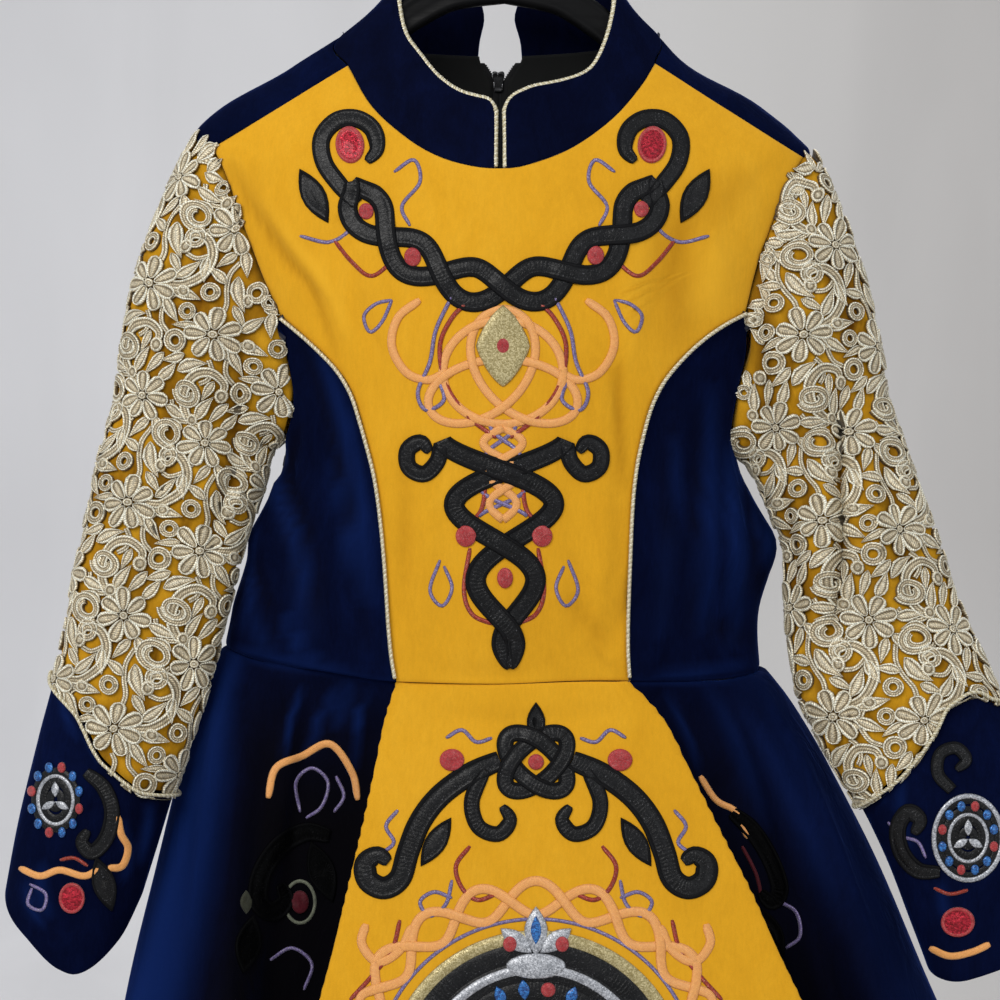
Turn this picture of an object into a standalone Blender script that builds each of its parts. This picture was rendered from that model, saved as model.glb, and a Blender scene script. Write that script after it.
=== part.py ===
"""Irish dance dress on a plastic hanger.

Millimetres in the tables and metres in the scene, +Z up, the dress faces -Y.
Origin: the inside top of the hanger's hook, where a rail carries it.
"left" is the -X side.  "drop" is the distance below the origin.

Elevation tables give (across, drop) as sighted from EYE in front of the
middle plane y = 0, so sight() carries them to the depth of the cloth.
"""
import math

import bmesh
import bpy
import numpy as np
from mathutils import Vector

# ------------------------------------------------------------------ sizes (mm)
WALL = 1.8            # velvet with its lining
SLEEVE_WALL = 1.4     # plain cloth under the lace
LACE_WALL = 1.3       # guipure lace
COLLAR_WALL = 2.0
PANEL_WALL = 2.2      # stiffened skirt panel
FACING_WALL = 1.0
GAP = 0.35            # each piece stops this far short of its seam line
PIPING_R = 1.1        # collar and cuff piping
BRAID_R = 1.3         # piping of the princess seams
HEM_DROP = 889.0
WAIST_DROP = 490.0    # at centre front
CENTRE_BACK = -3.0    # x of the zip
ZIP_END = 592.0
EYE, EYE_X, EYE_DROP = 1200.0, -3.0, 385.0

# ------------------------------------------------------------------ shape
# >>> shape


class Table:
    """Named columns, a row for each section, joined by monotone cubics."""

    def __init__(self, names, rows):
        self.names = names.split()
        a = np.array(rows, dtype=float)
        self.t, self.v = a[:, 0], a[:, 1:]
        h = np.diff(self.t)
        d = np.diff(self.v, axis=0) / h[:, None]
        m = np.zeros_like(self.v)
        m[0], m[-1] = d[0], d[-1]
        for i in range(1, len(h)):
            w1, w2 = 2 * h[i] + h[i - 1], h[i] + 2 * h[i - 1]
            same = d[i - 1] * d[i] > 1e-12
            p, q = np.where(same, d[i - 1], 1.0), np.where(same, d[i], 1.0)
            m[i] = np.where(same, (w1 + w2) / (w1 / p + w2 / q), 0.0)
        self.m = m

    def at(self, t):
        t = min(max(t, self.t[0]), self.t[-1])
        i = int(min(max(np.searchsorted(self.t, t, side="right") - 1, 0), len(self.t) - 2))
        h = self.t[i + 1] - self.t[i]
        s = (t - self.t[i]) / h
        a, b = self.v[i], self.v[i + 1]
        return (a * (1 + 2 * s) * (1 - s) ** 2 + h * self.m[i] * s * (1 - s) ** 2
                + b * s * s * (3 - 2 * s) + h * self.m[i + 1] * s * s * (s - 1))


class Path:
    """A smooth line through a short list of points, read by its length."""

    def __init__(self, points, step=12):
        p = np.array(points, dtype=float)
        q = np.vstack([2 * p[0] - p[1], p, 2 * p[-1] - p[-2]])
        out = [p[0]]
        for i in range(1, len(q) - 2):
            for k in range(1, step + 1):
                s = k / step
                out.append(0.5 * (2 * q[i] + (q[i + 1] - q[i - 1]) * s
                                  + (2 * q[i - 1] - 5 * q[i] + 4 * q[i + 1] - q[i + 2]) * s * s
                                  + (3 * q[i] - q[i - 1] - 3 * q[i + 1] + q[i + 2]) * s ** 3))
        self.p = np.array(out)
        seg = np.linalg.norm(np.diff(self.p, axis=0), axis=1)
        self.s = np.concatenate([[0.0], np.cumsum(seg)])
        self.length = self.s[-1]

    def at(self, u):
        d = min(max(u, 0.0), 1.0) * self.length
        return np.array([np.interp(d, self.s, self.p[:, k]) for k in range(self.p.shape[1])])


def sight(across, drop, depth):
    """From the elevation to x and drop at a depth y."""
    k = 1.0 + depth / EYE
    return EYE_X + (across - EYE_X) * k, EYE_DROP + (drop - EYE_DROP) * k


def unit(v):
    n = np.linalg.norm(v)
    return v / n if n > 1e-12 else v


# Bodice sections: half-ovals of one width and two depths.
BODY = Table("drop centre half front back", [
    (90.0, -1.0, 80.0, 6.0, 38.0),
    (103.6, -2.4, 92.4, 11.0, 43.0),
    (125.2, -8.0, 119.5, 22.0, 50.0),
    (151.0, -7.8, 163.0, 34.0, 56.0),
    (166.6, -6.0, 180.5, 41.0, 59.0),
    (176.8, -2.6, 186.0, 45.0, 60.0),
    (186.0, -0.6, 184.0, 48.0, 61.0),
    (202.6, 1.2, 179.0, 52.0, 62.0),
    (217.0, 1.8, 174.0, 55.0, 62.5),
    (256.6, 2.1, 159.0, 60.0, 63.0),
    (275.8, 3.6, 153.0, 61.0, 63.0),
    (301.0, 5.0, 146.0, 62.0, 63.0),
    (325.0, 5.0, 139.0, 62.0, 62.5),
    (352.0, 2.5, 134.5, 61.5, 62.0),
    (366.0, 2.8, 136.8, 61.0, 61.0),
    (381.0, 3.0, 144.0, 60.0, 60.0),
    (415.0, 3.0, 158.0, 58.0, 57.0),
    (452.0, -6.0, 158.0, 56.0, 54.0),
    (475.0, -8.0, 160.0, 55.0, 52.0),
    (500.0, -8.0, 162.0, 54.0, 51.0),
])

# The waist seam, round from centre back by the left side.
WAIST = Table("angle drop", [
    (-190.0, 485.0), (-180.0, 485.0), (-135.0, 479.0), (-90.0, 471.5), (-50.0, 481.5),
    (-35.0, 485.0), (-20.0, 489.5), (0.0, 490.5), (20.0, 489.0), (45.0, 490.5), (80.0, 487.0),
    (90.0, 484.0), (135.0, 485.0), (180.0, 485.0), (190.0, 485.0)])

# Seams of the front in elevation (across, drop).
NECK_FRONT = [(-94.2, 124.0), (-79.8, 148.6), (-57.6, 168.4), (-38.4, 179.2), (-18.6, 184.6),
              (-1.8, 185.6), (13.2, 183.4), (40.2, 173.2), (64.8, 155.8), (81.6, 136.6), (90.0, 122.8)]
YOKE_TIP = {-1: (-176.4, 173.8), 1: (179.4, 179.2)}
ARMHOLE = {
    -1: [(-176.4, 173.8), (-170.4, 183.5), (-158.4, 217.0), (-143.4, 256.6), (-135.0, 274.6)],
    1: [(179.4, 179.2), (167.4, 202.6), (153.0, 241.6), (145.2, 272.2)]}
ARMHOLE_LOW = {  # angle and drop on the bodice, from the princess seam to the underarm
    -1: [(-65.0, 275.0), (-66.5, 301.0), (-70.0, 326.0), (-79.0, 343.0), (-90.0, 349.0)],
    1: [(67.5, 272.6), (70.0, 301.0), (72.5, 331.0), (80.5, 352.0), (90.0, 359.0)]}
ARMHOLE_BACK = {  # from the shoulder tip down the back to the underarm
    -1: [(-90.0, 166.6), (-103.0, 180.0), (-110.0, 217.0), (-113.0, 256.0), (-112.0, 301.0),
         (-104.0, 337.0), (-90.0, 349.0)],
    1: [(90.0, 176.8), (103.0, 190.0), (110.0, 222.0), (113.0, 262.0), (112.0, 308.0),
        (104.0, 345.0), (90.0, 359.0)]}
TIP_DROP = {-1: 166.6, 1: 176.8}
PRINCESS = {
    -1: [(-135.0, 274.6), (-118.8, 288.4), (-102.0, 305.2), (-92.4, 320.2), (-84.6, 344.8),
         (-77.4, 374.2), (-72.6, 415.6), (-69.0, 469.0), (-65.4, 495.7)],
    1: [(145.2, 272.2), (123.6, 284.8), (103.8, 302.8), (90.0, 322.6), (81.6, 349.6),
        (76.8, 379.0), (74.4, 427.6), (73.2, 469.0), (74.4, 494.2)]}

# The neck seam behind the yoke: angle and drop on the bodice.
NECK_BACK = [(90.0, 104.8), (105.0, 105.8), (120.0, 107.0), (150.0, 109.2), (180.0, 110.5)]
# Half the gap between the back pieces: open to the slider, then the width of the zip.
BACK_GAP = Table("drop half", [(66.0, 13.0), (110.0, 13.5), (124.8, 4.9), (139.0, 3.2),
                               (155.0, 2.6), (590.0, 2.6), (600.0, 0.0), (900.0, 0.0)])

# Collar top edge: plan angle from centre front, then across, depth and drop.
COLLAR = {
    -1: Table("angle across depth drop", [
        (0, -6.6, -38.0, 151.0), (8, -12.0, -37.4, 151.0), (20, -24.0, -35.5, 148.0),
        (34, -37.5, -31.0, 139.0), (49, -50.0, -24.5, 123.5), (68, -60.5, -14.5, 106.0),
        (80, -64.5, -6.0, 86.0), (95, -66.5, 4.0, 74.0), (120, -58.0, 20.0, 68.0),
        (150, -36.0, 32.0, 67.0), (180, -16.0, 36.0, 67.0)]),
    1: Table("angle across depth drop", [
        (0, 0.6, -38.0, 151.0), (8, 6.0, -37.8, 149.0), (20, 16.0, -36.5, 144.5),
        (34, 33.0, -32.0, 140.0), (49, 50.0, -25.0, 132.0), (68, 62.5, -14.5, 106.0),
        (80, 66.5, -6.0, 86.0), (95, 67.5, 4.0, 74.0), (120, 57.0, 20.0, 68.0),
        (150, 34.0, 32.0, 67.0), (180, 10.0, 36.0, 67.0)])}
COLLAR_END = {-1: (-6.4, 185.0), 1: (0.7, 185.2)}

# Sleeve sections in elevation: the outer and inner edge, then the middle's
# depth and half the thickness.
SLEEVE = {
    -1: Table("s out_x out_d in_x in_d mid half", [
        (0, -234, 325, -137, 354, -3, 24), (1, -246, 367, -147, 387, -11, 25),
        (2, -255, 410, -158, 420, -17, 25), (3, -263, 450, -167, 455, -21, 25),
        (4, -270, 486, -175, 487, -24, 25), (5, -281, 525, -187, 530, -27, 26),
        (6, -290, 564, -200, 570, -30, 27), (7, -300.6, 617, -217, 625, -33, 27),
        (8, -309, 660, -229, 668, -35, 27), (9, -318, 700, -241, 708, -36, 27)]),
    1: Table("s out_x out_d in_x in_d mid half", [
        (0, 230, 322, 144, 363, -5, 24), (1, 243, 363, 158, 388, -14, 25),
        (2, 257, 400, 167, 420, -18, 26), (3, 270, 436, 168, 458, -23, 27),
        (4, 281, 463, 173, 498, -28, 28), (5, 291, 487, 192, 538, -33, 28),
        (6, 305, 520, 211, 568, -38, 28), (7, 320, 557, 227, 600, -43, 28),
        (8, 333, 595, 241, 636, -47, 28), (9, 345, 630, 254, 669, -50, 28),
        (10, 357, 668, 267, 706, -52, 28)])}
CUFF_TOP = {  # turn round the sleeve (0 outer, 90 front, 180 inner), section
    -1: Table("turn s", [(0, 4.05), (60, 4.60), (93, 5.33), (131, 5.75), (180, 5.80),
                         (229, 5.75), (267, 5.33), (300, 4.60), (360, 4.05)]),
    1: Table("turn s", [(0, 5.65), (33, 5.42), (52, 5.06), (68, 5.07), (85, 5.36), (105, 5.64),
                        (124, 5.82), (180, 6.00), (270, 5.95), (330, 5.80), (360, 5.65)])}
CUFF_HEM = {
    -1: Table("turn s", [(0, 7.00), (60, 7.50), (100, 7.92), (112, 7.97), (154, 7.50),
                         (180, 7.00), (240, 6.92), (300, 6.92), (360, 7.00)]),
    1: Table("turn s", [(0, 9.00), (60, 9.12), (103, 9.18), (131, 9.18), (180, 9.00),
                        (270, 8.90), (360, 9.00)])}

# Skirt: the stiff front panel's edges, depth at the middle and set-back of its edges.
PANEL = Table("fall left right depth crown", [
    (0, -62.8, 71.2, -54, 4.5), (8, -65.5, 80.0, -55, 4.8), (23, -70.0, 92.5, -57, 5.5),
    (49, -75.0, 105.5, -62, 6.0), (80, -81.5, 121.0, -68, 6.5), (117, -90.0, 139.8, -75, 7.0),
    (149, -97.5, 154.0, -81, 7.5), (175, -104.4, 166.4, -86, 8.0), (290, -132.5, 218.5, -103, 10.0),
    (399, -160.0, 268.0, -116, 12.0)])
# Skirt sides in plan: the inverted pleat's valley, its slope, the pleat's
# edge, the side, the back of the side and the back.
SKIRT = {
    -1: Table("fall vx vy mx my rx ry sx sy bx by cy", [
        (0, -76, -45, -112, -39.5, -143, -30.0, -168.5, 0, -125, 36, 52.2),
        (20, -76, -38, -114, -35, -148, -34, -178.5, -1, -132, 42, 53),
        (90, -85, -31, -122, -31, -155, -50, -200, -2, -147, 52, 58),
        (195, -104, -32, -136, -37, -163, -68, -224, -6, -165, 62, 66),
        (300, -126, -35, -152, -46, -178, -84, -245, -8, -180, 70, 72),
        (399, -146, -39, -170, -56, -196, -98, -264, -10, -194, 78, 78)]),
    1: Table("fall vx vy mx my rx ry sx sy bx by cy", [
        (0, 78, -45.5, 104, -39, 130, -29, 153.5, 0, 112, 36, 52.2),
        (20, 94, -38, 120, -34, 146, -33, 170, -1, 124, 42, 53),
        (90, 124, -33, 154, -34, 182, -48, 209, -2, 150, 52, 58),
        (195, 166, -34, 194, -39, 222, -63, 257, -6, 184, 62, 66),
        (300, 210, -37, 236, -48, 262, -78, 304, -8, 216, 70, 72),
        (399, 254, -41, 278, -58, 304, -92, 348, -10, 246, 78, 78)])}
SPANS = (2, 2, 3, 4, 4, 3)   # divisions between those points


def body(angle, drop, out=0.0):
    """A point of the bodice, angle in degrees from centre front."""
    def raw(a, d):
        c, w, f, b = BODY.at(d)
        s, k = math.sin(math.radians(a)), math.cos(math.radians(a))
        return np.array([c + w * s, -(f if k > 0 else b) * k, -d])
    p = raw(angle, drop)
    if out:
        du = raw(angle + 0.5, drop) - raw(angle - 0.5, drop)
        dv = raw(angle, drop + 0.5) - raw(angle, drop - 0.5)
        n = unit(np.cross(du, dv))
        if n[0] * math.sin(math.radians(angle)) - n[1] * math.cos(math.radians(angle)) < 0:
            n = -n
        p = p + n * out
    return p


def front_at(across, drop):
    """From the elevation to (angle, drop) on the bodice's front."""
    y = -45.0
    for _ in range(8):
        x, d = sight(across, drop, y)
        c, w, f, _b = BODY.at(d)
        a = math.asin(min(max((x - c) / w, -1.0), 1.0))
        y = -f * math.cos(a)
    return np.array([math.degrees(a), d])


def back_edge(side, drop):
    """(angle, drop) of a back piece's edge at the zip."""
    c, w, _f, _b = BODY.at(drop)
    x = CENTRE_BACK + side * BACK_GAP.at(drop)[0]
    return np.array([side * 180.0 - math.degrees(math.asin((x - c) / w)), drop])


def waist_at(across_angle):
    return np.array([across_angle, WAIST.at(across_angle)[0]])


# How finely each seam is divided: both pieces of a seam use the same points.
CUT = dict(shoulder=4, neck=8, arm=4, princess=9, low=4, armback=8, over=3, across=8)


CROWD = 1.6      # columns stand closer where the body turns at its sides


def crowd(t, power=CROWD):
    return 1.0 - (1.0 - t) ** power


def refine(n):
    for k in CUT:
        CUT[k] *= n


def seam_yoke(side):
    """Neck corner to the armhole along the yoke's top edge."""
    n = CUT["shoulder"]
    a = np.array(NECK_FRONT[0 if side < 0 else -1])
    b = np.array(YOKE_TIP[side])
    return [front_at(*(a + (b - a) * i / n)) for i in range(n + 1)]


def seam_neck_front():
    n = CUT["neck"]
    path = Path(NECK_FRONT)
    return [front_at(*path.at(i / n)) for i in range(n + 1)]


def seam_neck_back(side):
    """Neck corner over the shoulder ridge to the zip: CUT over, then across."""
    corner = front_at(*NECK_FRONT[0 if side < 0 else -1])
    n, m = CUT["over"], CUT["across"]
    ridge = np.array([side * NECK_BACK[0][0], NECK_BACK[0][1]])
    out = []
    for i in range(n):
        t = i / n
        out.append(corner + (ridge - corner) * np.array([t, t ** 0.8]))
    back = Path([(side * a, d) for a, d in NECK_BACK[:-1]] + [tuple(back_edge(side, NECK_BACK[-1][1]))])
    return out + [back.at((i / m) ** CROWD) for i in range(m + 1)]


def seam_arm(side):
    n = CUT["arm"]
    path = Path(ARMHOLE[side])
    return [front_at(*path.at(i / n)) for i in range(n + 1)]


def seam_low(side):
    n = CUT["low"]
    top = front_at(*PRINCESS[side][0])
    path = Path([tuple(top)] + ARMHOLE_LOW[side][1:])
    return [path.at(i / n) for i in range(n + 1)]


def seam_armback(side):
    n = CUT["armback"]
    path = Path(ARMHOLE_BACK[side])
    return [path.at(i / n) for i in range(n + 1)]


def seam_princess(side):
    n = CUT["princess"]
    path = Path(PRINCESS[side])
    out = [front_at(*path.at(i / n)) for i in range(n + 1)]
    out[-1] = waist_at(out[-1][0])
    return out


def seam_tip(side):
    """Shoulder tip to the yoke's corner along the armhole's top."""
    n = CUT["over"]
    a = np.array([side * 90.0, TIP_DROP[side]])
    b = front_at(*YOKE_TIP[side])
    return [a + (b - a) * np.array([i / n, (i / n) ** 1.3]) for i in range(n + 1)]


def front_grid():
    """The yellow front, rows by columns of (angle, drop)."""
    left = seam_arm(-1) + seam_princess(-1)[1:]
    right = seam_arm(1) + seam_princess(1)[1:]
    top = seam_yoke(-1)[::-1] + seam_neck_front()[1:] + seam_yoke(1)[1:]
    rows, cols = len(left), len(top)
    span = right[0][0] - left[0][0]
    u = [(p[0] - left[0][0]) / span for p in top]
    grid = {}
    for i in range(rows):
        fade = (1.0 - i / (rows - 1)) ** 2
        for j in range(cols):
            base = left[i] * (1 - u[j]) + right[i] * u[j]
            chord = left[0] * (1 - u[j]) + right[0] * u[j]
            p = base + (top[j] - chord) * fade
            if i == rows - 1:
                p = waist_at(p[0])
            grid[i, j] = p
    return grid, rows, cols


def side_front_grid(side, cols=5):
    inner = seam_princess(side)
    low = seam_low(side)
    n, m = CUT["princess"], CUT["low"]
    outer = list(low)
    end = side * 90.0
    for i in range(1, n - m + 1):
        t = i / (n - m)
        outer.append(np.array([end, low[-1][1] + (WAIST.at(end)[0] - low[-1][1]) * t]))
    grid = {}
    for i in range(n + 1):
        a, b = inner[i], outer[i]
        if i == 0:
            a = inner[0] + (inner[1] - inner[0]) * 0.22
            b = low[0] + (low[1] - low[0]) * 0.22
        for j in range(cols + 1):
            p = a + (b - a) * crowd(j / cols, 1.5)
            if i == n:
                p = waist_at(p[0])
            grid[i, j] = p
    return grid, n + 1, cols + 1


def back_grid(side):
    """A back piece: over the shoulder to the yoke, then down beside the zip."""
    over, across, down = CUT["over"], CUT["across"], CUT["shoulder"]
    neck = seam_neck_back(side)[::-1]                 # zip .. ridge .. yoke corner
    yoke, tip = seam_yoke(side), seam_tip(side)
    arm = seam_armback(side)
    tip_drop = TIP_DROP[side]
    edge = [back_edge(side, NECK_BACK[-1][1] + (tip_drop + 2 - NECK_BACK[-1][1]) * i / down)
            for i in range(down + 1)]
    low = []
    for j in range(across + 1):
        t = crowd(j / across)
        low.append(edge[-1] * (1 - t) + tip[0] * t)
    low += tip[1:]
    grid = {}
    for i in range(down + 1):
        t = i / down
        for j in range(across + over + 1):
            p = neck[j] * (1 - t) + low[j] * t
            if j <= across:
                w = 1.0 - crowd(j / across)
                p = p + (edge[i] - (neck[0] * (1 - t) + low[0] * t)) * w
            else:
                w = (j - across) / over
                p = p + (yoke[i] - (neck[-1] * (1 - t) + low[-1] * t)) * w
            grid[i, j] = p
    outer = list(arm)
    n = CUT["princess"] - CUT["low"]
    end = side * 90.0
    for i in range(1, n + 1):
        outer.append(np.array([end, arm[-1][1] + (WAIST.at(end)[0] - arm[-1][1]) * i / n]))
    rows = len(outer)
    for i in range(1, rows):
        d0 = tip_drop + 2 + (WAIST.at(180.0)[0] - tip_drop - 2) * i / (rows - 1)
        a = back_edge(side, d0)
        for j in range(across + 1):
            t = crowd(j / across)
            p = a * (1 - t) + outer[i] * t
            if i == rows - 1:
                p = waist_at(p[0])
            grid[down + i, j] = p
    return grid, down + rows, across + over + 1


def arm_loop(side):
    """The armhole as (angle, drop): tip, front, underarm, back."""
    return (seam_tip(side)[:-1] + seam_arm(side)[:-1] + seam_low(side)[:-1]
            + seam_armback(side)[::-1][:-1])


def sleeve_turns(side):
    """The turn round the sleeve that each point of the armhole runs down to."""
    n1, n2, n3, n4 = CUT["over"], CUT["arm"], CUT["low"], CUT["armback"]
    out = [26.0 * i / n1 for i in range(n1)]
    out += [26.0 + 79.0 * i / n2 for i in range(n2)]
    out += [105.0 + 75.0 * i / n3 for i in range(n3)]
    out += [180.0 + 180.0 * i / n4 for i in range(n4)]
    return out


def sleeve_at(side, turn, s, shrink=2.1):
    """A point of the sleeve cloth: shrink keeps it inside the lace."""
    ox, od, ix, idr, mid, half = SLEEVE[side].at(s)
    a, b = np.array([ox, od]), np.array([ix, idr])
    c, h = (a + b) / 2, (a - b) / 2
    k = 1.0 - shrink / np.linalg.norm(h)
    t = math.radians(turn)
    e = c + h * (k * math.cos(t))
    y = mid - (half - shrink) * math.sin(t)
    x, d = sight(e[0], e[1], mid)
    return np.array([x, y, -d])


LACE_START = 4.5   # the lace begins this far from the armhole seam


def sleeve_grid(side, cap=3, tube=5):
    """Rings from the armhole down to the cuff's seam."""
    loop = [body(*p) for p in arm_loop(side)]
    turns = sleeve_turns(side)
    n = len(loop)
    mid = np.mean([sleeve_at(side, t, 0.0) for t in turns], axis=0)
    grid = {}
    for j in range(n):
        a, b = loop[j], sleeve_at(side, turns[j], 0.0)
        reach = np.linalg.norm(b - a)
        axis = unit(sleeve_at(side, turns[j], 1.0) - b)
        away = b - mid
        away = unit(away - axis * np.dot(away, axis))
        edge = min(LACE_START / reach, 0.5)
        for i in range(cap + 2):
            t = edge + (1 - edge) * (i - 1) / cap if i else 0.0
            puff = 0.055 * reach * math.sin(math.pi * t)
            grid[i, j] = a * (1 - t) + b * t + away * puff
    top = CUFF_TOP[side]
    for j in range(n):
        end = top.at(turns[j])[0]
        for i in range(1, tube + 1):
            grid[cap + 1 + i, j] = sleeve_at(side, turns[j], end * i / tube)
    return grid, cap + tube + 2, n


def cuff_grid(side, rows=5, out=0.6):
    turns = sleeve_turns(side)
    grid = {}
    for j, t in enumerate(turns):
        a, b = CUFF_TOP[side].at(t)[0], CUFF_HEM[side].at(t)[0]
        for i in range(rows + 1):
            grid[i, j] = sleeve_at(side, t, a + (b - a) * i / rows, 2.1 - out)
    return grid, rows + 1, len(turns)


def collar_lines(side):
    """Base and top points of half the collar, centre front to centre back."""
    front = seam_neck_front()
    half = len(front) // 2
    base = front[:half + 1][::-1] if side < 0 else front[half:]
    base = list(base) + seam_neck_back(side)[1:]
    base[0] = front_at(*COLLAR_END[side])
    pts = [body(*p) for p in base]
    tops = []
    for k, p in enumerate(pts):
        ang = math.degrees(math.atan2(abs(p[0] + 2.0), -p[1] * 1.95))
        if k == 0:
            ang = 0.0
        if k == len(pts) - 1:
            ang = 180.0
        x, y, d = COLLAR[side].at(ang)
        if k == 0:
            x = sight(x, 0, -38.0)[0]
        tops.append(np.array([x, y, -d]))
    return pts, tops


def collar_grid(side, rows=3):
    pts, tops = collar_lines(side)
    grid = {}
    for j, (a, b) in enumerate(zip(pts, tops)):
        out = unit(np.array([a[0] + 2.0, a[1], 0.0]))
        for i in range(rows + 1):
            t = i / rows
            rise = unit(b - a) * (1.5 * (1 - t))
            grid[rows - i, j] = a * (1 - t) + b * t + rise - out * (2.2 * math.sin(math.pi * t))
    return grid, rows + 1, len(pts)


def panel_at(u, fall):
    """Skirt front panel, u from 0 at its left edge to 1."""
    left, right, depth, crown = PANEL.at(fall)
    x = left + (right - left) * u
    y = depth + crown * (2 * u - 1) ** 2
    x0 = PANEL.at(0)[0] + (PANEL.at(0)[1] - PANEL.at(0)[0]) * u
    c, w = BODY.at(WAIST_DROP)[:2]
    top = WAIST.at(math.degrees(math.asin((x0 - c) / w)))[0]
    return np.array([x, y, -(top + fall * (HEM_DROP - top) / (HEM_DROP - WAIST_DROP))])


def spline(points, u):
    """Through points at u = 0, 1, 2 ... smoothly."""
    n = len(points)
    i = min(int(u), n - 2)
    s = u - i
    p1, p2 = points[i], points[i + 1]
    p0 = points[i - 1] if i > 0 else 2 * p1 - p2
    p3 = points[i + 2] if i + 2 < n else 2 * p2 - p1
    return 0.5 * (2 * p1 + (p2 - p0) * s + (2 * p0 - 5 * p1 + 4 * p2 - p3) * s * s
                  + (3 * p1 - p0 - 3 * p2 + p3) * s ** 3)


def skirt_at(side, u, fall):
    """Skirt side, u from 0 at the front panel's edge to 6 at centre back."""
    vx, vy, mx, my, rx, ry, sx, sy, bx, by, cy = SKIRT[side].at(fall)
    left, right, depth, crown = PANEL.at(fall)
    ex = (left if side < 0 else right) - side * 3.0
    ey = depth + crown + 2.9
    gap = BACK_GAP.at(WAIST_DROP + fall)[0]
    pts = [np.array(p, dtype=float) for p in (
        (ex, ey), (vx, vy), (mx, my), (rx, ry), (sx, sy), (bx, by), (CENTRE_BACK + side * gap, cy))]
    p = spline(pts, u)
    c, w, f, b = BODY.at(WAIST_DROP)
    q = p
    if fall < 60:
        vx, vy, mx, my, rx, ry, sx, sy, bx, by, cy = SKIRT[side].at(0)
        q = spline([np.array(t, dtype=float) for t in (
            (ex, ey), (vx, vy), (mx, my), (rx, ry), (sx, sy), (bx, by), (CENTRE_BACK + side * gap, cy))], u)
    ang = math.degrees(math.atan2((q[0] - c) / w, -q[1] / (f if q[1] < 0 else b)))
    top = WAIST.at(ang)[0]
    return np.array([p[0], p[1], -(top + fall * (HEM_DROP - top) / (HEM_DROP - WAIST_DROP))])


# <<< shape

FALLS = (0, 10, 24, 50, 85, 130, 180, 235, 290, 345, 399)

# ------------------------------------------------------------------ building

for old in list(bpy.data.objects):
    bpy.data.objects.remove(old, do_unlink=True)

coll = bpy.data.collections.new("irish_dance_dress")
bpy.context.scene.collection.children.link(coll)
tools = bpy.data.collections.new("guides")
bpy.context.scene.collection.children.link(tools)


def material(name, rgb, rough, metal=0.0):
    m = bpy.data.materials.new(name)
    m.use_nodes = True
    s = m.node_tree.nodes["Principled BSDF"]
    s.inputs["Base Color"].default_value = (*rgb, 1.0)
    s.inputs["Roughness"].default_value = rough
    s.inputs["Metallic"].default_value = metal
    return m


GOLD_VELVET = material("gold_velvet", (0.74, 0.38, 0.022), 0.85)
BLUE_VELVET = material("blue_velvet", (0.003, 0.010, 0.080), 0.80)
LACE = material("lace", (0.55, 0.46, 0.30), 0.60)
CORD = material("piping", (0.50, 0.43, 0.26), 0.45, 0.4)
BLACK = material("facing", (0.012, 0.012, 0.013), 0.80)
PLASTIC = material("hanger_plastic", (0.012, 0.012, 0.013), 0.45)
NICKEL = material("zip_metal", (0.20, 0.20, 0.21), 0.35, 1.0)


def place(mesh, name, mat):
    ob = bpy.data.objects.new(name, mesh)
    coll.objects.link(ob)
    mesh.materials.append(mat)
    return ob


def inset(points, wrap=False, cols=0, skip=()):
    """Pull the border of a grid in by GAP, so that pieces meet with a seam."""
    out = {}
    for (i, j), p in points.items():
        q = p.copy()
        for di, dj, key in ((1, 0, "top"), (-1, 0, "bottom"), (0, 1, "start"), (0, -1, "end")):
            if wrap and dj:
                continue
            if key in skip:
                continue
            if (i - di, j - dj) not in points and (i + di, j + dj) in points:
                q = q + unit(points[i + di, j + dj] - p) * GAP
        out[i, j] = q
    return out


def sheet_mesh(name, points, rows, cols, centre, wrap=False):
    index, verts, faces = {}, [], []
    for key, p in points.items():
        index[key] = len(verts)
        verts.append(Vector(p) * 0.001)
    for i in range(rows - 1):
        for j in range(cols if wrap else cols - 1):
            k = (j + 1) % cols
            keys = ((i, j), (i, k), (i + 1, k), (i + 1, j))
            if all(q in index for q in keys):
                faces.append([index[q] for q in keys])
    mesh = bpy.data.meshes.new(name)
    mesh.from_pydata(verts, [], faces)
    mesh.update()
    score = 0.0
    for f in mesh.polygons:
        c = f.center
        score += f.normal.dot(c - Vector(centre(c)) if callable(centre) else c - Vector(centre)) * f.area
    if score < 0:
        mesh.flip_normals()
    return mesh


def cloth(name, points, rows, cols, wall, mat, centre=(0, 0, -0.3), wrap=False, lift=0.0, skip=()):
    """An open sheet, thickened inwards (or outwards from lift)."""
    mesh = sheet_mesh(name, inset(points, wrap, cols, skip), rows, cols, centre, wrap)
    if lift:
        normals = [v.normal.copy() for v in mesh.vertices]
        for v, n in zip(mesh.vertices, normals):
            v.co += n * lift * 0.001
    ob = place(mesh, name, mat)
    m = ob.modifiers.new("wall", "SOLIDIFY")
    m.thickness = wall * 0.001
    m.offset = 1.0 if lift > 0 else -1.0
    m.use_even_offset = False
    mesh.shade_smooth()
    return ob


def grid3(grid, fn):
    return {k: fn(*v) for k, v in grid.items()}


def axis_of_body(c):
    return (0.0, 0.0, c.z)


# Bodice.
g, r, c = front_grid()
cloth("front_panel", grid3(g, body), r, c, WALL, GOLD_VELVET, axis_of_body)
for side, tag in ((-1, "left"), (1, "right")):
    g, r, c = side_front_grid(side)
    cloth("side_front_" + tag, grid3(g, body), r, c, WALL, BLUE_VELVET, axis_of_body)
    g, r, c = back_grid(side)
    cloth("back_" + tag, grid3(g, body), r, c, WALL, BLUE_VELVET, axis_of_body)

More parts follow.
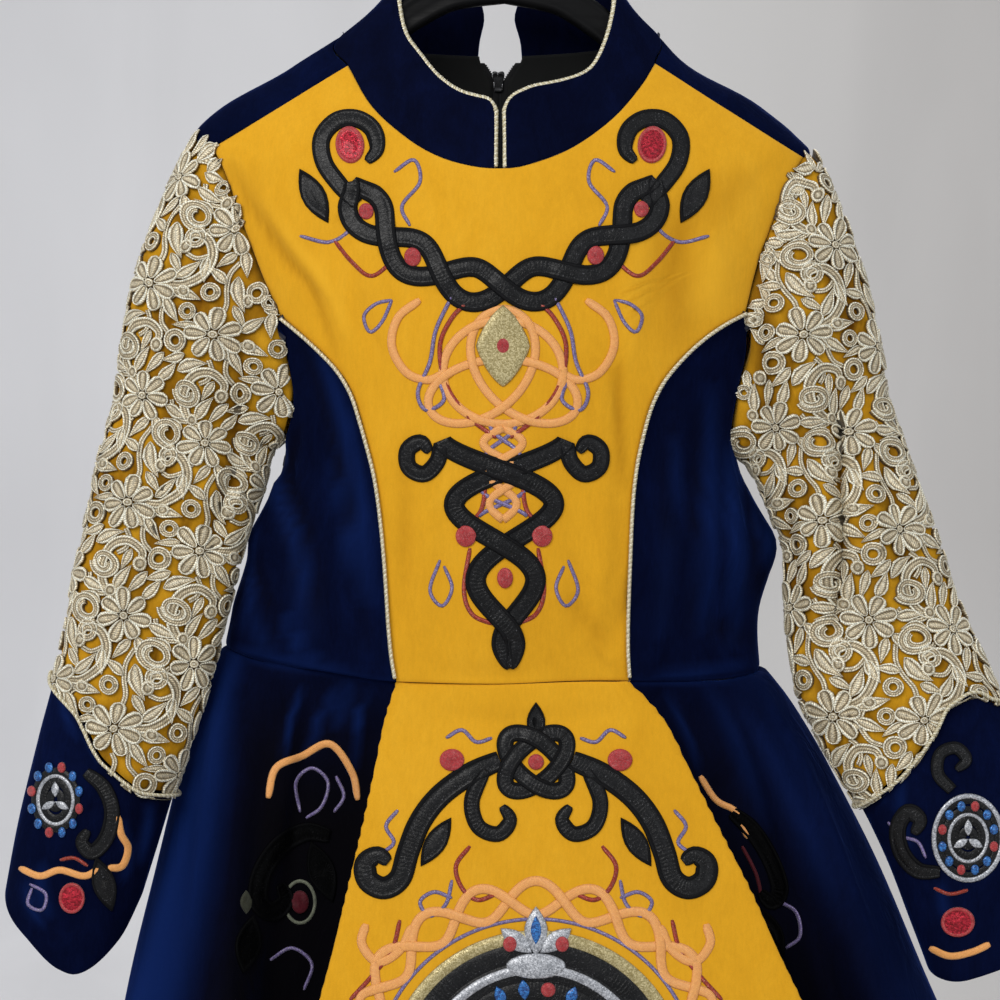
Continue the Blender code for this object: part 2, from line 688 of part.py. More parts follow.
# Sleeves, the lace over them, and the cuffs.
for side, tag in ((-1, "left"), (1, "right")):
    def sleeve_axis(c, side=side):
        k = min(max((-c.z * 1000 - 338.0) / 40.0, 0.0), 8.0)
        p = (sleeve_at(side, 0, k) + sleeve_at(side, 180, k)) / 2000.0
        if k == 0.0:
            t = min(max((338.0 + c.z * 1000) / 170.0, 0.0), 1.0)
            p = p * (1 - t) + body(side * 80.0, 230.0) * 0.001 * t * 0.98
        return p
    g, r, c = sleeve_grid(side)
    cloth("sleeve_" + tag, g, r, c, SLEEVE_WALL, GOLD_VELVET, sleeve_axis, wrap=True)
    g = {(i - 1, j): p for (i, j), p in g.items() if i}
    r -= 1
    for j in range(c):
        g[r - 1, j] = g[r - 1, j] + unit(g[r - 2, j] - g[r - 1, j]) * 1.2
    cloth("lace_" + tag, g, r, c, LACE_WALL, LACE, sleeve_axis, wrap=True, lift=0.45)
    g, r, c = cuff_grid(side)
    cloth("cuff_" + tag, g, r, c, WALL, BLUE_VELVET, sleeve_axis, wrap=True)

# Collar.
for side, tag in ((-1, "left"), (1, "right")):
    g, r, c = collar_grid(side)
    cloth("collar_" + tag, g, r, c, COLLAR_WALL, BLUE_VELVET, axis_of_body)

# Skirt.
g = {(i, j): panel_at(j / 10, f) for i, f in enumerate(FALLS) for j in range(11)}
cloth("skirt_front", g, len(FALLS), 11, PANEL_WALL, GOLD_VELVET, axis_of_body)
steps = []
for k, n in enumerate(SPANS):
    steps += [k + i / n for i in range(n)]
steps.append(float(len(SPANS)))
for side, tag in ((-1, "left"), (1, "right")):
    g = {(i, j): skirt_at(side, u, f) for i, f in enumerate(FALLS) for j, u in enumerate(steps)}
    cloth("skirt_" + tag, g, len(FALLS), len(steps), WALL, BLUE_VELVET, axis_of_body, skip=("start",))


# Piping.
def tube(name, pts, radius, mat, closed=False):
    cu = bpy.data.curves.new(name, "CURVE")
    cu.dimensions = "3D"
    sp = cu.splines.new("POLY")
    sp.points.add(len(pts) - 1)
    for q, p in zip(sp.points, pts):
        q.co = (*(Vector(p) * 0.001), 1.0)
    sp.use_cyclic_u = closed
    cu.bevel_depth = radius * 0.001
    cu.bevel_resolution = 2
    cu.use_fill_caps = not closed
    cu.twist_mode = "MINIMUM"
    cu.materials.append(mat)
    ob = bpy.data.objects.new(name, cu)
    coll.objects.link(ob)
    return ob


for side, tag in ((-1, "left"), (1, "right")):
    seam = seam_princess(side)
    smooth = Path([body(a, d, BRAID_R + 0.7) for a, d in seam])
    tube("princess_piping_" + tag, [smooth.at(0.012 + 0.976 * i / 15) for i in range(16)], BRAID_R, CORD)

    g, r, c = collar_grid(side)
    far = PIPING_R + 0.45
    back = np.array([0.0, COLLAR_WALL / 2, 0.0])
    away = np.array([-side * 1.0, 0.0, 0.0])
    line = [g[i, 0] * (1 - t) + g[i - 1, 0] * t + away * far + back
            for i, t in ((r - 1, 0.10), (r - 2, 0.0), (1, 0.0), (1, 0.75))]
    line.append(g[0, 0] + unit(away + np.array([0.0, 0.0, 1.0])) * (far * 1.12) + back)
    for j in range(1, c):
        up = unit(g[0, j] - g[1, j])
        out = unit(np.array([g[0, j][0] + 2.0, g[0, j][1], 0.0]))
        n = unit(out - up * np.dot(out, up))
        line.append(g[0, j] + up * far - n * (COLLAR_WALL / 2))
    line[-1] = line[-1] * 0.85 + line[-2] * 0.15
    tube("collar_piping_" + tag, line, PIPING_R, CORD)

    turns = sleeve_turns(side)
    ring = []
    for t in range(0, 360, 18):
        s = CUFF_TOP[side].at(t)[0]
        ring.append(sleeve_at(side, t, s, -(PIPING_R + 0.9)))
    tube("cuff_piping_" + tag, ring, PIPING_R, CORD, closed=True)

# Facing inside the back neck, the zip's two tapes.
for side, tag in ((-1, "left"), (1, "right")):
    g = {}
    for i in range(4):
        drop = 112.5 + 36.0 * i / 3
        gap = max(BACK_GAP.at(drop)[0], 4.8) + 0.3
        c0, w0 = BODY.at(drop)[:2]
        start = side * 180.0 - math.degrees(math.asin((CENTRE_BACK + side * gap - c0) / w0))
        end = side * (112.0 + 6.0 * i / 3)
        for j in range(8):
            g[i, j] = body(start + (end - start) * j / 7, drop, -(WALL + 2.3))
    cloth("neck_facing_" + tag, g, 4, 8, FACING_WALL, BLACK, axis_of_body)

    top = TIP_DROP[side] + 2
    drops = [112.5] + [NECK_BACK[-1][1] + (top - NECK_BACK[-1][1]) * i / 4 for i in range(1, 5)]
    rows = CUT["princess"] - CUT["low"] + CUT["armback"]
    drops += [top + (WAIST.at(180.0)[0] - top) * i / rows for i in range(1, rows + 1)]
    g = {}
    for i, drop in enumerate(drops):
        spread = 9.5 * max(0.0, (126.0 - drop) / 13.5)
        for j in range(3):
            x = CENTRE_BACK + side * (0.2 + spread + 4.4 * j)
            c0, w0 = BODY.at(drop)[:2]
            g[i, j] = body(side * 180.0 - math.degrees(math.asin((x - c0) / w0)), drop, -(WALL + 0.5))
    n = len(drops)
    for i, fall in enumerate((10, 24, 50, 85, 104)):
        for j in range(3):
            p = skirt_at(side, 5.5, fall)
            q = skirt_at(side, 6.0, fall)
            x = CENTRE_BACK + side * (0.2 + 4.4 * j)
            t = (x - p[0]) / (q[0] - p[0])
            g[n + i, j] = np.array([x, p[1] + (q[1] - p[1]) * t - (WALL + 0.5), q[2]])
    n += 4
    cloth("zip_tape_" + tag, g, n + 1, 3, 1.2, BLACK, axis_of_body, skip=("start",))


# Slider and pull, in a frame lying on the back: u across, v out, w up.
def box_mesh(bm, lo, hi):
    m = bmesh.ops.create_cube(bm, size=1.0)
    for v in m["verts"]:
        v.co = Vector([lo[k] + (v.co[k] + 0.5) * (hi[k] - lo[k]) for k in range(3)])


SLIDER_DROP = 122.0
p0 = body(180.0 - math.degrees(math.asin((CENTRE_BACK - BODY.at(SLIDER_DROP)[0]) / BODY.at(SLIDER_DROP)[1])),
          SLIDER_DROP)
lower = BODY.at(SLIDER_DROP + 14)[3]
upper = BODY.at(SLIDER_DROP - 6)[3]
SLOPE = math.atan2(lower - upper, 20.0)


def local(name, boxes, mat, bevel):
    """Boxes in (u, v, w), joined into one solid, set on the back."""
    base = None
    for k, (lo, hi) in enumerate(boxes):
        me = bpy.data.meshes.new(name + "_box")
        bm = bmesh.new()
        box_mesh(bm, [x * 0.001 for x in lo], [x * 0.001 for x in hi])
        bm.to_mesh(me)
        bm.free()
        if base is None:
            base = place(me, name, mat)
            continue
        cutter = bpy.data.objects.new(name + "_add_%d" % k, me)
        tools.objects.link(cutter)
        cutter.hide_render = True
        cutter.display_type = "WIRE"
        cutter.parent = base
        b = base.modifiers.new("add_%d" % k, "BOOLEAN")
        b.operation = "UNION"
        b.solver = "EXACT"
        b.object = cutter
    if bevel:
        b = base.modifiers.new("edges", "BEVEL")
        b.width = bevel * 0.001
        b.segments = 1
        b.limit_method = "ANGLE"
    base.location = Vector(p0) * 0.001
    base.rotation_euler = (SLOPE, 0.0, 0.0)
    return base


TAPE_OUT, TAPE_IN = -(WALL + 0.45), -(WALL + 1.65)
slider = local("zip_slider", [
    ((-3.5, TAPE_OUT + 0.4, -4.5), (3.5, 0.3, 4.5)),
    ((-3.5, TAPE_IN - 1.3, -4.5), (3.5, TAPE_IN - 0.4, 4.5)),
    ((-1.2, TAPE_IN - 1.0, 2.3), (1.2, TAPE_OUT + 1.0, 4.5)),
    ((-0.7, 0.0, 2.0), (0.7, 3.2, 3.0)),
    ((-0.7, 0.0, -3.0), (0.7, 3.2, -2.0)),
    ((-0.7, 2.3, -3.0), (0.7, 3.2, 3.0)),
], NICKEL, 0.0)
HINGE_V = 1.3
tab = local("zip_pull", [
    ((-2.3, HINGE_V - 0.45, -0.45), (2.3, HINGE_V + 0.45, 0.45)),
    ((-2.3, HINGE_V - 0.45, -6.0), (-1.1, HINGE_V + 0.45, 0.45)),
    ((1.1, HINGE_V - 0.45, -6.0), (2.3, HINGE_V + 0.45, 0.45)),
    ((-2.3, HINGE_V - 0.45, -22.0), (2.3, HINGE_V + 0.45, -4.6)),
], NICKEL, 0.0)

# ------------------------------------------------------------------ hanger
TILT = math.radians(2.0)       # the dress hangs a little lower on its right
ARM = Table("across drop tall thick", [
    (0, 77.0, 10.0, 5.0), (30, 82.0, 10.0, 5.0), (57, 97.0, 9.5, 4.5), (76, 113.0, 8.5, 4.5),
    (94, 126.0, 8.0, 5.0), (127, 145.0, 7.5, 7.0), (150, 157.5, 6.5, 8.0), (164, 166.0, 5.0, 7.0)])
SIDES = 10


def ring(across):
    k = abs(across)
    drop, tall, thick = ARM.at(k)
    slope = (ARM.at(k + 1.0)[0] - ARM.at(k - 1.0)[0]) / 2.0 if 1.0 < k < 163.0 else 0.0
    a = math.atan(slope) * (1 if across > 0 else -1)
    out = []
    for i in range(SIDES):
        t = 2 * math.pi * (i + 0.5) / SIDES
        u, v = math.cos(t) * thick, math.sin(t) * tall
        x, z = across + math.sin(a) * v, -drop + math.cos(a) * v + 77.0
        out.append(Vector((x * math.cos(TILT) + z * math.sin(TILT), u,
                           z * math.cos(TILT) - x * math.sin(TILT) - 77.0)))
    return out


bm = bmesh.new()
stations = [-164, -158, -146, -127, -108, -92, -74, -57, -42, -27, -12, 12, 27, 42, 57, 74, 92, 108, 127, 146, 158, 164]
rings = [[bm.verts.new(v * 0.001) for v in ring(x)] for x in stations]
for a, b in zip(rings, rings[1:]):
    for i in range(SIDES):
        k = (i + 1) % SIDES
        bm.faces.new((a[i], b[i], b[k], a[k]))
bm.faces.new(rings[0])
bm.faces.new(rings[-1][::-1])
bmesh.ops.recalc_face_normals(bm, faces=bm.faces)
me = bpy.data.meshes.new("hanger")
bm.to_mesh(me)
bm.free()
hanger = place(me, "hanger", PLASTIC)

HOOK_R, HOOK_TUBE = 22.0, 3.1
mid_r = HOOK_R + HOOK_TUBE
route = [(0.0, -80.0), (0.0, -62.0), (2.0, -54.0), (9.0, -47.5)]
for k in range(12):
    t = math.radians(-52.0 + 22.5 * k)
    route.append((mid_r * math.cos(t), -HOOK_R + mid_r * math.sin(t)))
cu = bpy.data.curves.new("hook", "CURVE")
cu.dimensions = "3D"
sp = cu.splines.new("POLY")
path = Path(route, 3)
count = 26
sp.points.add(count - 1)
for i in range(count):
    x, z = path.at(i / (count - 1))
    sp.points[i].co = (x * 0.001, 0.0, z * 0.001, 1.0)
cu.bevel_depth = HOOK_TUBE * 0.001
cu.bevel_resolution = 2
cu.use_fill_caps = True
hook = bpy.data.objects.new("hook_curve", cu)
tools.objects.link(hook)
bpy.context.view_layer.update()
dg = bpy.context.evaluated_depsgraph_get()
solid = bpy.data.meshes.new_from_object(hook.evaluated_get(dg))
bm = bmesh.new()
bm.from_mesh(solid)
bmesh.ops.remove_doubles(bm, verts=bm.verts, dist=1e-6)
bmesh.ops.recalc_face_normals(bm, faces=bm.faces)
bm.to_mesh(solid)
bm.free()
bpy.data.objects.remove(hook, do_unlink=True)
hook_ob = bpy.data.objects.new("hook_solid", solid)
tools.objects.link(hook_ob)
hook_ob.hide_render = True
hook_ob.display_type = "WIRE"
b = hanger.modifiers.new("hook", "BOOLEAN")
b.operation = "UNION"
b.solver = "EXACT"
b.object = hook_ob

bpy.context.view_layer.update()
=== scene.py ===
"""Irish dance dress on a plastic hanger: the looks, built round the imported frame.

Works in millimetres, z = -drop below the hook, and scales to metres as each
mesh is made.  "left" is the -X side.  Creases and artwork are placed in the
view's own 1000 x 1000 frame: px to the right, py down.
"""

import math

import bmesh
import bpy
import numpy as np
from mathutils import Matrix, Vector
from mathutils.bvhtree import BVHTree


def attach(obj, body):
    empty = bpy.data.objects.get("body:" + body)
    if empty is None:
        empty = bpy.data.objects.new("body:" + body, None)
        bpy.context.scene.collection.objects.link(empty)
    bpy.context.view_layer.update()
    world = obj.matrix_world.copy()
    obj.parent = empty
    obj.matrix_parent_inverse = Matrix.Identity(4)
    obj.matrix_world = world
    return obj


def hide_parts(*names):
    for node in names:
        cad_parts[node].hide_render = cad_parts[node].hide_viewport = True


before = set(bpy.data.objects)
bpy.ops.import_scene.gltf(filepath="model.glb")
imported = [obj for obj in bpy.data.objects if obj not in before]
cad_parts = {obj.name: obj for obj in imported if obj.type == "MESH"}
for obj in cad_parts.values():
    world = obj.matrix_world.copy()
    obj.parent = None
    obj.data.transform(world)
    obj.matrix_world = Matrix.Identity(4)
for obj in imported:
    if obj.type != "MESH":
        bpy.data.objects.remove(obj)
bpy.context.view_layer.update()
RNG = np.random.default_rng(11)

# ------------------------------------------------------------------ camera
scene = bpy.context.scene
cam_data = bpy.data.cameras.new("camera")
cam_data.sensor_fit = "HORIZONTAL"
cam_data.sensor_width = 36.0
cam_data.lens = 72.0
cam_data.clip_start = 0.01
cam_data.clip_end = 20.0
cam = bpy.data.objects.new("camera", cam_data)
scene.collection.objects.link(cam)
cam.location = (-0.003, -1.2, -0.385)
cam.rotation_euler = (math.radians(90.0), 0.0, 0.0)
scene.camera = cam

# ------------------------------------------------------------------ sizes (mm)
WALL = 1.8            # velvet with its lining
SLEEVE_WALL = 1.4     # plain cloth under the lace
LACE_WALL = 1.3       # guipure lace
COLLAR_WALL = 2.0
PANEL_WALL = 2.2      # stiffened skirt panel
FACING_WALL = 1.0
GAP = 0.35            # each piece stops this far short of its seam line
PIPING_R = 1.1        # collar and cuff piping
BRAID_R = 1.3         # piping of the princess seams
HEM_DROP = 889.0
WAIST_DROP = 490.0    # at centre front
CENTRE_BACK = -3.0    # x of the zip
ZIP_END = 592.0
EYE, EYE_X, EYE_DROP = 1200.0, -3.0, 385.0

# ------------------------------------------------------------------ shape


class Table:
    """Named columns, a row for each section, joined by monotone cubics."""

    def __init__(self, names, rows):
        self.names = names.split()
        a = np.array(rows, dtype=float)
        self.t, self.v = a[:, 0], a[:, 1:]
        h = np.diff(self.t)
        d = np.diff(self.v, axis=0) / h[:, None]
        m = np.zeros_like(self.v)
        m[0], m[-1] = d[0], d[-1]
        for i in range(1, len(h)):
            w1, w2 = 2 * h[i] + h[i - 1], h[i] + 2 * h[i - 1]
            same = d[i - 1] * d[i] > 1e-12
            p, q = np.where(same, d[i - 1], 1.0), np.where(same, d[i], 1.0)
            m[i] = np.where(same, (w1 + w2) / (w1 / p + w2 / q), 0.0)
        self.m = m

    def at(self, t):
        t = min(max(t, self.t[0]), self.t[-1])
        i = int(min(max(np.searchsorted(self.t, t, side="right") - 1, 0), len(self.t) - 2))
        h = self.t[i + 1] - self.t[i]
        s = (t - self.t[i]) / h
        a, b = self.v[i], self.v[i + 1]
        return (a * (1 + 2 * s) * (1 - s) ** 2 + h * self.m[i] * s * (1 - s) ** 2
                + b * s * s * (3 - 2 * s) + h * self.m[i + 1] * s * s * (s - 1))


class Path:
    """A smooth line through a short list of points, read by its length."""

    def __init__(self, points, step=12):
        p = np.array(points, dtype=float)
        q = np.vstack([2 * p[0] - p[1], p, 2 * p[-1] - p[-2]])
        out = [p[0]]
        for i in range(1, len(q) - 2):
            for k in range(1, step + 1):
                s = k / step
                out.append(0.5 * (2 * q[i] + (q[i + 1] - q[i - 1]) * s
                                  + (2 * q[i - 1] - 5 * q[i] + 4 * q[i + 1] - q[i + 2]) * s * s
                                  + (3 * q[i] - q[i - 1] - 3 * q[i + 1] + q[i + 2]) * s ** 3))
        self.p = np.array(out)
        seg = np.linalg.norm(np.diff(self.p, axis=0), axis=1)
        self.s = np.concatenate([[0.0], np.cumsum(seg)])
        self.length = self.s[-1]

    def at(self, u):
        d = min(max(u, 0.0), 1.0) * self.length
        return np.array([np.interp(d, self.s, self.p[:, k]) for k in range(self.p.shape[1])])


def sight(across, drop, depth):
    """From the elevation to x and drop at a depth y."""
    k = 1.0 + depth / EYE
    return EYE_X + (across - EYE_X) * k, EYE_DROP + (drop - EYE_DROP) * k


def unit(v):
    n = np.linalg.norm(v)
    return v / n if n > 1e-12 else v


# Bodice sections: half-ovals of one width and two depths.
BODY = Table("drop centre half front back", [
    (90.0, -1.0, 80.0, 6.0, 38.0),
    (103.6, -2.4, 92.4, 11.0, 43.0),
    (125.2, -8.0, 119.5, 22.0, 50.0),
    (151.0, -7.8, 163.0, 34.0, 56.0),
    (166.6, -6.0, 180.5, 41.0, 59.0),
    (176.8, -2.6, 186.0, 45.0, 60.0),
    (186.0, -0.6, 184.0, 48.0, 61.0),
    (202.6, 1.2, 179.0, 52.0, 62.0),
    (217.0, 1.8, 174.0, 55.0, 62.5),
    (256.6, 2.1, 159.0, 60.0, 63.0),
    (275.8, 3.6, 153.0, 61.0, 63.0),
    (301.0, 5.0, 146.0, 62.0, 63.0),
    (325.0, 5.0, 139.0, 62.0, 62.5),
    (352.0, 2.5, 134.5, 61.5, 62.0),
    (366.0, 2.8, 136.8, 61.0, 61.0),
    (381.0, 3.0, 144.0, 60.0, 60.0),
    (415.0, 3.0, 158.0, 58.0, 57.0),
    (452.0, -6.0, 158.0, 56.0, 54.0),
    (475.0, -8.0, 160.0, 55.0, 52.0),
    (500.0, -8.0, 162.0, 54.0, 51.0),
])

# The waist seam, round from centre back by the left side.
WAIST = Table("angle drop", [
    (-190.0, 485.0), (-180.0, 485.0), (-135.0, 479.0), (-90.0, 471.5), (-50.0, 481.5),
    (-35.0, 485.0), (-20.0, 489.5), (0.0, 490.5), (20.0, 489.0), (45.0, 490.5), (80.0, 487.0),
    (90.0, 484.0), (135.0, 485.0), (180.0, 485.0), (190.0, 485.0)])

# Seams of the front in elevation (across, drop).
NECK_FRONT = [(-94.2, 124.0), (-79.8, 148.6), (-57.6, 168.4), (-38.4, 179.2), (-18.6, 184.6),
              (-1.8, 185.6), (13.2, 183.4), (40.2, 173.2), (64.8, 155.8), (81.6, 136.6), (90.0, 122.8)]
YOKE_TIP = {-1: (-176.4, 173.8), 1: (179.4, 179.2)}
ARMHOLE = {
    -1: [(-176.4, 173.8), (-170.4, 183.5), (-158.4, 217.0), (-143.4, 256.6), (-135.0, 274.6)],
    1: [(179.4, 179.2), (167.4, 202.6), (153.0, 241.6), (145.2, 272.2)]}
ARMHOLE_LOW = {  # angle and drop on the bodice, from the princess seam to the underarm
    -1: [(-65.0, 275.0), (-66.5, 301.0), (-70.0, 326.0), (-79.0, 343.0), (-90.0, 349.0)],
    1: [(67.5, 272.6), (70.0, 301.0), (72.5, 331.0), (80.5, 352.0), (90.0, 359.0)]}
ARMHOLE_BACK = {  # from the shoulder tip down the back to the underarm
    -1: [(-90.0, 166.6), (-103.0, 180.0), (-110.0, 217.0), (-113.0, 256.0), (-112.0, 301.0),
         (-104.0, 337.0), (-90.0, 349.0)],
    1: [(90.0, 176.8), (103.0, 190.0), (110.0, 222.0), (113.0, 262.0), (112.0, 308.0),
        (104.0, 345.0), (90.0, 359.0)]}
TIP_DROP = {-1: 166.6, 1: 176.8}
PRINCESS = {
    -1: [(-135.0, 274.6), (-118.8, 288.4), (-102.0, 305.2), (-92.4, 320.2), (-84.6, 344.8),
         (-77.4, 374.2), (-72.6, 415.6), (-69.0, 469.0), (-65.4, 495.7)],
    1: [(145.2, 272.2), (123.6, 284.8), (103.8, 302.8), (90.0, 322.6), (81.6, 349.6),
        (76.8, 379.0), (74.4, 427.6), (73.2, 469.0), (74.4, 494.2)]}

# The neck seam behind the yoke: angle and drop on the bodice.
NECK_BACK = [(90.0, 104.8), (105.0, 105.8), (120.0, 107.0), (150.0, 109.2), (180.0, 110.5)]
# Half the gap between the back pieces: open to the slider, then the width of the zip.
BACK_GAP = Table("drop half", [(66.0, 13.0), (110.0, 13.5), (124.8, 4.9), (139.0, 3.2),
                               (155.0, 2.6), (590.0, 2.6), (600.0, 0.0), (900.0, 0.0)])

# Collar top edge: plan angle from centre front, then across, depth and drop.
COLLAR = {
    -1: Table("angle across depth drop", [
        (0, -6.6, -38.0, 151.0), (8, -12.0, -37.4, 151.0), (20, -24.0, -35.5, 148.0),
        (34, -37.5, -31.0, 139.0), (49, -50.0, -24.5, 123.5), (68, -60.5, -14.5, 106.0),
        (80, -64.5, -6.0, 86.0), (95, -66.5, 4.0, 74.0), (120, -58.0, 20.0, 68.0),
        (150, -36.0, 32.0, 67.0), (180, -16.0, 36.0, 67.0)]),
    1: Table("angle across depth drop", [
        (0, 0.6, -38.0, 151.0), (8, 6.0, -37.8, 149.0), (20, 16.0, -36.5, 144.5),
        (34, 33.0, -32.0, 140.0), (49, 50.0, -25.0, 132.0), (68, 62.5, -14.5, 106.0),
        (80, 66.5, -6.0, 86.0), (95, 67.5, 4.0, 74.0), (120, 57.0, 20.0, 68.0),
        (150, 34.0, 32.0, 67.0), (180, 10.0, 36.0, 67.0)])}
COLLAR_END = {-1: (-6.4, 185.0), 1: (0.7, 185.2)}

# Sleeve sections in elevation: the outer and inner edge, then the middle's
# depth and half the thickness.
SLEEVE = {
    -1: Table("s out_x out_d in_x in_d mid half", [
        (0, -234, 325, -137, 354, -3, 24), (1, -246, 367, -147, 387, -11, 25),
        (2, -255, 410, -158, 420, -17, 25), (3, -263, 450, -167, 455, -21, 25),
        (4, -270, 486, -175, 487, -24, 25), (5, -281, 525, -187, 530, -27, 26),
        (6, -290, 564, -200, 570, -30, 27), (7, -300.6, 617, -217, 625, -33, 27),
        (8, -309, 660, -229, 668, -35, 27), (9, -318, 700, -241, 708, -36, 27)]),
    1: Table("s out_x out_d in_x in_d mid half", [
        (0, 230, 322, 144, 363, -5, 24), (1, 243, 363, 158, 388, -14, 25),
        (2, 257, 400, 167, 420, -18, 26), (3, 270, 436, 168, 458, -23, 27),
        (4, 281, 463, 173, 498, -28, 28), (5, 291, 487, 192, 538, -33, 28),
        (6, 305, 520, 211, 568, -38, 28), (7, 320, 557, 227, 600, -43, 28),
        (8, 333, 595, 241, 636, -47, 28), (9, 345, 630, 254, 669, -50, 28),
        (10, 357, 668, 267, 706, -52, 28)])}
CUFF_TOP = {  # turn round the sleeve (0 outer, 90 front, 180 inner), section
    -1: Table("turn s", [(0, 4.05), (60, 4.60), (93, 5.33), (131, 5.75), (180, 5.80),
                         (229, 5.75), (267, 5.33), (300, 4.60), (360, 4.05)]),
    1: Table("turn s", [(0, 5.65), (33, 5.42), (52, 5.06), (68, 5.07), (85, 5.36), (105, 5.64),
                        (124, 5.82), (180, 6.00), (270, 5.95), (330, 5.80), (360, 5.65)])}
CUFF_HEM = {
    -1: Table("turn s", [(0, 7.00), (60, 7.50), (100, 7.92), (112, 7.97), (154, 7.50),
                         (180, 7.00), (240, 6.92), (300, 6.92), (360, 7.00)]),
    1: Table("turn s", [(0, 9.00), (60, 9.12), (103, 9.18), (131, 9.18), (180, 9.00),
                        (270, 8.90), (360, 9.00)])}

# Skirt: the stiff front panel's edges, depth at the middle and set-back of its edges.
PANEL = Table("fall left right depth crown", [
    (0, -62.8, 71.2, -54, 4.5), (8, -65.5, 80.0, -55, 4.8), (23, -70.0, 92.5, -57, 5.5),
    (49, -75.0, 105.5, -62, 6.0), (80, -81.5, 121.0, -68, 6.5), (117, -90.0, 139.8, -75, 7.0),
    (149, -97.5, 154.0, -81, 7.5), (175, -104.4, 166.4, -86, 8.0), (290, -132.5, 218.5, -103, 10.0),
    (399, -160.0, 268.0, -116, 12.0)])
# Skirt sides in plan: the inverted pleat's valley, its slope, the pleat's
# edge, the side, the back of the side and the back.
SKIRT = {
    -1: Table("fall vx vy mx my rx ry sx sy bx by cy", [
        (0, -76, -45, -112, -39.5, -143, -30.0, -168.5, 0, -125, 36, 52.2),
        (20, -76, -38, -114, -35, -148, -34, -178.5, -1, -132, 42, 53),
        (90, -85, -31, -122, -31, -155, -50, -200, -2, -147, 52, 58),
        (195, -104, -32, -136, -37, -163, -68, -224, -6, -165, 62, 66),
        (300, -126, -35, -152, -46, -178, -84, -245, -8, -180, 70, 72),
        (399, -146, -39, -170, -56, -196, -98, -264, -10, -194, 78, 78)]),
    1: Table("fall vx vy mx my rx ry sx sy bx by cy", [
        (0, 78, -45.5, 104, -39, 130, -29, 153.5, 0, 112, 36, 52.2),
        (20, 94, -38, 120, -34, 146, -33, 170, -1, 124, 42, 53),
        (90, 124, -33, 154, -34, 182, -48, 209, -2, 150, 52, 58),
        (195, 166, -34, 194, -39, 222, -63, 257, -6, 184, 62, 66),
        (300, 210, -37, 236, -48, 262, -78, 304, -8, 216, 70, 72),
        (399, 254, -41, 278, -58, 304, -92, 348, -10, 246, 78, 78)])}
SPANS = (2, 2, 3, 4, 4, 3)   # divisions between those points


def body(angle, drop, out=0.0):
    """A point of the bodice, angle in degrees from centre front."""
    def raw(a, d):
        c, w, f, b = BODY.at(d)
        s, k = math.sin(math.radians(a)), math.cos(math.radians(a))
        return np.array([c + w * s, -(f if k > 0 else b) * k, -d])
    p = raw(angle, drop)
    if out:
        du = raw(angle + 0.5, drop) - raw(angle - 0.5, drop)
        dv = raw(angle, drop + 0.5) - raw(angle, drop - 0.5)
        n = unit(np.cross(du, dv))
        if n[0] * math.sin(math.radians(angle)) - n[1] * math.cos(math.radians(angle)) < 0:
            n = -n
        p = p + n * out
    return p


def front_at(across, drop):
    """From the elevation to (angle, drop) on the bodice's front."""
    y = -45.0
    for _ in range(8):
        x, d = sight(across, drop, y)
        c, w, f, _b = BODY.at(d)
        a = math.asin(min(max((x - c) / w, -1.0), 1.0))
        y = -f * math.cos(a)
    return np.array([math.degrees(a), d])


def back_edge(side, drop):
    """(angle, drop) of a back piece's edge at the zip."""
    c, w, _f, _b = BODY.at(drop)
    x = CENTRE_BACK + side * BACK_GAP.at(drop)[0]
    return np.array([side * 180.0 - math.degrees(math.asin((x - c) / w)), drop])


def waist_at(across_angle):
    return np.array([across_angle, WAIST.at(across_angle)[0]])


# How finely each seam is divided: both pieces of a seam use the same points.
CUT = dict(shoulder=4, neck=8, arm=4, princess=9, low=4, armback=8, over=3, across=8)


CROWD = 1.6      # columns stand closer where the body turns at its sides


def crowd(t, power=CROWD):
    return 1.0 - (1.0 - t) ** power


def refine(n):
    for k in CUT:
        CUT[k] *= n


def seam_yoke(side):
    """Neck corner to the armhole along the yoke's top edge."""
    n = CUT["shoulder"]
    a = np.array(NECK_FRONT[0 if side < 0 else -1])
    b = np.array(YOKE_TIP[side])
    return [front_at(*(a + (b - a) * i / n)) for i in range(n + 1)]


def seam_neck_front():
    n = CUT["neck"]
    path = Path(NECK_FRONT)
    return [front_at(*path.at(i / n)) for i in range(n + 1)]


def seam_neck_back(side):
    """Neck corner over the shoulder ridge to the zip: CUT over, then across."""
    corner = front_at(*NECK_FRONT[0 if side < 0 else -1])
    n, m = CUT["over"], CUT["across"]
    ridge = np.array([side * NECK_BACK[0][0], NECK_BACK[0][1]])
    out = []
    for i in range(n):
        t = i / n
        out.append(corner + (ridge - corner) * np.array([t, t ** 0.8]))
    back = Path([(side * a, d) for a, d in NECK_BACK[:-1]] + [tuple(back_edge(side, NECK_BACK[-1][1]))])
    return out + [back.at((i / m) ** CROWD) for i in range(m + 1)]


def seam_arm(side):
    n = CUT["arm"]
    path = Path(ARMHOLE[side])
    return [front_at(*path.at(i / n)) for i in range(n + 1)]


def seam_low(side):
    n = CUT["low"]
    top = front_at(*PRINCESS[side][0])
    path = Path([tuple(top)] + ARMHOLE_LOW[side][1:])
    return [path.at(i / n) for i in range(n + 1)]


def seam_armback(side):
    n = CUT["armback"]
    path = Path(ARMHOLE_BACK[side])
    return [path.at(i / n) for i in range(n + 1)]


def seam_princess(side):
    n = CUT["princess"]
    path = Path(PRINCESS[side])
    out = [front_at(*path.at(i / n)) for i in range(n + 1)]
    out[-1] = waist_at(out[-1][0])
    return out


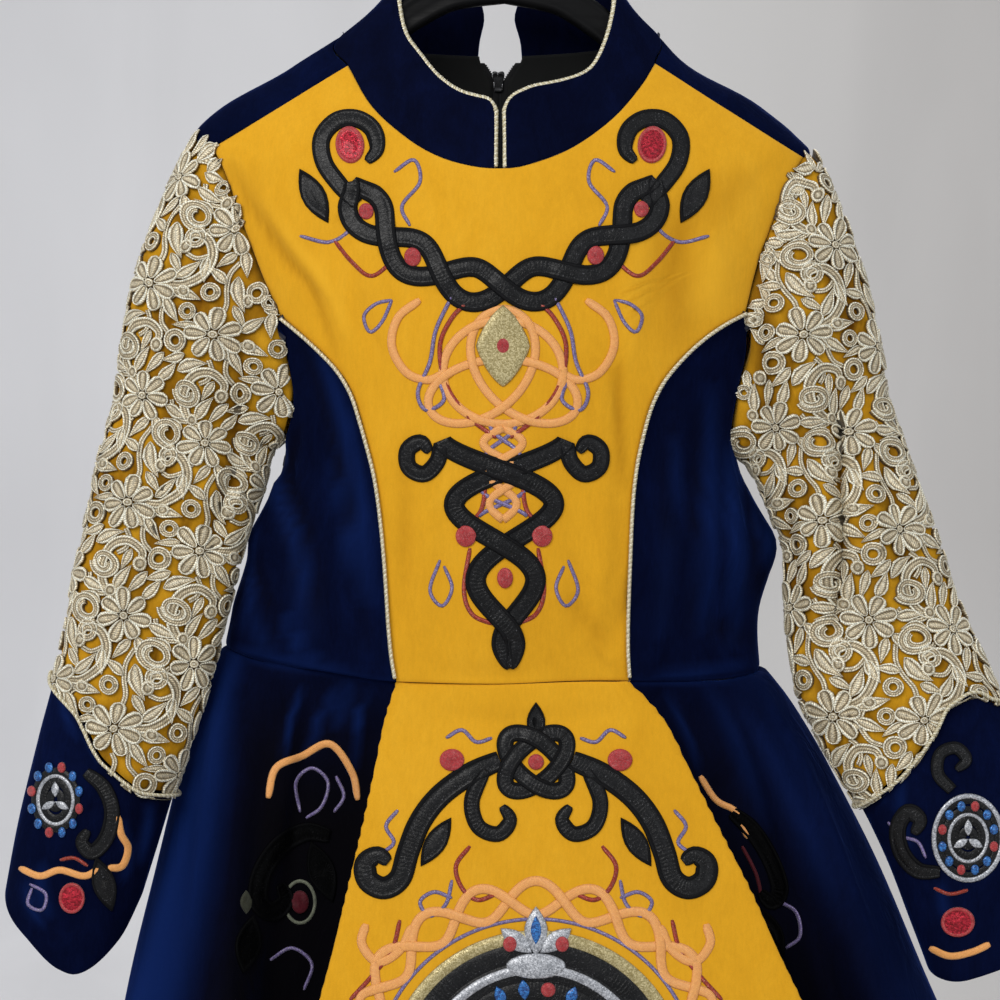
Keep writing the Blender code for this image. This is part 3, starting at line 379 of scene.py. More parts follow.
def seam_tip(side):
    """Shoulder tip to the yoke's corner along the armhole's top."""
    n = CUT["over"]
    a = np.array([side * 90.0, TIP_DROP[side]])
    b = front_at(*YOKE_TIP[side])
    return [a + (b - a) * np.array([i / n, (i / n) ** 1.3]) for i in range(n + 1)]


def front_grid():
    """The yellow front, rows by columns of (angle, drop)."""
    left = seam_arm(-1) + seam_princess(-1)[1:]
    right = seam_arm(1) + seam_princess(1)[1:]
    top = seam_yoke(-1)[::-1] + seam_neck_front()[1:] + seam_yoke(1)[1:]
    rows, cols = len(left), len(top)
    span = right[0][0] - left[0][0]
    u = [(p[0] - left[0][0]) / span for p in top]
    grid = {}
    for i in range(rows):
        fade = (1.0 - i / (rows - 1)) ** 2
        for j in range(cols):
            base = left[i] * (1 - u[j]) + right[i] * u[j]
            chord = left[0] * (1 - u[j]) + right[0] * u[j]
            p = base + (top[j] - chord) * fade
            if i == rows - 1:
                p = waist_at(p[0])
            grid[i, j] = p
    return grid, rows, cols


def side_front_grid(side, cols=5):
    inner = seam_princess(side)
    low = seam_low(side)
    n, m = CUT["princess"], CUT["low"]
    outer = list(low)
    end = side * 90.0
    for i in range(1, n - m + 1):
        t = i / (n - m)
        outer.append(np.array([end, low[-1][1] + (WAIST.at(end)[0] - low[-1][1]) * t]))
    grid = {}
    for i in range(n + 1):
        a, b = inner[i], outer[i]
        if i == 0:
            a = inner[0] + (inner[1] - inner[0]) * 0.22
            b = low[0] + (low[1] - low[0]) * 0.22
        for j in range(cols + 1):
            p = a + (b - a) * crowd(j / cols, 1.5)
            if i == n:
                p = waist_at(p[0])
            grid[i, j] = p
    return grid, n + 1, cols + 1


def back_grid(side):
    """A back piece: over the shoulder to the yoke, then down beside the zip."""
    over, across, down = CUT["over"], CUT["across"], CUT["shoulder"]
    neck = seam_neck_back(side)[::-1]                 # zip .. ridge .. yoke corner
    yoke, tip = seam_yoke(side), seam_tip(side)
    arm = seam_armback(side)
    tip_drop = TIP_DROP[side]
    edge = [back_edge(side, NECK_BACK[-1][1] + (tip_drop + 2 - NECK_BACK[-1][1]) * i / down)
            for i in range(down + 1)]
    low = []
    for j in range(across + 1):
        t = crowd(j / across)
        low.append(edge[-1] * (1 - t) + tip[0] * t)
    low += tip[1:]
    grid = {}
    for i in range(down + 1):
        t = i / down
        for j in range(across + over + 1):
            p = neck[j] * (1 - t) + low[j] * t
            if j <= across:
                w = 1.0 - crowd(j / across)
                p = p + (edge[i] - (neck[0] * (1 - t) + low[0] * t)) * w
            else:
                w = (j - across) / over
                p = p + (yoke[i] - (neck[-1] * (1 - t) + low[-1] * t)) * w
            grid[i, j] = p
    outer = list(arm)
    n = CUT["princess"] - CUT["low"]
    end = side * 90.0
    for i in range(1, n + 1):
        outer.append(np.array([end, arm[-1][1] + (WAIST.at(end)[0] - arm[-1][1]) * i / n]))
    rows = len(outer)
    for i in range(1, rows):
        d0 = tip_drop + 2 + (WAIST.at(180.0)[0] - tip_drop - 2) * i / (rows - 1)
        a = back_edge(side, d0)
        for j in range(across + 1):
            t = crowd(j / across)
            p = a * (1 - t) + outer[i] * t
            if i == rows - 1:
                p = waist_at(p[0])
            grid[down + i, j] = p
    return grid, down + rows, across + over + 1


def arm_loop(side):
    """The armhole as (angle, drop): tip, front, underarm, back."""
    return (seam_tip(side)[:-1] + seam_arm(side)[:-1] + seam_low(side)[:-1]
            + seam_armback(side)[::-1][:-1])


def sleeve_turns(side):
    """The turn round the sleeve that each point of the armhole runs down to."""
    n1, n2, n3, n4 = CUT["over"], CUT["arm"], CUT["low"], CUT["armback"]
    out = [26.0 * i / n1 for i in range(n1)]
    out += [26.0 + 79.0 * i / n2 for i in range(n2)]
    out += [105.0 + 75.0 * i / n3 for i in range(n3)]
    out += [180.0 + 180.0 * i / n4 for i in range(n4)]
    return out


def sleeve_at(side, turn, s, shrink=2.1):
    """A point of the sleeve cloth: shrink keeps it inside the lace."""
    ox, od, ix, idr, mid, half = SLEEVE[side].at(s)
    a, b = np.array([ox, od]), np.array([ix, idr])
    c, h = (a + b) / 2, (a - b) / 2
    k = 1.0 - shrink / np.linalg.norm(h)
    t = math.radians(turn)
    e = c + h * (k * math.cos(t))
    y = mid - (half - shrink) * math.sin(t)
    x, d = sight(e[0], e[1], mid)
    return np.array([x, y, -d])


LACE_START = 4.5   # the lace begins this far from the armhole seam


def sleeve_grid(side, cap=3, tube=5):
    """Rings from the armhole down to the cuff's seam."""
    loop = [body(*p) for p in arm_loop(side)]
    turns = sleeve_turns(side)
    n = len(loop)
    mid = np.mean([sleeve_at(side, t, 0.0) for t in turns], axis=0)
    grid = {}
    for j in range(n):
        a, b = loop[j], sleeve_at(side, turns[j], 0.0)
        reach = np.linalg.norm(b - a)
        axis = unit(sleeve_at(side, turns[j], 1.0) - b)
        away = b - mid
        away = unit(away - axis * np.dot(away, axis))
        edge = min(LACE_START / reach, 0.5)
        for i in range(cap + 2):
            t = edge + (1 - edge) * (i - 1) / cap if i else 0.0
            puff = 0.055 * reach * math.sin(math.pi * t)
            grid[i, j] = a * (1 - t) + b * t + away * puff
    top = CUFF_TOP[side]
    for j in range(n):
        end = top.at(turns[j])[0]
        for i in range(1, tube + 1):
            grid[cap + 1 + i, j] = sleeve_at(side, turns[j], end * i / tube)
    return grid, cap + tube + 2, n


def cuff_grid(side, rows=5, out=0.6):
    turns = sleeve_turns(side)
    grid = {}
    for j, t in enumerate(turns):
        a, b = CUFF_TOP[side].at(t)[0], CUFF_HEM[side].at(t)[0]
        for i in range(rows + 1):
            grid[i, j] = sleeve_at(side, t, a + (b - a) * i / rows, 2.1 - out)
    return grid, rows + 1, len(turns)


def collar_lines(side):
    """Base and top points of half the collar, centre front to centre back."""
    front = seam_neck_front()
    half = len(front) // 2
    base = front[:half + 1][::-1] if side < 0 else front[half:]
    base = list(base) + seam_neck_back(side)[1:]
    base[0] = front_at(*COLLAR_END[side])
    pts = [body(*p) for p in base]
    tops = []
    for k, p in enumerate(pts):
        ang = math.degrees(math.atan2(abs(p[0] + 2.0), -p[1] * 1.95))
        if k == 0:
            ang = 0.0
        if k == len(pts) - 1:
            ang = 180.0
        x, y, d = COLLAR[side].at(ang)
        if k == 0:
            x = sight(x, 0, -38.0)[0]
        tops.append(np.array([x, y, -d]))
    return pts, tops


def collar_grid(side, rows=3):
    pts, tops = collar_lines(side)
    grid = {}
    for j, (a, b) in enumerate(zip(pts, tops)):
        out = unit(np.array([a[0] + 2.0, a[1], 0.0]))
        for i in range(rows + 1):
            t = i / rows
            rise = unit(b - a) * (1.5 * (1 - t))
            grid[rows - i, j] = a * (1 - t) + b * t + rise - out * (2.2 * math.sin(math.pi * t))
    return grid, rows + 1, len(pts)


def panel_at(u, fall):
    """Skirt front panel, u from 0 at its left edge to 1."""
    left, right, depth, crown = PANEL.at(fall)
    x = left + (right - left) * u
    y = depth + crown * (2 * u - 1) ** 2
    x0 = PANEL.at(0)[0] + (PANEL.at(0)[1] - PANEL.at(0)[0]) * u
    c, w = BODY.at(WAIST_DROP)[:2]
    top = WAIST.at(math.degrees(math.asin((x0 - c) / w)))[0]
    return np.array([x, y, -(top + fall * (HEM_DROP - top) / (HEM_DROP - WAIST_DROP))])


def spline(points, u):
    """Through points at u = 0, 1, 2 ... smoothly."""
    n = len(points)
    i = min(int(u), n - 2)
    s = u - i
    p1, p2 = points[i], points[i + 1]
    p0 = points[i - 1] if i > 0 else 2 * p1 - p2
    p3 = points[i + 2] if i + 2 < n else 2 * p2 - p1
    return 0.5 * (2 * p1 + (p2 - p0) * s + (2 * p0 - 5 * p1 + 4 * p2 - p3) * s * s
                  + (3 * p1 - p0 - 3 * p2 + p3) * s ** 3)


def skirt_at(side, u, fall):
    """Skirt side, u from 0 at the front panel's edge to 6 at centre back."""
    vx, vy, mx, my, rx, ry, sx, sy, bx, by, cy = SKIRT[side].at(fall)
    left, right, depth, crown = PANEL.at(fall)
    ex = (left if side < 0 else right) - side * 3.0
    ey = depth + crown + 2.9
    gap = BACK_GAP.at(WAIST_DROP + fall)[0]
    pts = [np.array(p, dtype=float) for p in (
        (ex, ey), (vx, vy), (mx, my), (rx, ry), (sx, sy), (bx, by), (CENTRE_BACK + side * gap, cy))]
    p = spline(pts, u)
    c, w, f, b = BODY.at(WAIST_DROP)
    q = p
    if fall < 60:
        vx, vy, mx, my, rx, ry, sx, sy, bx, by, cy = SKIRT[side].at(0)
        q = spline([np.array(t, dtype=float) for t in (
            (ex, ey), (vx, vy), (mx, my), (rx, ry), (sx, sy), (bx, by), (CENTRE_BACK + side * gap, cy))], u)
    ang = math.degrees(math.atan2((q[0] - c) / w, -q[1] / (f if q[1] < 0 else b)))
    top = WAIST.at(ang)[0]
    return np.array([p[0], p[1], -(top + fall * (HEM_DROP - top) / (HEM_DROP - WAIST_DROP))])


# ------------------------------------------------------------------ tools

def array_of(grid, rows, cols, fn=None):
    """A grid dictionary as an array (rows, cols, 3) of points in mm."""
    out = np.zeros((rows, cols, 3))
    for (i, j), p in grid.items():
        out[i, j] = fn(*p) if fn else p
    return out


def resample(a, pos, axis=0, wrap=False):
    """Catmull-Rom through an array along one axis, read at fractional rows."""
    a = np.moveaxis(a, axis, 0)
    n = len(a)
    pos = np.asarray(pos, float)
    i = np.floor(pos).astype(int)
    if not wrap:
        i = np.clip(i, 0, n - 2)
    t = (pos - i).reshape((-1,) + (1,) * (a.ndim - 1))
    if wrap:
        p0, p1, p2, p3 = a[(i - 1) % n], a[i % n], a[(i + 1) % n], a[(i + 2) % n]
    else:
        p1, p2 = a[i], a[i + 1]
        p0 = np.where((i > 0).reshape(t.shape), a[np.maximum(i - 1, 0)], 2 * p1 - p2)
        p3 = np.where((i < n - 2).reshape(t.shape), a[np.minimum(i + 2, n - 1)], 2 * p2 - p1)
    out = 0.5 * (2 * p1 + (p2 - p0) * t + (2 * p0 - 5 * p1 + 4 * p2 - p3) * t * t
                 + (3 * p1 - p0 - 3 * p2 + p3) * t ** 3)
    return np.moveaxis(out, 0, axis)


RIM = (0.0, 0.12, 0.30, 0.55, 1.0)     # extra rows inside each border cell


def edge_rows(n, start=True, end=True):
    """Row numbers of an array of n rows, with extra ones at its borders."""
    mid = [float(k) for k in range(1, n - 1)]
    head = [x for x in RIM] if start else [0.0, 1.0]
    tail = [n - 1 - x for x in RIM[::-1]] if end else [n - 2.0, n - 1.0]
    return np.array(sorted(set(head + mid + tail)))


def normals_of(a, wrap=False):
    """Vertex normals of a grid."""
    du = np.gradient(a, axis=0)
    if wrap:
        dv = (np.roll(a, -1, axis=1) - np.roll(a, 1, axis=1)) / 2
    else:
        dv = np.gradient(a, axis=1)
    n = np.cross(dv, du)
    return n / np.maximum(np.linalg.norm(n, axis=2, keepdims=True), 1e-9)


def outward(a, wrap=False, centre=None):
    """Normals turned to point away from centre(points)."""
    n = normals_of(a, wrap)
    c = centre(a) if centre else np.stack([np.zeros(a.shape[:2]), np.zeros(a.shape[:2]), a[..., 2]], -1)
    flip = np.sum(n * (a - c)) < 0
    return -n if flip else n


def border_points(mask):
    """Vertex numbers on the border of a grid whose kept cells are mask."""
    rows, cols = mask.shape[0] + 1, mask.shape[1] + 1
    count = np.zeros((rows, cols), int)
    for di in (0, 1):
        for dj in (0, 1):
            count[di:rows - 1 + di, dj:cols - 1 + dj] += mask
    return (count > 0) & (count < 4)


def border_distance(a, wrap=False, sides=(True, True, True, True), mask=None):
    """About how far each point is from the border of its grid, in mm.
    sides: first row, last row, first column, last column."""
    rows, cols = a.shape[:2]
    if mask is not None:
        edge = a[border_points(mask)]
        flat = a.reshape(-1, 3)
        out = np.empty(len(flat))
        for k in range(0, len(flat), 2000):
            out[k:k + 2000] = np.sqrt(((flat[k:k + 2000, None] - edge[None]) ** 2).sum(-1)).min(1)
        return out.reshape(rows, cols)
    big = np.full((rows, cols), 1e3)
    step = np.linalg.norm(np.diff(a, axis=0), axis=2)
    down = np.vstack([np.zeros((1, cols)), np.cumsum(step, axis=0)])
    if sides[0]:
        big = np.minimum(big, down)
    if sides[1]:
        big = np.minimum(big, down[-1:] - down)
    if not wrap:
        step = np.linalg.norm(np.diff(a, axis=1), axis=2)
        along = np.hstack([np.zeros((rows, 1)), np.cumsum(step, axis=1)])
        if sides[2]:
            big = np.minimum(big, along)
        if sides[3]:
            big = np.minimum(big, along[:, -1:] - along)
    return big


def masked_normals(a, mask):
    """Vertex normals of the kept cells of a grid."""
    f = np.cross(a[1:, 1:] - a[:-1, :-1], a[1:, :-1] - a[:-1, 1:]) * mask[..., None]
    n = np.zeros_like(a)
    rows, cols = a.shape[:2]
    for di in (0, 1):
        for dj in (0, 1):
            n[di:rows - 1 + di, dj:cols - 1 + dj] += f
    return n / np.maximum(np.linalg.norm(n, axis=2, keepdims=True), 1e-9)


def rolled(a, n, depth=1.3, reach=4.5, wrap=False, sides=(True, True, True, True), mask=None):
    """The edge of each piece turns down into its seam."""
    d = border_distance(a, wrap, sides, mask)
    t = np.clip(1.0 - d / reach, 0.0, 1.0)
    return a - n * (depth * t ** 2.2)[..., None]


def frame_xy(p):
    """Points in mm to the view's own pixels."""
    p = np.asarray(p, float)
    k = 1.0 + p[..., 1] / EYE
    across = EYE_X + (p[..., 0] - EYE_X) / k
    drop = EYE_DROP + (-p[..., 2] - EYE_DROP) / k
    return across / 0.6 + 505.0, (drop - 85.0) / 0.6


def polyline_near(px, py, line):
    """Distance to a polyline and the place along it, 0 to 1."""
    line = np.asarray(line, float)
    seg = np.diff(line, axis=0)
    length = np.linalg.norm(seg, axis=1)
    total = length.sum()
    best = np.full(px.shape, 1e9)
    where = np.zeros(px.shape)
    side = np.zeros(px.shape)
    run = 0.0
    for k in range(len(seg)):
        dx, dy = px - line[k, 0], py - line[k, 1]
        t = np.clip((dx * seg[k, 0] + dy * seg[k, 1]) / max(length[k] ** 2, 1e-9), 0, 1)
        ex, ey = dx - t * seg[k, 0], dy - t * seg[k, 1]
        d = np.hypot(ex, ey)
        near = d < best
        best = np.where(near, d, best)
        where = np.where(near, (run + t * length[k]) / total, where)
        side = np.where(near, np.sign(seg[k, 0] * dy - seg[k, 1] * dx), side)
        run += length[k]
    return best, where, side


def smooth_line(points, step=8):
    return Path(points, step).p


def creased(a, n, creases, facing=-1):
    """Moves a grid along its normals by soft troughs and ridges.  A crease is
    (height mm, half width px, points, lean): lean puts one flank steeper."""
    px, py = frame_xy(a)
    lift = np.zeros(a.shape[:2])
    face = np.clip(n[..., 1] * facing * 2.0 + 0.4, 0.0, 1.0)
    for height, half, line, lean in creases:
        line = smooth_line(line)
        d, where, side = polyline_near(px, py, line)
        w = half * (1.0 + lean * side * 0.5)
        fade = np.sin(math.pi * np.clip(where, 0.0, 1.0)) ** 0.7
        end = np.where((where <= 0.0) | (where >= 1.0), 0.0, fade)
        end = np.maximum(end, 0.0)
        lift += height * end * np.exp(-(d / w) ** 2 * 1.4)
    return a + n * (lift * face)[..., None]


def sway(a, n, amount=0.6, scale=60.0, seed=3, wrap=False):
    """Cloth is never quite even: a few long low waves."""
    r = np.random.default_rng(seed)
    x, y, z = a[..., 0], a[..., 1], a[..., 2]
    lift = np.zeros(a.shape[:2])
    for k in range(7):
        s = scale * (0.5 + r.random())
        f = r.normal(size=3)
        f = f / np.linalg.norm(f) * (2 * math.pi / s)
        f[2] *= 0.55
        lift += math.sin(k + 1.0) * np.sin(f[0] * x + f[1] * y + f[2] * z + r.random() * 6.28)
    return a + n * (amount * lift / 2.6)[..., None]


def new_object(name, mesh, mat=None, body_name="dress"):
    ob = bpy.data.objects.new(name, mesh)
    scene.collection.objects.link(ob)
    if mat is not None:
        mesh.materials.append(mat)
    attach(ob, body_name)
    return ob


def mesh_from(name, verts, faces, uv=None, smooth=True, slots=None):
    """verts in mm; uv one pair for each vertex, in mm."""
    mesh = bpy.data.meshes.new(name)
    v = np.asarray(verts, float).reshape(-1, 3) * 0.001
    mesh.from_pydata(v.tolist(), [], faces if isinstance(faces, list) else faces.tolist())
    if uv is not None:
        layer = mesh.uv_layers.new(name="cloth")
        loops = np.zeros(len(mesh.loops), int)
        mesh.loops.foreach_get("vertex_index", loops)
        layer.data.foreach_set("uv", (np.asarray(uv, float)[loops] * 0.001).ravel())
    if smooth:
        mesh.polygons.foreach_set("use_smooth", np.ones(len(mesh.polygons), bool))
    if slots is not None:
        mesh.polygons.foreach_set("material_index", np.asarray(slots, int))
    mesh.update()
    return mesh


def grid_faces(rows, cols, wrap=False, start=0, flip=False):
    i, j = np.meshgrid(np.arange(rows - 1), np.arange(cols if wrap else cols - 1), indexing="ij")
    k = (j + 1) % cols
    f = np.stack([i * cols + j, i * cols + k, (i + 1) * cols + k, (i + 1) * cols + j], -1).reshape(-1, 4) + start
    return f[:, ::-1] if flip else f


def shell(name, a, n, wall, mat, wrap=False, mat_in=None, mask=None):
    """A sheet with thickness: a is its outer face, n its outward normals."""
    rows, cols = a.shape[:2]
    inner = a - n * wall
    verts = np.vstack([a.reshape(-1, 3), inner.reshape(-1, 3)])
    m = rows // 2, cols // 4
    q = np.cross(a[m[0], (m[1] + 1) % cols] - a[m], a[m[0] + 1, m[1]] - a[m])
    flip = float(np.dot(q, n[m])) < 0
    count = rows * cols
    f1 = grid_faces(rows, cols, wrap, 0, flip)
    if mask is not None:
        f1 = f1[mask.ravel()]
    f2 = f1[:, ::-1] + count
    edges = np.vstack([f1[:, [k, (k + 1) % 4]] for k in range(4)]).astype(np.int64)
    key, back = edges[:, 0] * count + edges[:, 1], edges[:, 1] * count + edges[:, 0]
    e = edges[~np.isin(key, back)]
    f3 = np.stack([e[:, 1], e[:, 0], e[:, 0] + count, e[:, 1] + count], -1)
    faces = np.vstack([f1, f2, f3])
    down = np.vstack([np.zeros((1, cols)), np.cumsum(np.linalg.norm(np.diff(a, axis=0), axis=2), axis=0)])
    along = np.hstack([np.zeros((rows, 1)), np.cumsum(np.linalg.norm(np.diff(a, axis=1), axis=2), axis=1)])
    along = along - along[:, cols // 2:cols // 2 + 1]
    uv = np.vstack([np.stack([along, -down], -1).reshape(-1, 2)] * 2)
    if mask is not None:
        used, inv = np.unique(faces.ravel(), return_inverse=True)
        verts, uv, faces = verts[used], uv[used], inv.reshape(faces.shape)
    slots = None
    if mat_in is not None:
        slots = np.concatenate([np.zeros(len(f1)), np.ones(len(f2)), np.zeros(len(f3))])
    mesh = mesh_from(name, verts, faces, uv, slots=slots)
    ob = new_object(name, mesh, mat)
    if mat_in is not None:
        mesh.materials.append(mat_in)
    return ob


def shade_skin(ob, values, kind="shade", mask=None):
    """How much painted shade ("shade") or painted highlight ("lit") each point of a shell carries, 0 to 1."""
    v = np.clip(np.asarray(values, float), 0.0, 1.0).ravel()
    mesh = ob.data
    if mask is not None:
        rows, cols = mask.shape[0] + 1, mask.shape[1] + 1
        used = np.unique(grid_faces(rows, cols)[mask.ravel()])
        v = v[used]
    if len(mesh.vertices) != 2 * len(v):
        print("SHADE size", ob.name, len(mesh.vertices), len(v))
        return
    layer = mesh.attributes.new(kind, "FLOAT", "POINT")
    layer.data.foreach_set("value", np.concatenate([v, v]))


def painted_light_lines(a, n, lines, facing=-1):
    """Painted shade or painted highlight along lines: (amount, half width px, line)."""
    px, py = frame_xy(a)
    out = np.zeros(a.shape[:2])
    face = np.clip(n[..., 1] * facing * 2.0 + 0.4, 0.0, 1.0)
    for amount, half, line in lines:
        d, where, _side = polyline_near(px, py, smooth_line(line))
        fade = np.sin(math.pi * np.clip(where, 0.02, 0.98)) ** 0.5
        fade = np.where((where <= 0.0) | (where >= 1.0), 0.0, fade)
        out = np.maximum(out, amount * fade * np.exp(-(d / half) ** 2))
    return out * face


def area_of(a, wrap=False):
    """Flat area of a grid in square metres."""
    b = np.concatenate([a, a[:, :1]], axis=1) if wrap else a
    d1, d2 = b[1:, 1:] - b[:-1, :-1], b[1:, :-1] - b[:-1, 1:]
    return float(np.linalg.norm(np.cross(d1, d2), axis=2).sum() / 2) * 1e-6


class Skin:
    """A finished outer face: where a sight line meets it, and how it lies."""

    def __init__(self, grids):
        """grids: (points, normals, wrap, mask) of each sheet."""
        verts, norms, tris, flat = [], [], [], []
        base = 0
        for a, n, wrap, mask in grids:
            rows, cols = a.shape[:2]
            f = grid_faces(rows, cols, wrap, base)
            if mask is not None:
                f = f[mask.ravel()]
            verts.append(a.reshape(-1, 3))
            norms.append(n.reshape(-1, 3))
            tris += np.vstack([f[:, [0, 1, 2]], f[:, [0, 2, 3]]]).tolist()
            base += rows * cols
        self.v = np.vstack(verts)
        self.n = np.vstack(norms)
        self.t = np.array(tris)
        self.tree = BVHTree.FromPolygons(self.v.tolist(), tris)
        self.eye = Vector((EYE_X, -EYE, -EYE_DROP))

    def _read(self, loc, index):
        a, b, c = self.t[index]
        va, vb, vc = self.v[a], self.v[b], self.v[c]
        p = np.array(loc)
        e0, e1, e2 = vb - va, vc - va, p - va
        d00, d01, d11 = e0 @ e0, e0 @ e1, e1 @ e1
        d20, d21 = e2 @ e0, e2 @ e1
        den = max(d00 * d11 - d01 * d01, 1e-12)
        w1, w2 = (d11 * d20 - d01 * d21) / den, (d00 * d21 - d01 * d20) / den
        n = self.n[a] * (1 - w1 - w2) + self.n[b] * w1 + self.n[c] * w2
        return p, n / max(np.linalg.norm(n), 1e-9)

    def near(self, point):
        """The skin's nearest point to a point in space, and its normal."""
        loc, _n, index, _d = self.tree.find_nearest(Vector(point))
        return self._read(loc, index)

    def at(self, px, py):
        """The point of the skin seen at a pixel, and its normal."""
        aim = Vector(((px - 505.0) * 0.6 - EYE_X, EYE, -(85.0 + 0.6 * py) + EYE_DROP)).normalized()
        loc, _n, index, _d = self.tree.ray_cast(self.eye, aim)
        if loc is None:
            return None
        return self._read(loc, index)

    def near(self, p):
        loc, _n, index, _d = self.tree.find_nearest(Vector(p))
        return self._read(loc, index)


# ------------------------------------------------------------------ materials

class Mat:
    """A short way to write a node tree."""

    def __init__(self, name, rough=0.5, metal=0.0, **fixed):
        self.m = bpy.data.materials.new(name)
        self.m.use_nodes = True
        self.t = self.m.node_tree
        self.s = self.t.nodes["Principled BSDF"]
        self.s.inputs["Roughness"].default_value = rough
        self.s.inputs["Metallic"].default_value = metal
        for k, v in fixed.items():
            key = k.replace("_", " ").title().replace("Ior", "IOR")
            self.s.inputs[key].default_value = v
        self.co = self.t.nodes.new("ShaderNodeTexCoord")

    def node(self, kind, *links, out=0, **props):
        n = self.t.nodes.new("ShaderNode" + kind)
        for k, v in props.items():
            if k.startswith("i_"):
                key = k[2:]
                n.inputs[int(key) if key.isdigit() else key].default_value = v
            else:
                setattr(n, k, v)
        for k, v in enumerate(links):
            if v is not None:
                self.t.links.new(v, n.inputs[k])
        return n.outputs[out]

    def scaled(self, which, x, y, z):
        return self.node("Mapping", self.co.outputs[which], i_Scale=(x, y, z))

    def noise(self, vec, scale, detail=2.0, rough=0.5, distortion=0.0):
        return self.node("TexNoise", vec, i_Scale=scale, i_Detail=detail, i_Roughness=rough,
                         i_Distortion=distortion)

    def ramp(self, fac, *stops):
        n = self.t.nodes.new("ShaderNodeValToRGB")
        e = n.color_ramp.elements
        while len(e) < len(stops):
            e.new(0.5)
        for q, (pos, rgb) in zip(e, stops):
            q.position = pos
            rgb = rgb if hasattr(rgb, "__len__") else (rgb, rgb, rgb)
            q.color = (*rgb, 1.0)
        self.t.links.new(fac, n.inputs[0])
        return n.outputs[0]

    def mix(self, fac, a, b, blend="MIX"):
        n = self.t.nodes.new("ShaderNodeMix")
        n.data_type = "RGBA"
        n.blend_type = blend
        for sock, v in ((n.inputs[0], fac), (n.inputs[6], a), (n.inputs[7], b)):
            if isinstance(v, bpy.types.NodeSocket):
                self.t.links.new(v, sock)
            elif hasattr(v, "__len__"):
                sock.default_value = (*v, 1.0)
            else:
                sock.default_value = v
        return n.outputs[2]

    def math(self, op, a, b=0.0, c=0.0):
        n = self.t.nodes.new("ShaderNodeMath")
        n.operation = op
        for k, v in enumerate((a, b, c)):
            if isinstance(v, bpy.types.NodeSocket):
                self.t.links.new(v, n.inputs[k])
            else:
                n.inputs[k].default_value = v
        return n.outputs[0]

    def bump(self, height, strength, distance, under=None):
        n = self.t.nodes.new("ShaderNodeBump")
        n.inputs["Strength"].default_value = strength
        n.inputs["Distance"].default_value = distance
        self.t.links.new(height, n.inputs["Height"])
        if under is not None:
            self.t.links.new(under, n.inputs["Normal"])
        return n.outputs[0]

    def end(self, colour, bump=None, rough=None, metal=None):
        self.t.links.new(colour, self.s.inputs["Base Color"])
        if bump is not None:
            self.t.links.new(bump, self.s.inputs["Normal"])
        if rough is not None:
            self.t.links.new(rough, self.s.inputs["Roughness"])
        if metal is not None:
            self.t.links.new(metal, self.s.inputs["Metallic"])
        return self.m


def velvet(name, dark, mid, lit, sheen, tint, sheen_rough, patch=9.0, streaks=0.10, soft=0.0012,
           shadow=None, raised=None):
    """Short pile: soft patches where the nap lies another way, and fine streaks.
    Each sheet may carry painted shade (its "shade" attribute) and painted highlight (its "lit" attribute)."""
    m = Mat(name, rough=0.95, specular_ior_level=0.02, sheen_weight=sheen,
            sheen_roughness=sheen_rough, sheen_tint=(*tint, 1.0))
    big = m.noise(m.scaled("Object", patch, patch, patch * 0.45), 1.0, 3.0, 0.55, 0.4)
    mark = m.noise(m.scaled("Object", 42.0, 42.0, 20.0), 1.0, 3.0, 0.6, 1.2)
    streak = m.noise(m.scaled("Object", 620.0, 620.0, 150.0), 1.0, 2.0, 0.6)
    fine = m.noise(m.scaled("Object", 1.0, 1.0, 1.0), 2600.0, 1.0, 0.5)
    a = m.ramp(m.math("ADD", m.math("MULTIPLY", big, 0.62), m.math("MULTIPLY", mark, 0.38)),
               (0.34, dark), (0.50, mid), (0.66, lit))
    k = m.ramp(streak, (0.25, 1.0 - streaks), (0.75, 1.0 + streaks))
    g = m.ramp(fine, (0.25, 1.0 - streaks * 1.3), (0.75, 1.0 + streaks * 1.3))
    c = m.mix(1.0, m.mix(1.0, a, k, "MULTIPLY"), g, "MULTIPLY")
    # Painted shade: where the "shade" attribute is high the colour goes towards the shadow colour.
    painted_shade = m.t.nodes.new("ShaderNodeAttribute")
    painted_shade.attribute_name = "shade"
    c = m.mix(painted_shade.outputs["Fac"], c, shadow or tuple(x * 0.16 for x in dark))
    # Painted highlight: where the "lit" attribute is high the colour goes towards raised, the painted highlight colour
    # (lit if none is given).
    up = m.t.nodes.new("ShaderNodeAttribute")
    up.attribute_name = "lit"
    c = m.mix(up.outputs["Fac"], c, raised or lit)
    h = m.math("ADD", m.math("MULTIPLY", streak, 0.5), m.math("MULTIPLY", fine, 0.6))
    under = m.bump(mark, 0.55, soft)
    return m.end(c, m.bump(h, 0.30, 0.0003, under), m.ramp(big, (0.3, 0.95), (0.7, 0.82)))


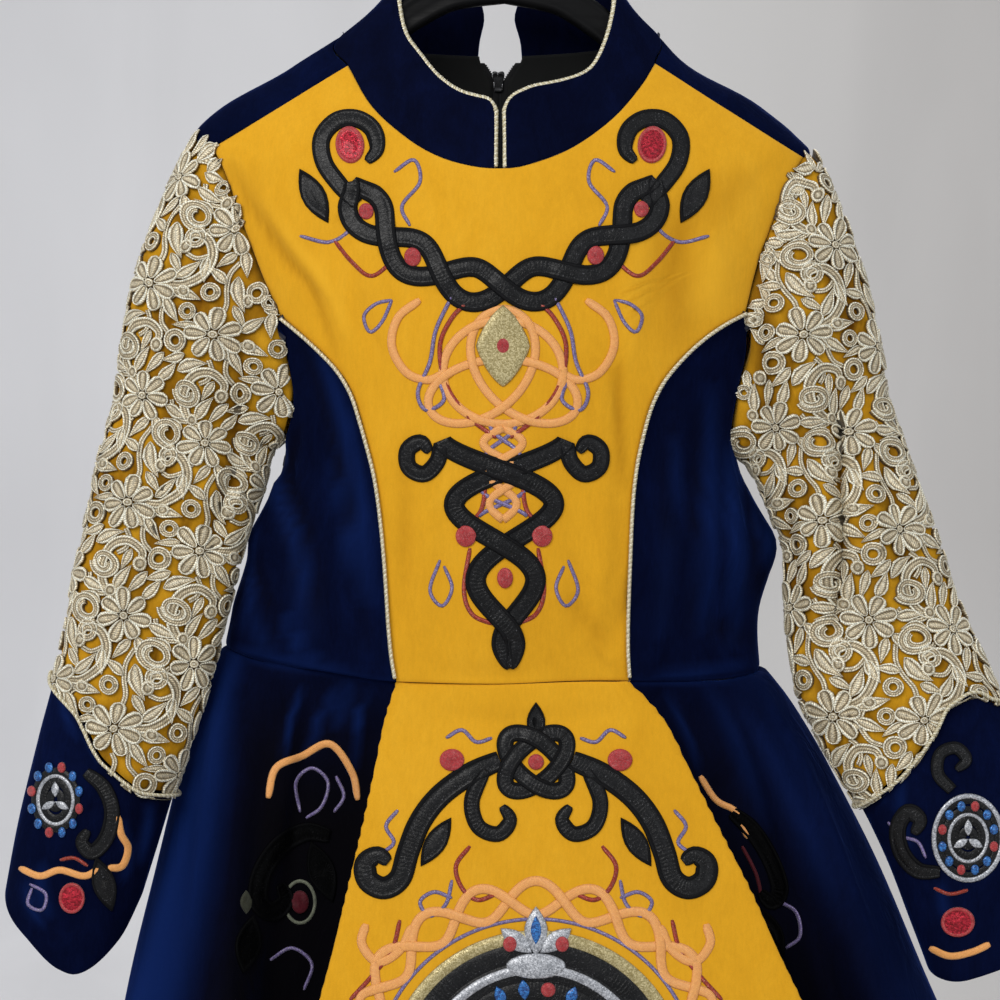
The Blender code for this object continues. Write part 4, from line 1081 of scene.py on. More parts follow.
def satin(name, colour, rough=0.35, metal=0.0, pitch=0.42, sheen=0.3, vary=0.18, fleck=0.0, lean=0.0, spec=0.5):
    """Stitching laid side by side across each band: U runs along the band."""
    m = Mat(name, rough=rough, metal=metal, sheen_weight=sheen, sheen_roughness=0.4,
            specular_ior_level=spec)
    uv = m.co.outputs["UV"]
    sep = m.t.nodes.new("ShaderNodeSeparateXYZ")
    m.t.links.new(uv, sep.inputs[0])
    u, v = sep.outputs[0], sep.outputs[1]
    wobble = m.noise(m.scaled("Object", 1.0, 1.0, 1.0), 900.0, 1.0, 0.5)
    run = m.math("ADD", m.math("MULTIPLY", u, 1000.0 / pitch), m.math("MULTIPLY", v, 1000.0 / pitch * lean))
    run = m.math("ADD", run, m.math("MULTIPLY", wobble, 0.55))
    wave = m.math("SINE", m.math("MULTIPLY", run, 2 * math.pi))
    wave = m.math("MULTIPLY_ADD", wave, 0.5, 0.5)
    tone = m.ramp(wobble, (0.3, tuple(c * (1 - vary) for c in colour)), (0.7, tuple(min(c * (1 + vary), 1.0) for c in colour)))
    # Darker between the stitches, lighter on their crests: painted shade and painted highlight.
    line = m.ramp(wave, (0.0, 0.62), (0.45, 1.0), (1.0, 1.10))
    c = m.mix(1.0, tone, line, "MULTIPLY")
    # Bright specks: the thread's light metallic fibres, made bright as painted glints.
    if fleck:
        spark = m.noise(m.scaled("Object", 1.0, 1.0, 1.0), 2400.0, 0.0, 0.5)
        c = m.mix(m.math("MULTIPLY", m.ramp(spark, (0.62, 0.0), (0.70, 1.0)), fleck), c, (1.0, 0.96, 0.86))
    return m.end(c, m.bump(wave, 0.55, 0.00022))


def thread_lace(name, painted_shade, low, mid, high):
    """Metallic thread laid along each edge, with darker filling between: the
    "crown" of each point says how far it stands up."""
    m = Mat(name, rough=0.40, metal=0.25, specular_ior_level=0.6, sheen_weight=0.10, sheen_roughness=0.35)
    uv = m.co.outputs["UV"]
    sep = m.t.nodes.new("ShaderNodeSeparateXYZ")
    m.t.links.new(uv, sep.inputs[0])
    u, v = sep.outputs[0], sep.outputs[1]
    crown = m.t.nodes.new("ShaderNodeAttribute")
    crown.attribute_name = "crown"
    wobble = m.noise(m.scaled("Object", 1.0, 1.0, 1.0), 520.0, 2.0, 0.6)
    run = m.math("ADD", m.math("MULTIPLY", u, 1000.0 / 1.35), m.math("MULTIPLY", v, 1000.0 / 2.4))
    run = m.math("ADD", run, m.math("MULTIPLY", wobble, 0.9))
    wave = m.math("MULTIPLY_ADD", m.math("SINE", m.math("MULTIPLY", run, 2 * math.pi)), 0.5, 0.5)
    grain = m.noise(m.scaled("Object", 1.0, 1.0, 1.0), 1500.0, 1.0, 0.5)
    patch = m.noise(m.scaled("Object", 1.0, 1.0, 1.0), 16.0, 2.0, 0.5)
    # Tone by crown: partly the threads' own, bright outline cords and darker filling, and partly painted shade in the
    # grooves and low parts and painted highlight on the crowns.
    tone = m.ramp(crown.outputs["Fac"], (0.05, painted_shade), (0.40, low), (0.72, mid), (1.0, high))
    # Darker between the stitches, lighter on their crests: painted shade and painted highlight.
    line = m.ramp(wave, (0.0, 0.60), (0.5, 1.0), (1.0, 1.16))
    # Random light and dark specks; the bright ones are painted glints of the metal thread.
    fleck = m.ramp(m.math("ADD", m.math("MULTIPLY", grain, 0.6), m.math("MULTIPLY", wobble, 0.4)),
                   (0.34, 0.52), (0.50, 0.98), (0.66, 1.46))
    c = m.mix(1.0, m.mix(1.0, tone, line, "MULTIPLY"), fleck, "MULTIPLY")
    c = m.mix(1.0, c, m.ramp(patch, (0.3, 0.88), (0.7, 1.08)), "MULTIPLY")
    return m.end(c, m.bump(wave, 0.6, 0.0004), m.ramp(grain, (0.3, 0.28), (0.7, 0.55)))


def twisted(name, a, b, pitch=2.1, metal=0.45, rough=0.36):
    """A cord of two colours of metallic thread, wound: U along, V round."""
    m = Mat(name, rough=rough, metal=metal, specular_ior_level=0.6)
    sep = m.t.nodes.new("ShaderNodeSeparateXYZ")
    m.t.links.new(m.co.outputs["UV"], sep.inputs[0])
    grain = m.noise(m.scaled("Object", 1.0, 1.0, 1.0), 1700.0, 1.0, 0.5)
    run = m.math("ADD", m.math("MULTIPLY", sep.outputs[0], 1000.0 / 0.34),
                 m.math("ADD", m.math("MULTIPLY", sep.outputs[1], 1000.0 / 0.5), m.math("MULTIPLY", grain, 0.5)))
    wave = m.math("MULTIPLY_ADD", m.math("SINE", m.math("MULTIPLY", run, 2 * math.pi)), 0.5, 0.5)
    tone = m.ramp(grain, (0.36, b), (0.62, a))
    # Darker between the windings, lighter on them: painted shade and painted highlight.
    c = m.mix(1.0, tone, m.ramp(wave, (0.0, 0.6), (0.5, 1.0), (1.0, 1.1)), "MULTIPLY")
    return m.end(c, m.bump(wave, 0.4, 0.00012))


def patent(name, colour, shine=1.0):
    """Black patent cloth, puffed and crinkled."""
    m = Mat(name, rough=0.30, specular_ior_level=0.20 * shine, coat_weight=0.07 * shine, coat_roughness=0.12)
    crease = m.t.nodes.new("ShaderNodeTexVoronoi")
    crease.feature = "DISTANCE_TO_EDGE"
    crease.inputs["Scale"].default_value = 330.0
    warp = m.noise(m.scaled("Object", 1.0, 1.0, 1.0), 60.0, 3.0, 0.6, 1.0)
    add = m.t.nodes.new("ShaderNodeVectorMath")
    add.operation = "MULTIPLY_ADD"
    m.t.links.new(m.co.outputs["Object"], add.inputs[0])
    add.inputs[1].default_value = (1.0, 1.0, 1.0)
    col = m.t.nodes.new("ShaderNodeTexNoise")
    m.t.links.new(m.scaled("Object", 1.0, 1.0, 1.0), col.inputs[0])
    col.inputs["Scale"].default_value = 90.0
    shift = m.t.nodes.new("ShaderNodeVectorMath")
    shift.operation = "SCALE"
    m.t.links.new(col.outputs["Color"], shift.inputs[0])
    shift.inputs["Scale"].default_value = 0.022
    m.t.links.new(shift.outputs[0], add.inputs[2])
    m.t.links.new(add.outputs[0], crease.inputs["Vector"])
    fine = m.noise(m.scaled("Object", 1.0, 1.0, 1.0), 1100.0, 2.0, 0.6)
    sep = m.t.nodes.new("ShaderNodeSeparateXYZ")
    m.t.links.new(m.co.outputs["UV"], sep.inputs[0])
    # wrinkles across the band, in places
    run = m.math("ADD", m.math("MULTIPLY", sep.outputs[0], 1000.0 / 2.3), m.math("MULTIPLY", warp, 2.4))
    wave = m.math("MULTIPLY_ADD", m.math("SINE", m.math("MULTIPLY", run, 2 * math.pi)), 0.5, 0.5)
    where = m.ramp(m.noise(m.scaled("Object", 1.0, 1.0, 1.0), 45.0, 2.0, 0.5), (0.44, 0.0), (0.60, 1.0))
    h = m.math("ADD", m.ramp(crease.outputs[0], (0.0, 0.0), (0.10, 0.35)), m.math("MULTIPLY", warp, 1.3))
    h = m.math("ADD", h, m.math("MULTIPLY", fine, 0.30))
    h = m.math("ADD", h, m.math("MULTIPLY", m.math("MULTIPLY", m.ramp(wave, (0.2, 0.0), (0.95, 1.0)), where), 0.75))
    # Tone follows the warp noise that also puffs the bump: painted shade and painted highlight on the puffs.
    c = m.ramp(warp, (0.3, tuple(x * 0.6 for x in colour)), (0.7, tuple(x * 1.5 for x in colour)))
    # Grey flecks: painted glints.
    c = m.mix(m.ramp(fine, (0.66, 0.0), (0.72, 0.75)), c, tuple(x * shine for x in (0.16, 0.16, 0.17)))
    return m.end(c, m.bump(h, 0.50, 0.0005), m.ramp(fine, (0.35, 0.20), (0.65, 0.46)))


def foil(name, dark, lit, coat=0.6, spec=0.6):
    """Glittering foil cloth, finely wrinkled."""
    m = Mat(name, rough=0.30, metal=0.55, coat_weight=coat, coat_roughness=0.10, specular_ior_level=spec)
    w = m.noise(m.scaled("Object", 1.0, 2.2, 2.2), 260.0, 3.0, 0.7, 1.2)
    cell = m.t.nodes.new("ShaderNodeTexVoronoi")
    cell.inputs["Scale"].default_value = 1150.0
    m.t.links.new(m.co.outputs["Object"], cell.inputs["Vector"])
    val = m.t.nodes.new("ShaderNodeSeparateColor")
    m.t.links.new(cell.outputs["Color"], val.inputs[0])
    # Tone follows the wrinkles that also set the bump: painted shade and painted highlight on them.
    c = m.ramp(m.math("ADD", m.math("MULTIPLY", w, 0.62), m.math("MULTIPLY", val.outputs[0], 0.38)),
               (0.34, dark), (0.52, tuple((a + b) / 2 for a, b in zip(dark, lit))), (0.68, lit))
    h = m.math("ADD", w, m.math("MULTIPLY", val.outputs[1], 0.35))
    return m.end(c, m.bump(h, 0.7, 0.0008), m.ramp(val.outputs[2], (0.0, 0.20), (1.0, 0.50)))


def glitter(name, low, high, metal=0.35):
    m = Mat(name, rough=0.45, metal=metal, specular_ior_level=0.6)
    cell = m.t.nodes.new("ShaderNodeTexVoronoi")
    cell.inputs["Scale"].default_value = 1500.0
    m.t.links.new(m.co.outputs["Object"], cell.inputs["Vector"])
    val = m.t.nodes.new("ShaderNodeSeparateColor")
    m.t.links.new(cell.outputs["Color"], val.inputs[0])
    c = m.ramp(val.outputs[0], (0.1, low), (0.6, tuple((a + b) / 2 for a, b in zip(low, high))), (0.95, high))
    return m.end(c, m.bump(val.outputs[1], 0.6, 0.0002), m.ramp(val.outputs[2], (0.0, 0.25), (1.0, 0.65)))


def woven(name, colour, vary=0.25, pitch=0.5, rough=0.8, sheen=0.2):
    """Plain weave cloth by its own width and length."""
    m = Mat(name, rough=rough, specular_ior_level=0.3, sheen_weight=sheen, sheen_roughness=0.5)
    sep = m.t.nodes.new("ShaderNodeSeparateXYZ")
    m.t.links.new(m.co.outputs["UV"], sep.inputs[0])
    k = 2 * math.pi * 1000.0 / pitch
    a = m.math("SINE", m.math("MULTIPLY", sep.outputs[0], k))
    b = m.math("SINE", m.math("MULTIPLY", sep.outputs[1], k))
    w = m.math("MULTIPLY_ADD", m.math("MULTIPLY", a, b), 0.5, 0.5)
    n = m.noise(m.scaled("Object", 1.0, 1.0, 1.0), 60.0, 3.0, 0.6)
    c = m.ramp(n, (0.3, tuple(x * (1 - vary) for x in colour)), (0.7, tuple(x * (1 + vary) for x in colour)))
    # Darker and lighter with the weave's relief: painted shade and painted highlight.
    c = m.mix(1.0, c, m.ramp(w, (0.0, 0.8), (1.0, 1.1)), "MULTIPLY")
    return m.end(c, m.bump(w, 0.4, 0.00015))


def plastic(name, colour, rough=0.38, spec=0.5):
    m = Mat(name, rough=rough, specular_ior_level=spec)
    w = m.noise(m.scaled("Object", 1.0, 1.0, 1.0), 45.0, 4.0, 0.6)
    f = m.noise(m.scaled("Object", 1.0, 1.0, 1.0), 900.0, 1.0, 0.5)
    scuff = m.noise(m.scaled("Object", 20.0, 200.0, 200.0), 1.0, 3.0, 0.7)
    c = m.ramp(w, (0.3, tuple(x * 0.8 for x in colour)), (0.75, tuple(x * 1.35 for x in colour)))
    return m.end(c, m.bump(f, 0.12, 0.0002), m.ramp(scuff, (0.35, rough * 0.8), (0.7, rough * 1.35)))


def nickel(name, colour, rough=0.3):
    m = Mat(name, rough=rough, metal=1.0)
    w = m.noise(m.scaled("Object", 60.0, 60.0, 900.0), 1.0, 2.0, 0.6)
    f = m.noise(m.scaled("Object", 1.0, 1.0, 1.0), 400.0, 3.0, 0.6)
    c = m.ramp(f, (0.3, tuple(x * 0.7 for x in colour)), (0.7, tuple(x * 1.3 for x in colour)))
    return m.end(c, m.bump(w, 0.15, 0.0001), m.ramp(w, (0.3, rough * 0.7), (0.7, rough * 1.5)))


# The YELLOW and BLUE lists end with a painted shade colour and a painted highlight colour; the sleeve cloth gives only
# its painted shade colour.
YELLOW = velvet("yellow_velvet", (0.69, 0.332, 0.0150), (0.755, 0.371, 0.0175), (0.80, 0.406, 0.0230),
                0.22, (1.0, 0.75, 0.30), 0.5, 6.0, 0.045, 0.0007, (0.36, 0.150, 0.0060), (0.90, 0.475, 0.030))
# The sleeve cloth's dark brown patches are painted shade of its folds and of the lace over it.
YELLOW_CLOTH = velvet("yellow_sleeve_cloth", (0.17, 0.065, 0.004), (0.56, 0.270, 0.012), (0.72, 0.370, 0.020),
                      0.10, (1.0, 0.75, 0.30), 0.5, 24.0, 0.08, 0.0006, (0.115, 0.042, 0.003))
BLUE = velvet("blue_velvet", (0.0012, 0.0022, 0.0120), (0.0017, 0.0037, 0.0210), (0.0024, 0.0059, 0.0360),
              0.30, (0.05, 0.14, 0.70), 0.30, 8.0, 0.14, 0.0030, (0.0026, 0.0022, 0.0030), (0.0080, 0.0300, 0.170))
LINING = woven("lining", (0.012, 0.014, 0.030), 0.2, 0.5, 0.55, 0.3)
LINING_BLUE = woven("lining_blue", (0.004, 0.008, 0.040), 0.2, 0.5, 0.6, 0.3)
LACE_MAT = thread_lace("metallic_lace", (0.12, 0.085, 0.038), (0.50, 0.400, 0.242), (0.87, 0.75, 0.525),
                       (1.0, 0.97, 0.80))
CORD_MAT = twisted("cream_cord", (1.0, 0.95, 0.78), (0.80, 0.71, 0.47))
CORD_DARK = twisted("gold_cord", (0.84, 0.76, 0.53), (0.50, 0.41, 0.22))
FACING = woven("black_facing", (0.0042, 0.0046, 0.0042), 0.3, 0.45, 0.80, 0.06)
TAPE = woven("zip_tape", (0.0045, 0.0045, 0.005), 0.3, 0.6, 0.75, 0.06)
HANGER_MAT = plastic("black_plastic", (0.0022, 0.0022, 0.0025), 0.50, 0.12)
ZIP_MAT = nickel("dark_nickel", (0.34, 0.34, 0.35), 0.26)
# Bright nickel for the slider's painted glints.
GLINT = nickel("glint_nickel", (0.86, 0.86, 0.88), 0.22)
SLIDER_MAT = plastic("black_enamel", (0.010, 0.010, 0.011), 0.30, 0.5)
COIL_MAT = plastic("zip_coil", (0.016, 0.016, 0.017))
PATENT = patent("black_patent", (0.0050, 0.0050, 0.0054))
BLACK_SATIN = satin("black_satin", (0.0042, 0.0042, 0.005), 0.55, 0.0, 0.7, 0.0, spec=0.12)
PEACH = satin("peach_satin", (1.0, 0.42, 0.115), 0.42, 0.0, 0.7, 0.30, 0.10)
PURPLE = satin("purple_thread", (0.19, 0.145, 0.33), 0.34, 0.35, 0.6, 0.2, 0.3, 0.35)
RED_THREAD = satin("red_thread", (0.34, 0.030, 0.012), 0.34, 0.35, 0.6, 0.2, 0.25, 0.15)
RED_SATIN = satin("red_satin", (0.46, 0.030, 0.034), 0.38, 0.15, 0.7, 0.25, 0.2, 0.12)
RED_FOIL = foil("red_foil", (0.20, 0.003, 0.009), (0.60, 0.022, 0.045), 0.22, 0.35)
GOLD = glitter("gold_glitter", (0.30, 0.235, 0.085), (0.66, 0.56, 0.30))
SILVER = glitter("silver_cloth", (0.26, 0.27, 0.29), (0.68, 0.69, 0.72), 0.55)
BLUE_FOIL = foil("blue_foil", (0.004, 0.045, 0.20), (0.03, 0.22, 0.62))
# ------------------------------------------------------------------ cloth

FINE = 5
refine(FINE)
SKINS = {}          # name: (points, normals, wrap) of each finished outer face
FLAT = {}

# Creases in the view's pixels: height mm (minus is a trough), half width px, line, lean.
FRONT_CREASES = [
    (-2.2, 11, [(300, 262), (322, 240), (352, 205), (372, 182)], 0.4),
    (-2.0, 10, [(318, 210), (345, 262), (362, 318), (384, 372)], 0.5),
    (1.6, 13, [(338, 205), (368, 262), (384, 322), (404, 380)], -0.4),
    (-3.4, 20, [(704, 176), (684, 206), (668, 246), (663, 300), (668, 356)], 0.15),
    (-1.6, 6, [(617, 352), (618, 400), (621, 440)], 0.2),
    (-2.8, 9, [(566, 600), (590, 626), (612, 656)], 0.2),
    (2.0, 12, [(618, 196), (628, 250), (634, 310), (628, 372)], -0.3),
    (-1.8, 10, [(672, 215), (684, 262), (700, 300)], 0.3),
    (1.4, 12, [(700, 205), (716, 250), (733, 290)], 0.2),
    (-1.6, 14, [(552, 196), (590, 206), (625, 205), (650, 196)], 0.3),
    (-1.3, 13, [(380, 196), (410, 204), (444, 200)], 0.2),
    (1.2, 10, [(560, 214), (594, 224), (628, 220)], 0.0),
    (-3.0, 9, [(229, 160), (236, 176), (252, 206), (287, 258), (314, 292), (339, 362)], 0.3),
    (1.6, 11, [(252, 186), (276, 226), (306, 268), (332, 306)], 0.0),
    (-1.6, 9, [(640, 560), (632, 590), (622, 622), (608, 655)], 0.4),
    (-1.3, 8, [(402, 470), (408, 520), (404, 580), (398, 640)], 0.4),
    (1.2, 10, [(430, 420), (424, 480), (430, 560), (424, 640)], -0.2),
    (-1.2, 11, [(560, 470), (580, 540), (584, 600), (570, 660)], 0.2),
    (1.4, 11, [(600, 430), (606, 500), (606, 560), (592, 640)], 0.2),
    (-1.5, 8, [(420, 668), (460, 674), (520, 674), (560, 668)], 0.2),
    (1.0, 12, [(200, 150), (240, 160), (276, 160)], 0.2),
    (-1.2, 9, [(752, 190), (770, 170), (790, 168)], 0.2),
]
SIDE_CREASES = [
    (1.9, 3.2, [(322, 378), (340, 396), (351, 424), (354, 446), (363, 490), (378, 542)], 0.3),
    (2.0, 4.0, [(331, 462), (336, 486), (344, 520), (351, 556), (361, 584), (376, 600)], 0.5),
    (-3.0, 5.0, [(300, 420), (290, 470), (284, 510), (290, 548), (299, 584), (309, 622)], -0.5),
    (1.8, 4.0, [(254, 520), (249, 564), (250, 600), (240, 632)], 0.4),
    (2.2, 5.0, [(284, 610), (293, 634), (304, 654), (322, 668)], 0.4),
    (1.6, 3.5, [(228, 648), (262, 655), (312, 667), (360, 676)], 0.0),
    (1.8, 4.0, [(676, 430), (674, 500), (672, 560), (664, 640)], 0.4),
    (2.0, 4.0, [(728, 470), (738, 520), (740, 560), (730, 610)], 0.4),
    (1.6, 3.5, [(648, 676), (690, 674), (730, 668), (756, 664)], 0.0),
    (-3.2, 6, [(300, 330), (318, 380), (338, 450), (352, 520), (360, 600), (364, 650)], 0.5),
    (2.4, 6, [(312, 332), (334, 392), (352, 460), (364, 530), (372, 610)], -0.3),
    (-2.8, 6, [(276, 430), (296, 500), (312, 560), (318, 640)], 0.5),
    (2.2, 6, [(262, 440), (280, 500), (300, 560), (306, 640)], 0.3),
    (-2.0, 7, [(236, 520), (250, 560), (268, 600), (276, 650)], 0.4),
    (-2.6, 6, [(700, 400), (698, 470), (694, 540), (688, 640)], 0.4),
    (2.0, 7, [(712, 380), (712, 450), (710, 540), (702, 640)], -0.2),
    (-3.0, 7, [(742, 478), (752, 520), (756, 560), (748, 600)], 0.5),
    (2.6, 7, [(726, 440), (734, 500), (740, 560), (732, 620)], 0.3),
    (2.6, 8, [(768, 490), (774, 530), (770, 570)], 0.3),
    (-2.2, 8, [(672, 410), (668, 480), (664, 560), (660, 640)], 0.3),
    (-2.0, 9, [(700, 620), (730, 632), (752, 640)], 0.2),
]
SKIRT_CREASES = [
    (2.4, 4.5, [(304, 684), (298, 700), (290, 724), (284, 760)], 0.4),
    (2.4, 4.5, [(338, 684), (330, 700), (318, 722), (306, 756)], 0.4),
    (2.2, 4.0, [(372, 686), (362, 706), (356, 730), (352, 770)], 0.4),
    (2.0, 5.0, [(226, 668), (214, 720), (204, 790), (196, 880), (186, 980)], 0.3),
    (2.2, 4.5, [(668, 690), (676, 712), (690, 742), (700, 772)], 0.4),
    (2.2, 5.0, [(706, 682), (724, 716), (744, 760), (760, 810)], 0.4),
    (2.0, 5.0, [(756, 676), (786, 730), (818, 800), (850, 880), (880, 960)], 0.3),
    (3.2, 14, [(246, 660), (242, 720), (236, 800), (228, 900), (220, 1000), (212, 1120)], 0.4),
    (-3.0, 12, [(276, 665), (270, 720), (262, 800), (250, 900), (240, 1020)], 0.3),
    (2.4, 11, [(300, 672), (292, 740), (280, 820), (268, 900)], 0.3),
    (-2.4, 9, [(318, 690), (304, 760), (296, 840), (290, 930)], 0.3),
    (-2.6, 12, [(214, 680), (200, 760), (186, 860), (170, 980)], 0.3),
    (2.0, 12, [(190, 760), (172, 860), (154, 980), (140, 1100)], 0.2),
    (-2.2, 8, [(258, 690), (280, 716), (300, 760)], 0.3),
    (2.6, 13, [(742, 665), (760, 740), (784, 830), (810, 930), (832, 1040)], 0.3),
    (-3.0, 12, [(716, 668), (738, 740), (764, 830), (790, 930)], 0.3),
    (-2.4, 12, [(776, 690), (802, 780), (836, 880), (870, 980)], 0.3),
    (2.4, 12, [(758, 660), (790, 730), (820, 810), (856, 900), (880, 960)], 0.2),
    (-2.0, 10, [(690, 690), (712, 730), (738, 780)], 0.3),
]
# Behind, in the same frame seen through the dress.
BACK_CREASES = [
    (-2.4, 10, [(470, 240), (440, 320), (430, 420), (436, 520), (430, 640)], 0.3),
    (2.0, 12, [(420, 230), (400, 320), (398, 430), (400, 560)], 0.3),
    (-2.2, 9, [(350, 250), (356, 340), (370, 440), (372, 560), (366, 640)], 0.4),
    (-2.0, 8, [(300, 330), (320, 420), (330, 520), (330, 620)], 0.3),
    (-2.6, 10, [(540, 250), (566, 330), (574, 430), (570, 530), (576, 640)], 0.3),
    (2.2, 12, [(600, 240), (622, 330), (626, 440), (622, 560)], 0.2),
    (-2.2, 9, [(672, 260), (664, 350), (654, 450), (656, 560), (662, 650)], 0.4),
    (2.0, 9, [(710, 330), (702, 430), (700, 530), (706, 620)], 0.3),
    (-2.0, 12, [(380, 150), (440, 170), (480, 172)], 0.2),
    (-1.8, 12, [(530, 172), (580, 166), (640, 146)], 0.2),
    (1.4, 12, [(280, 170), (330, 200), (400, 214)], 0.2),
    (-1.6, 10, [(740, 180), (690, 210), (620, 222)], 0.2),
]
BACK_SKIRT = [
    (-4.0, 14, [(470, 670), (462, 760), (448, 880), (430, 1020), (410, 1180), (396, 1340)], 0.3),
    (3.4, 16, [(430, 672), (414, 780), (392, 900), (366, 1040), (340, 1200), (320, 1340)], 0.2),
    (-3.6, 13, [(392, 676), (366, 790), (336, 920), (306, 1060), (276, 1220), (256, 1340)], 0.3),
    (2.6, 14, [(340, 674), (310, 780), (276, 900), (242, 1040), (206, 1200)], 0.2),
    (-3.0, 12, [(300, 676), (262, 790), (222, 920), (184, 1060), (150, 1220)], 0.2),
    (-4.0, 14, [(520, 670), (534, 770), (556, 890), (580, 1030), (600, 1180), (616, 1340)], 0.3),
    (3.2, 16, [(560, 672), (586, 780), (618, 900), (650, 1040), (684, 1200), (706, 1340)], 0.2),
    (-3.4, 13, [(606, 676), (640, 790), (684, 920), (726, 1060), (768, 1220), (796, 1340)], 0.3),
    (2.6, 14, [(650, 674), (700, 780), (750, 900), (806, 1040), (850, 1200)], 0.2),
    (-3.0, 12, [(690, 676), (750, 790), (814, 920), (870, 1060)], 0.2),
]


def finish_sheet(a, n, name, centre=None, wrap=False, creases=(), back=(), wave=0.5, seed=1,
                 edges=(True, True, True, True), depth=0.7, reach=3.0, mask=None):
    """Waves, creases and turned-in edges on a grid whose normals are n."""
    def normals(b):
        m = masked_normals(b, mask) if mask is not None else normals_of(b, wrap)
        return -m if np.sum(m * n) < 0 else m
    a = sway(a, n, wave, 70.0, seed, wrap)
    if creases:
        a = creased(a, n, creases, -1)
    if back:
        a = creased(a, n, back, 1)
    a = rolled(a, normals(a), depth, reach, wrap, edges, mask)
    return a, normals(a)


# Painted highlights along folds of the blue velvet: amount, half width px, line.
SIDE_PAINTED_HIGHLIGHT = [
    (0.20, 5, [(338, 396), (350, 424), (358, 470), (368, 520), (378, 560)]),
    (0.22, 6, [(280, 620), (296, 644), (312, 660), (340, 672)]),
    (0.16, 9, [(246, 600), (262, 640), (280, 660)]),
    (0.18, 6, [(348, 500), (356, 540), (370, 580)]),
    (0.22, 5, [(752, 480), (756, 520), (760, 560)]),
    (0.20, 7, [(736, 520), (742, 560), (738, 610), (730, 650)]),
    (0.18, 6, [(706, 470), (710, 520), (708, 580), (700, 640)]),
]
SKIRT_PAINTED_HIGHLIGHT = [
    (0.34, 3.5, [(304, 684), (298, 700), (290, 724), (284, 760)]),
    (0.30, 4.0, [(338, 684), (330, 700), (318, 722), (306, 756)]),
    (0.42, 3.0, [(372, 686), (362, 706), (356, 730), (352, 770)]),
    (0.22, 9.0, [(350, 676), (344, 700), (336, 730)]),
    (0.22, 4.0, [(668, 690), (676, 712), (690, 742), (700, 772)]),
    (0.16, 10.0, [(706, 682), (724, 716), (744, 760), (770, 830)]),
    (0.14, 16.0, [(740, 700), (776, 760), (812, 840), (840, 920)]),
    (0.20, 6.0, [(212, 680), (204, 730), (192, 800), (180, 880)]),
]


def seam_painted_highlight(a, amount, reach=2.4):
    """Painted highlight along the border of a sheet, where its seam catches the light."""
    d = border_distance(a)
    return amount * np.exp(-(d / reach) ** 2)


SEAM = 0.12


def pull(out, a, here, there):
    d = a[there] - a[here]
    out[here] = out[here] + d / np.maximum(np.linalg.norm(d, axis=-1, keepdims=True), 1e-9) * SEAM


def inset_array(a, wrap=False, skip=()):
    """Pull the border in by GAP so that pieces meet with a seam."""
    out = a.copy()
    every = slice(None)
    for key, here, there in (("top", 0, 1), ("bottom", -1, -2), ("start", (every, 0), (every, 1)),
                             ("end", (every, -1), (every, -2))):
        if key not in skip and not (wrap and key in ("start", "end")):
            pull(out, a, here, there)
    return out


def even_front():
    """front_grid with its columns kept in order between the seam's own points."""
    left = seam_arm(-1) + seam_princess(-1)[1:]
    right = seam_arm(1) + seam_princess(1)[1:]
    top = seam_yoke(-1)[::-1] + seam_neck_front()[1:] + seam_yoke(1)[1:]
    rows, cols = len(left), len(top)
    span = right[0][0] - left[0][0]
    knots = list(range(0, cols, FINE))
    u = np.interp(range(cols), knots, [(top[k][0] - left[0][0]) / span for k in knots])
    grid = {}
    for i in range(rows):
        fade = (1.0 - i / (rows - 1)) ** 2
        for j in range(cols):
            base = left[i] * (1 - u[j]) + right[i] * u[j]
            chord = left[0] * (1 - u[j]) + right[0] * u[j]
            off = top[j] - chord
            p = base + off * np.array([fade ** 4 if i else 1.0, fade])
            if i == rows - 1:
                p = waist_at(p[0])
            grid[i, j] = p
    return grid, rows, cols


def bodice_piece(name, grid, rows, cols, mat, replaces, creases=(), back=(), seed=1, wave=0.5):
    a = array_of(grid, rows, cols, body)
    a = inset_array(a)
    a = resample(a, edge_rows(rows), 0)
    a = resample(a, edge_rows(cols), 1)
    n = outward(a)
    a, n = finish_sheet(a, n, name, creases=creases, back=back, seed=seed, wave=wave)
    ob = shell(name, a, n, WALL, mat, mat_in=LINING)
    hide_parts(replaces)
    SKINS[name] = (a, n, False, None)
    return ob, a


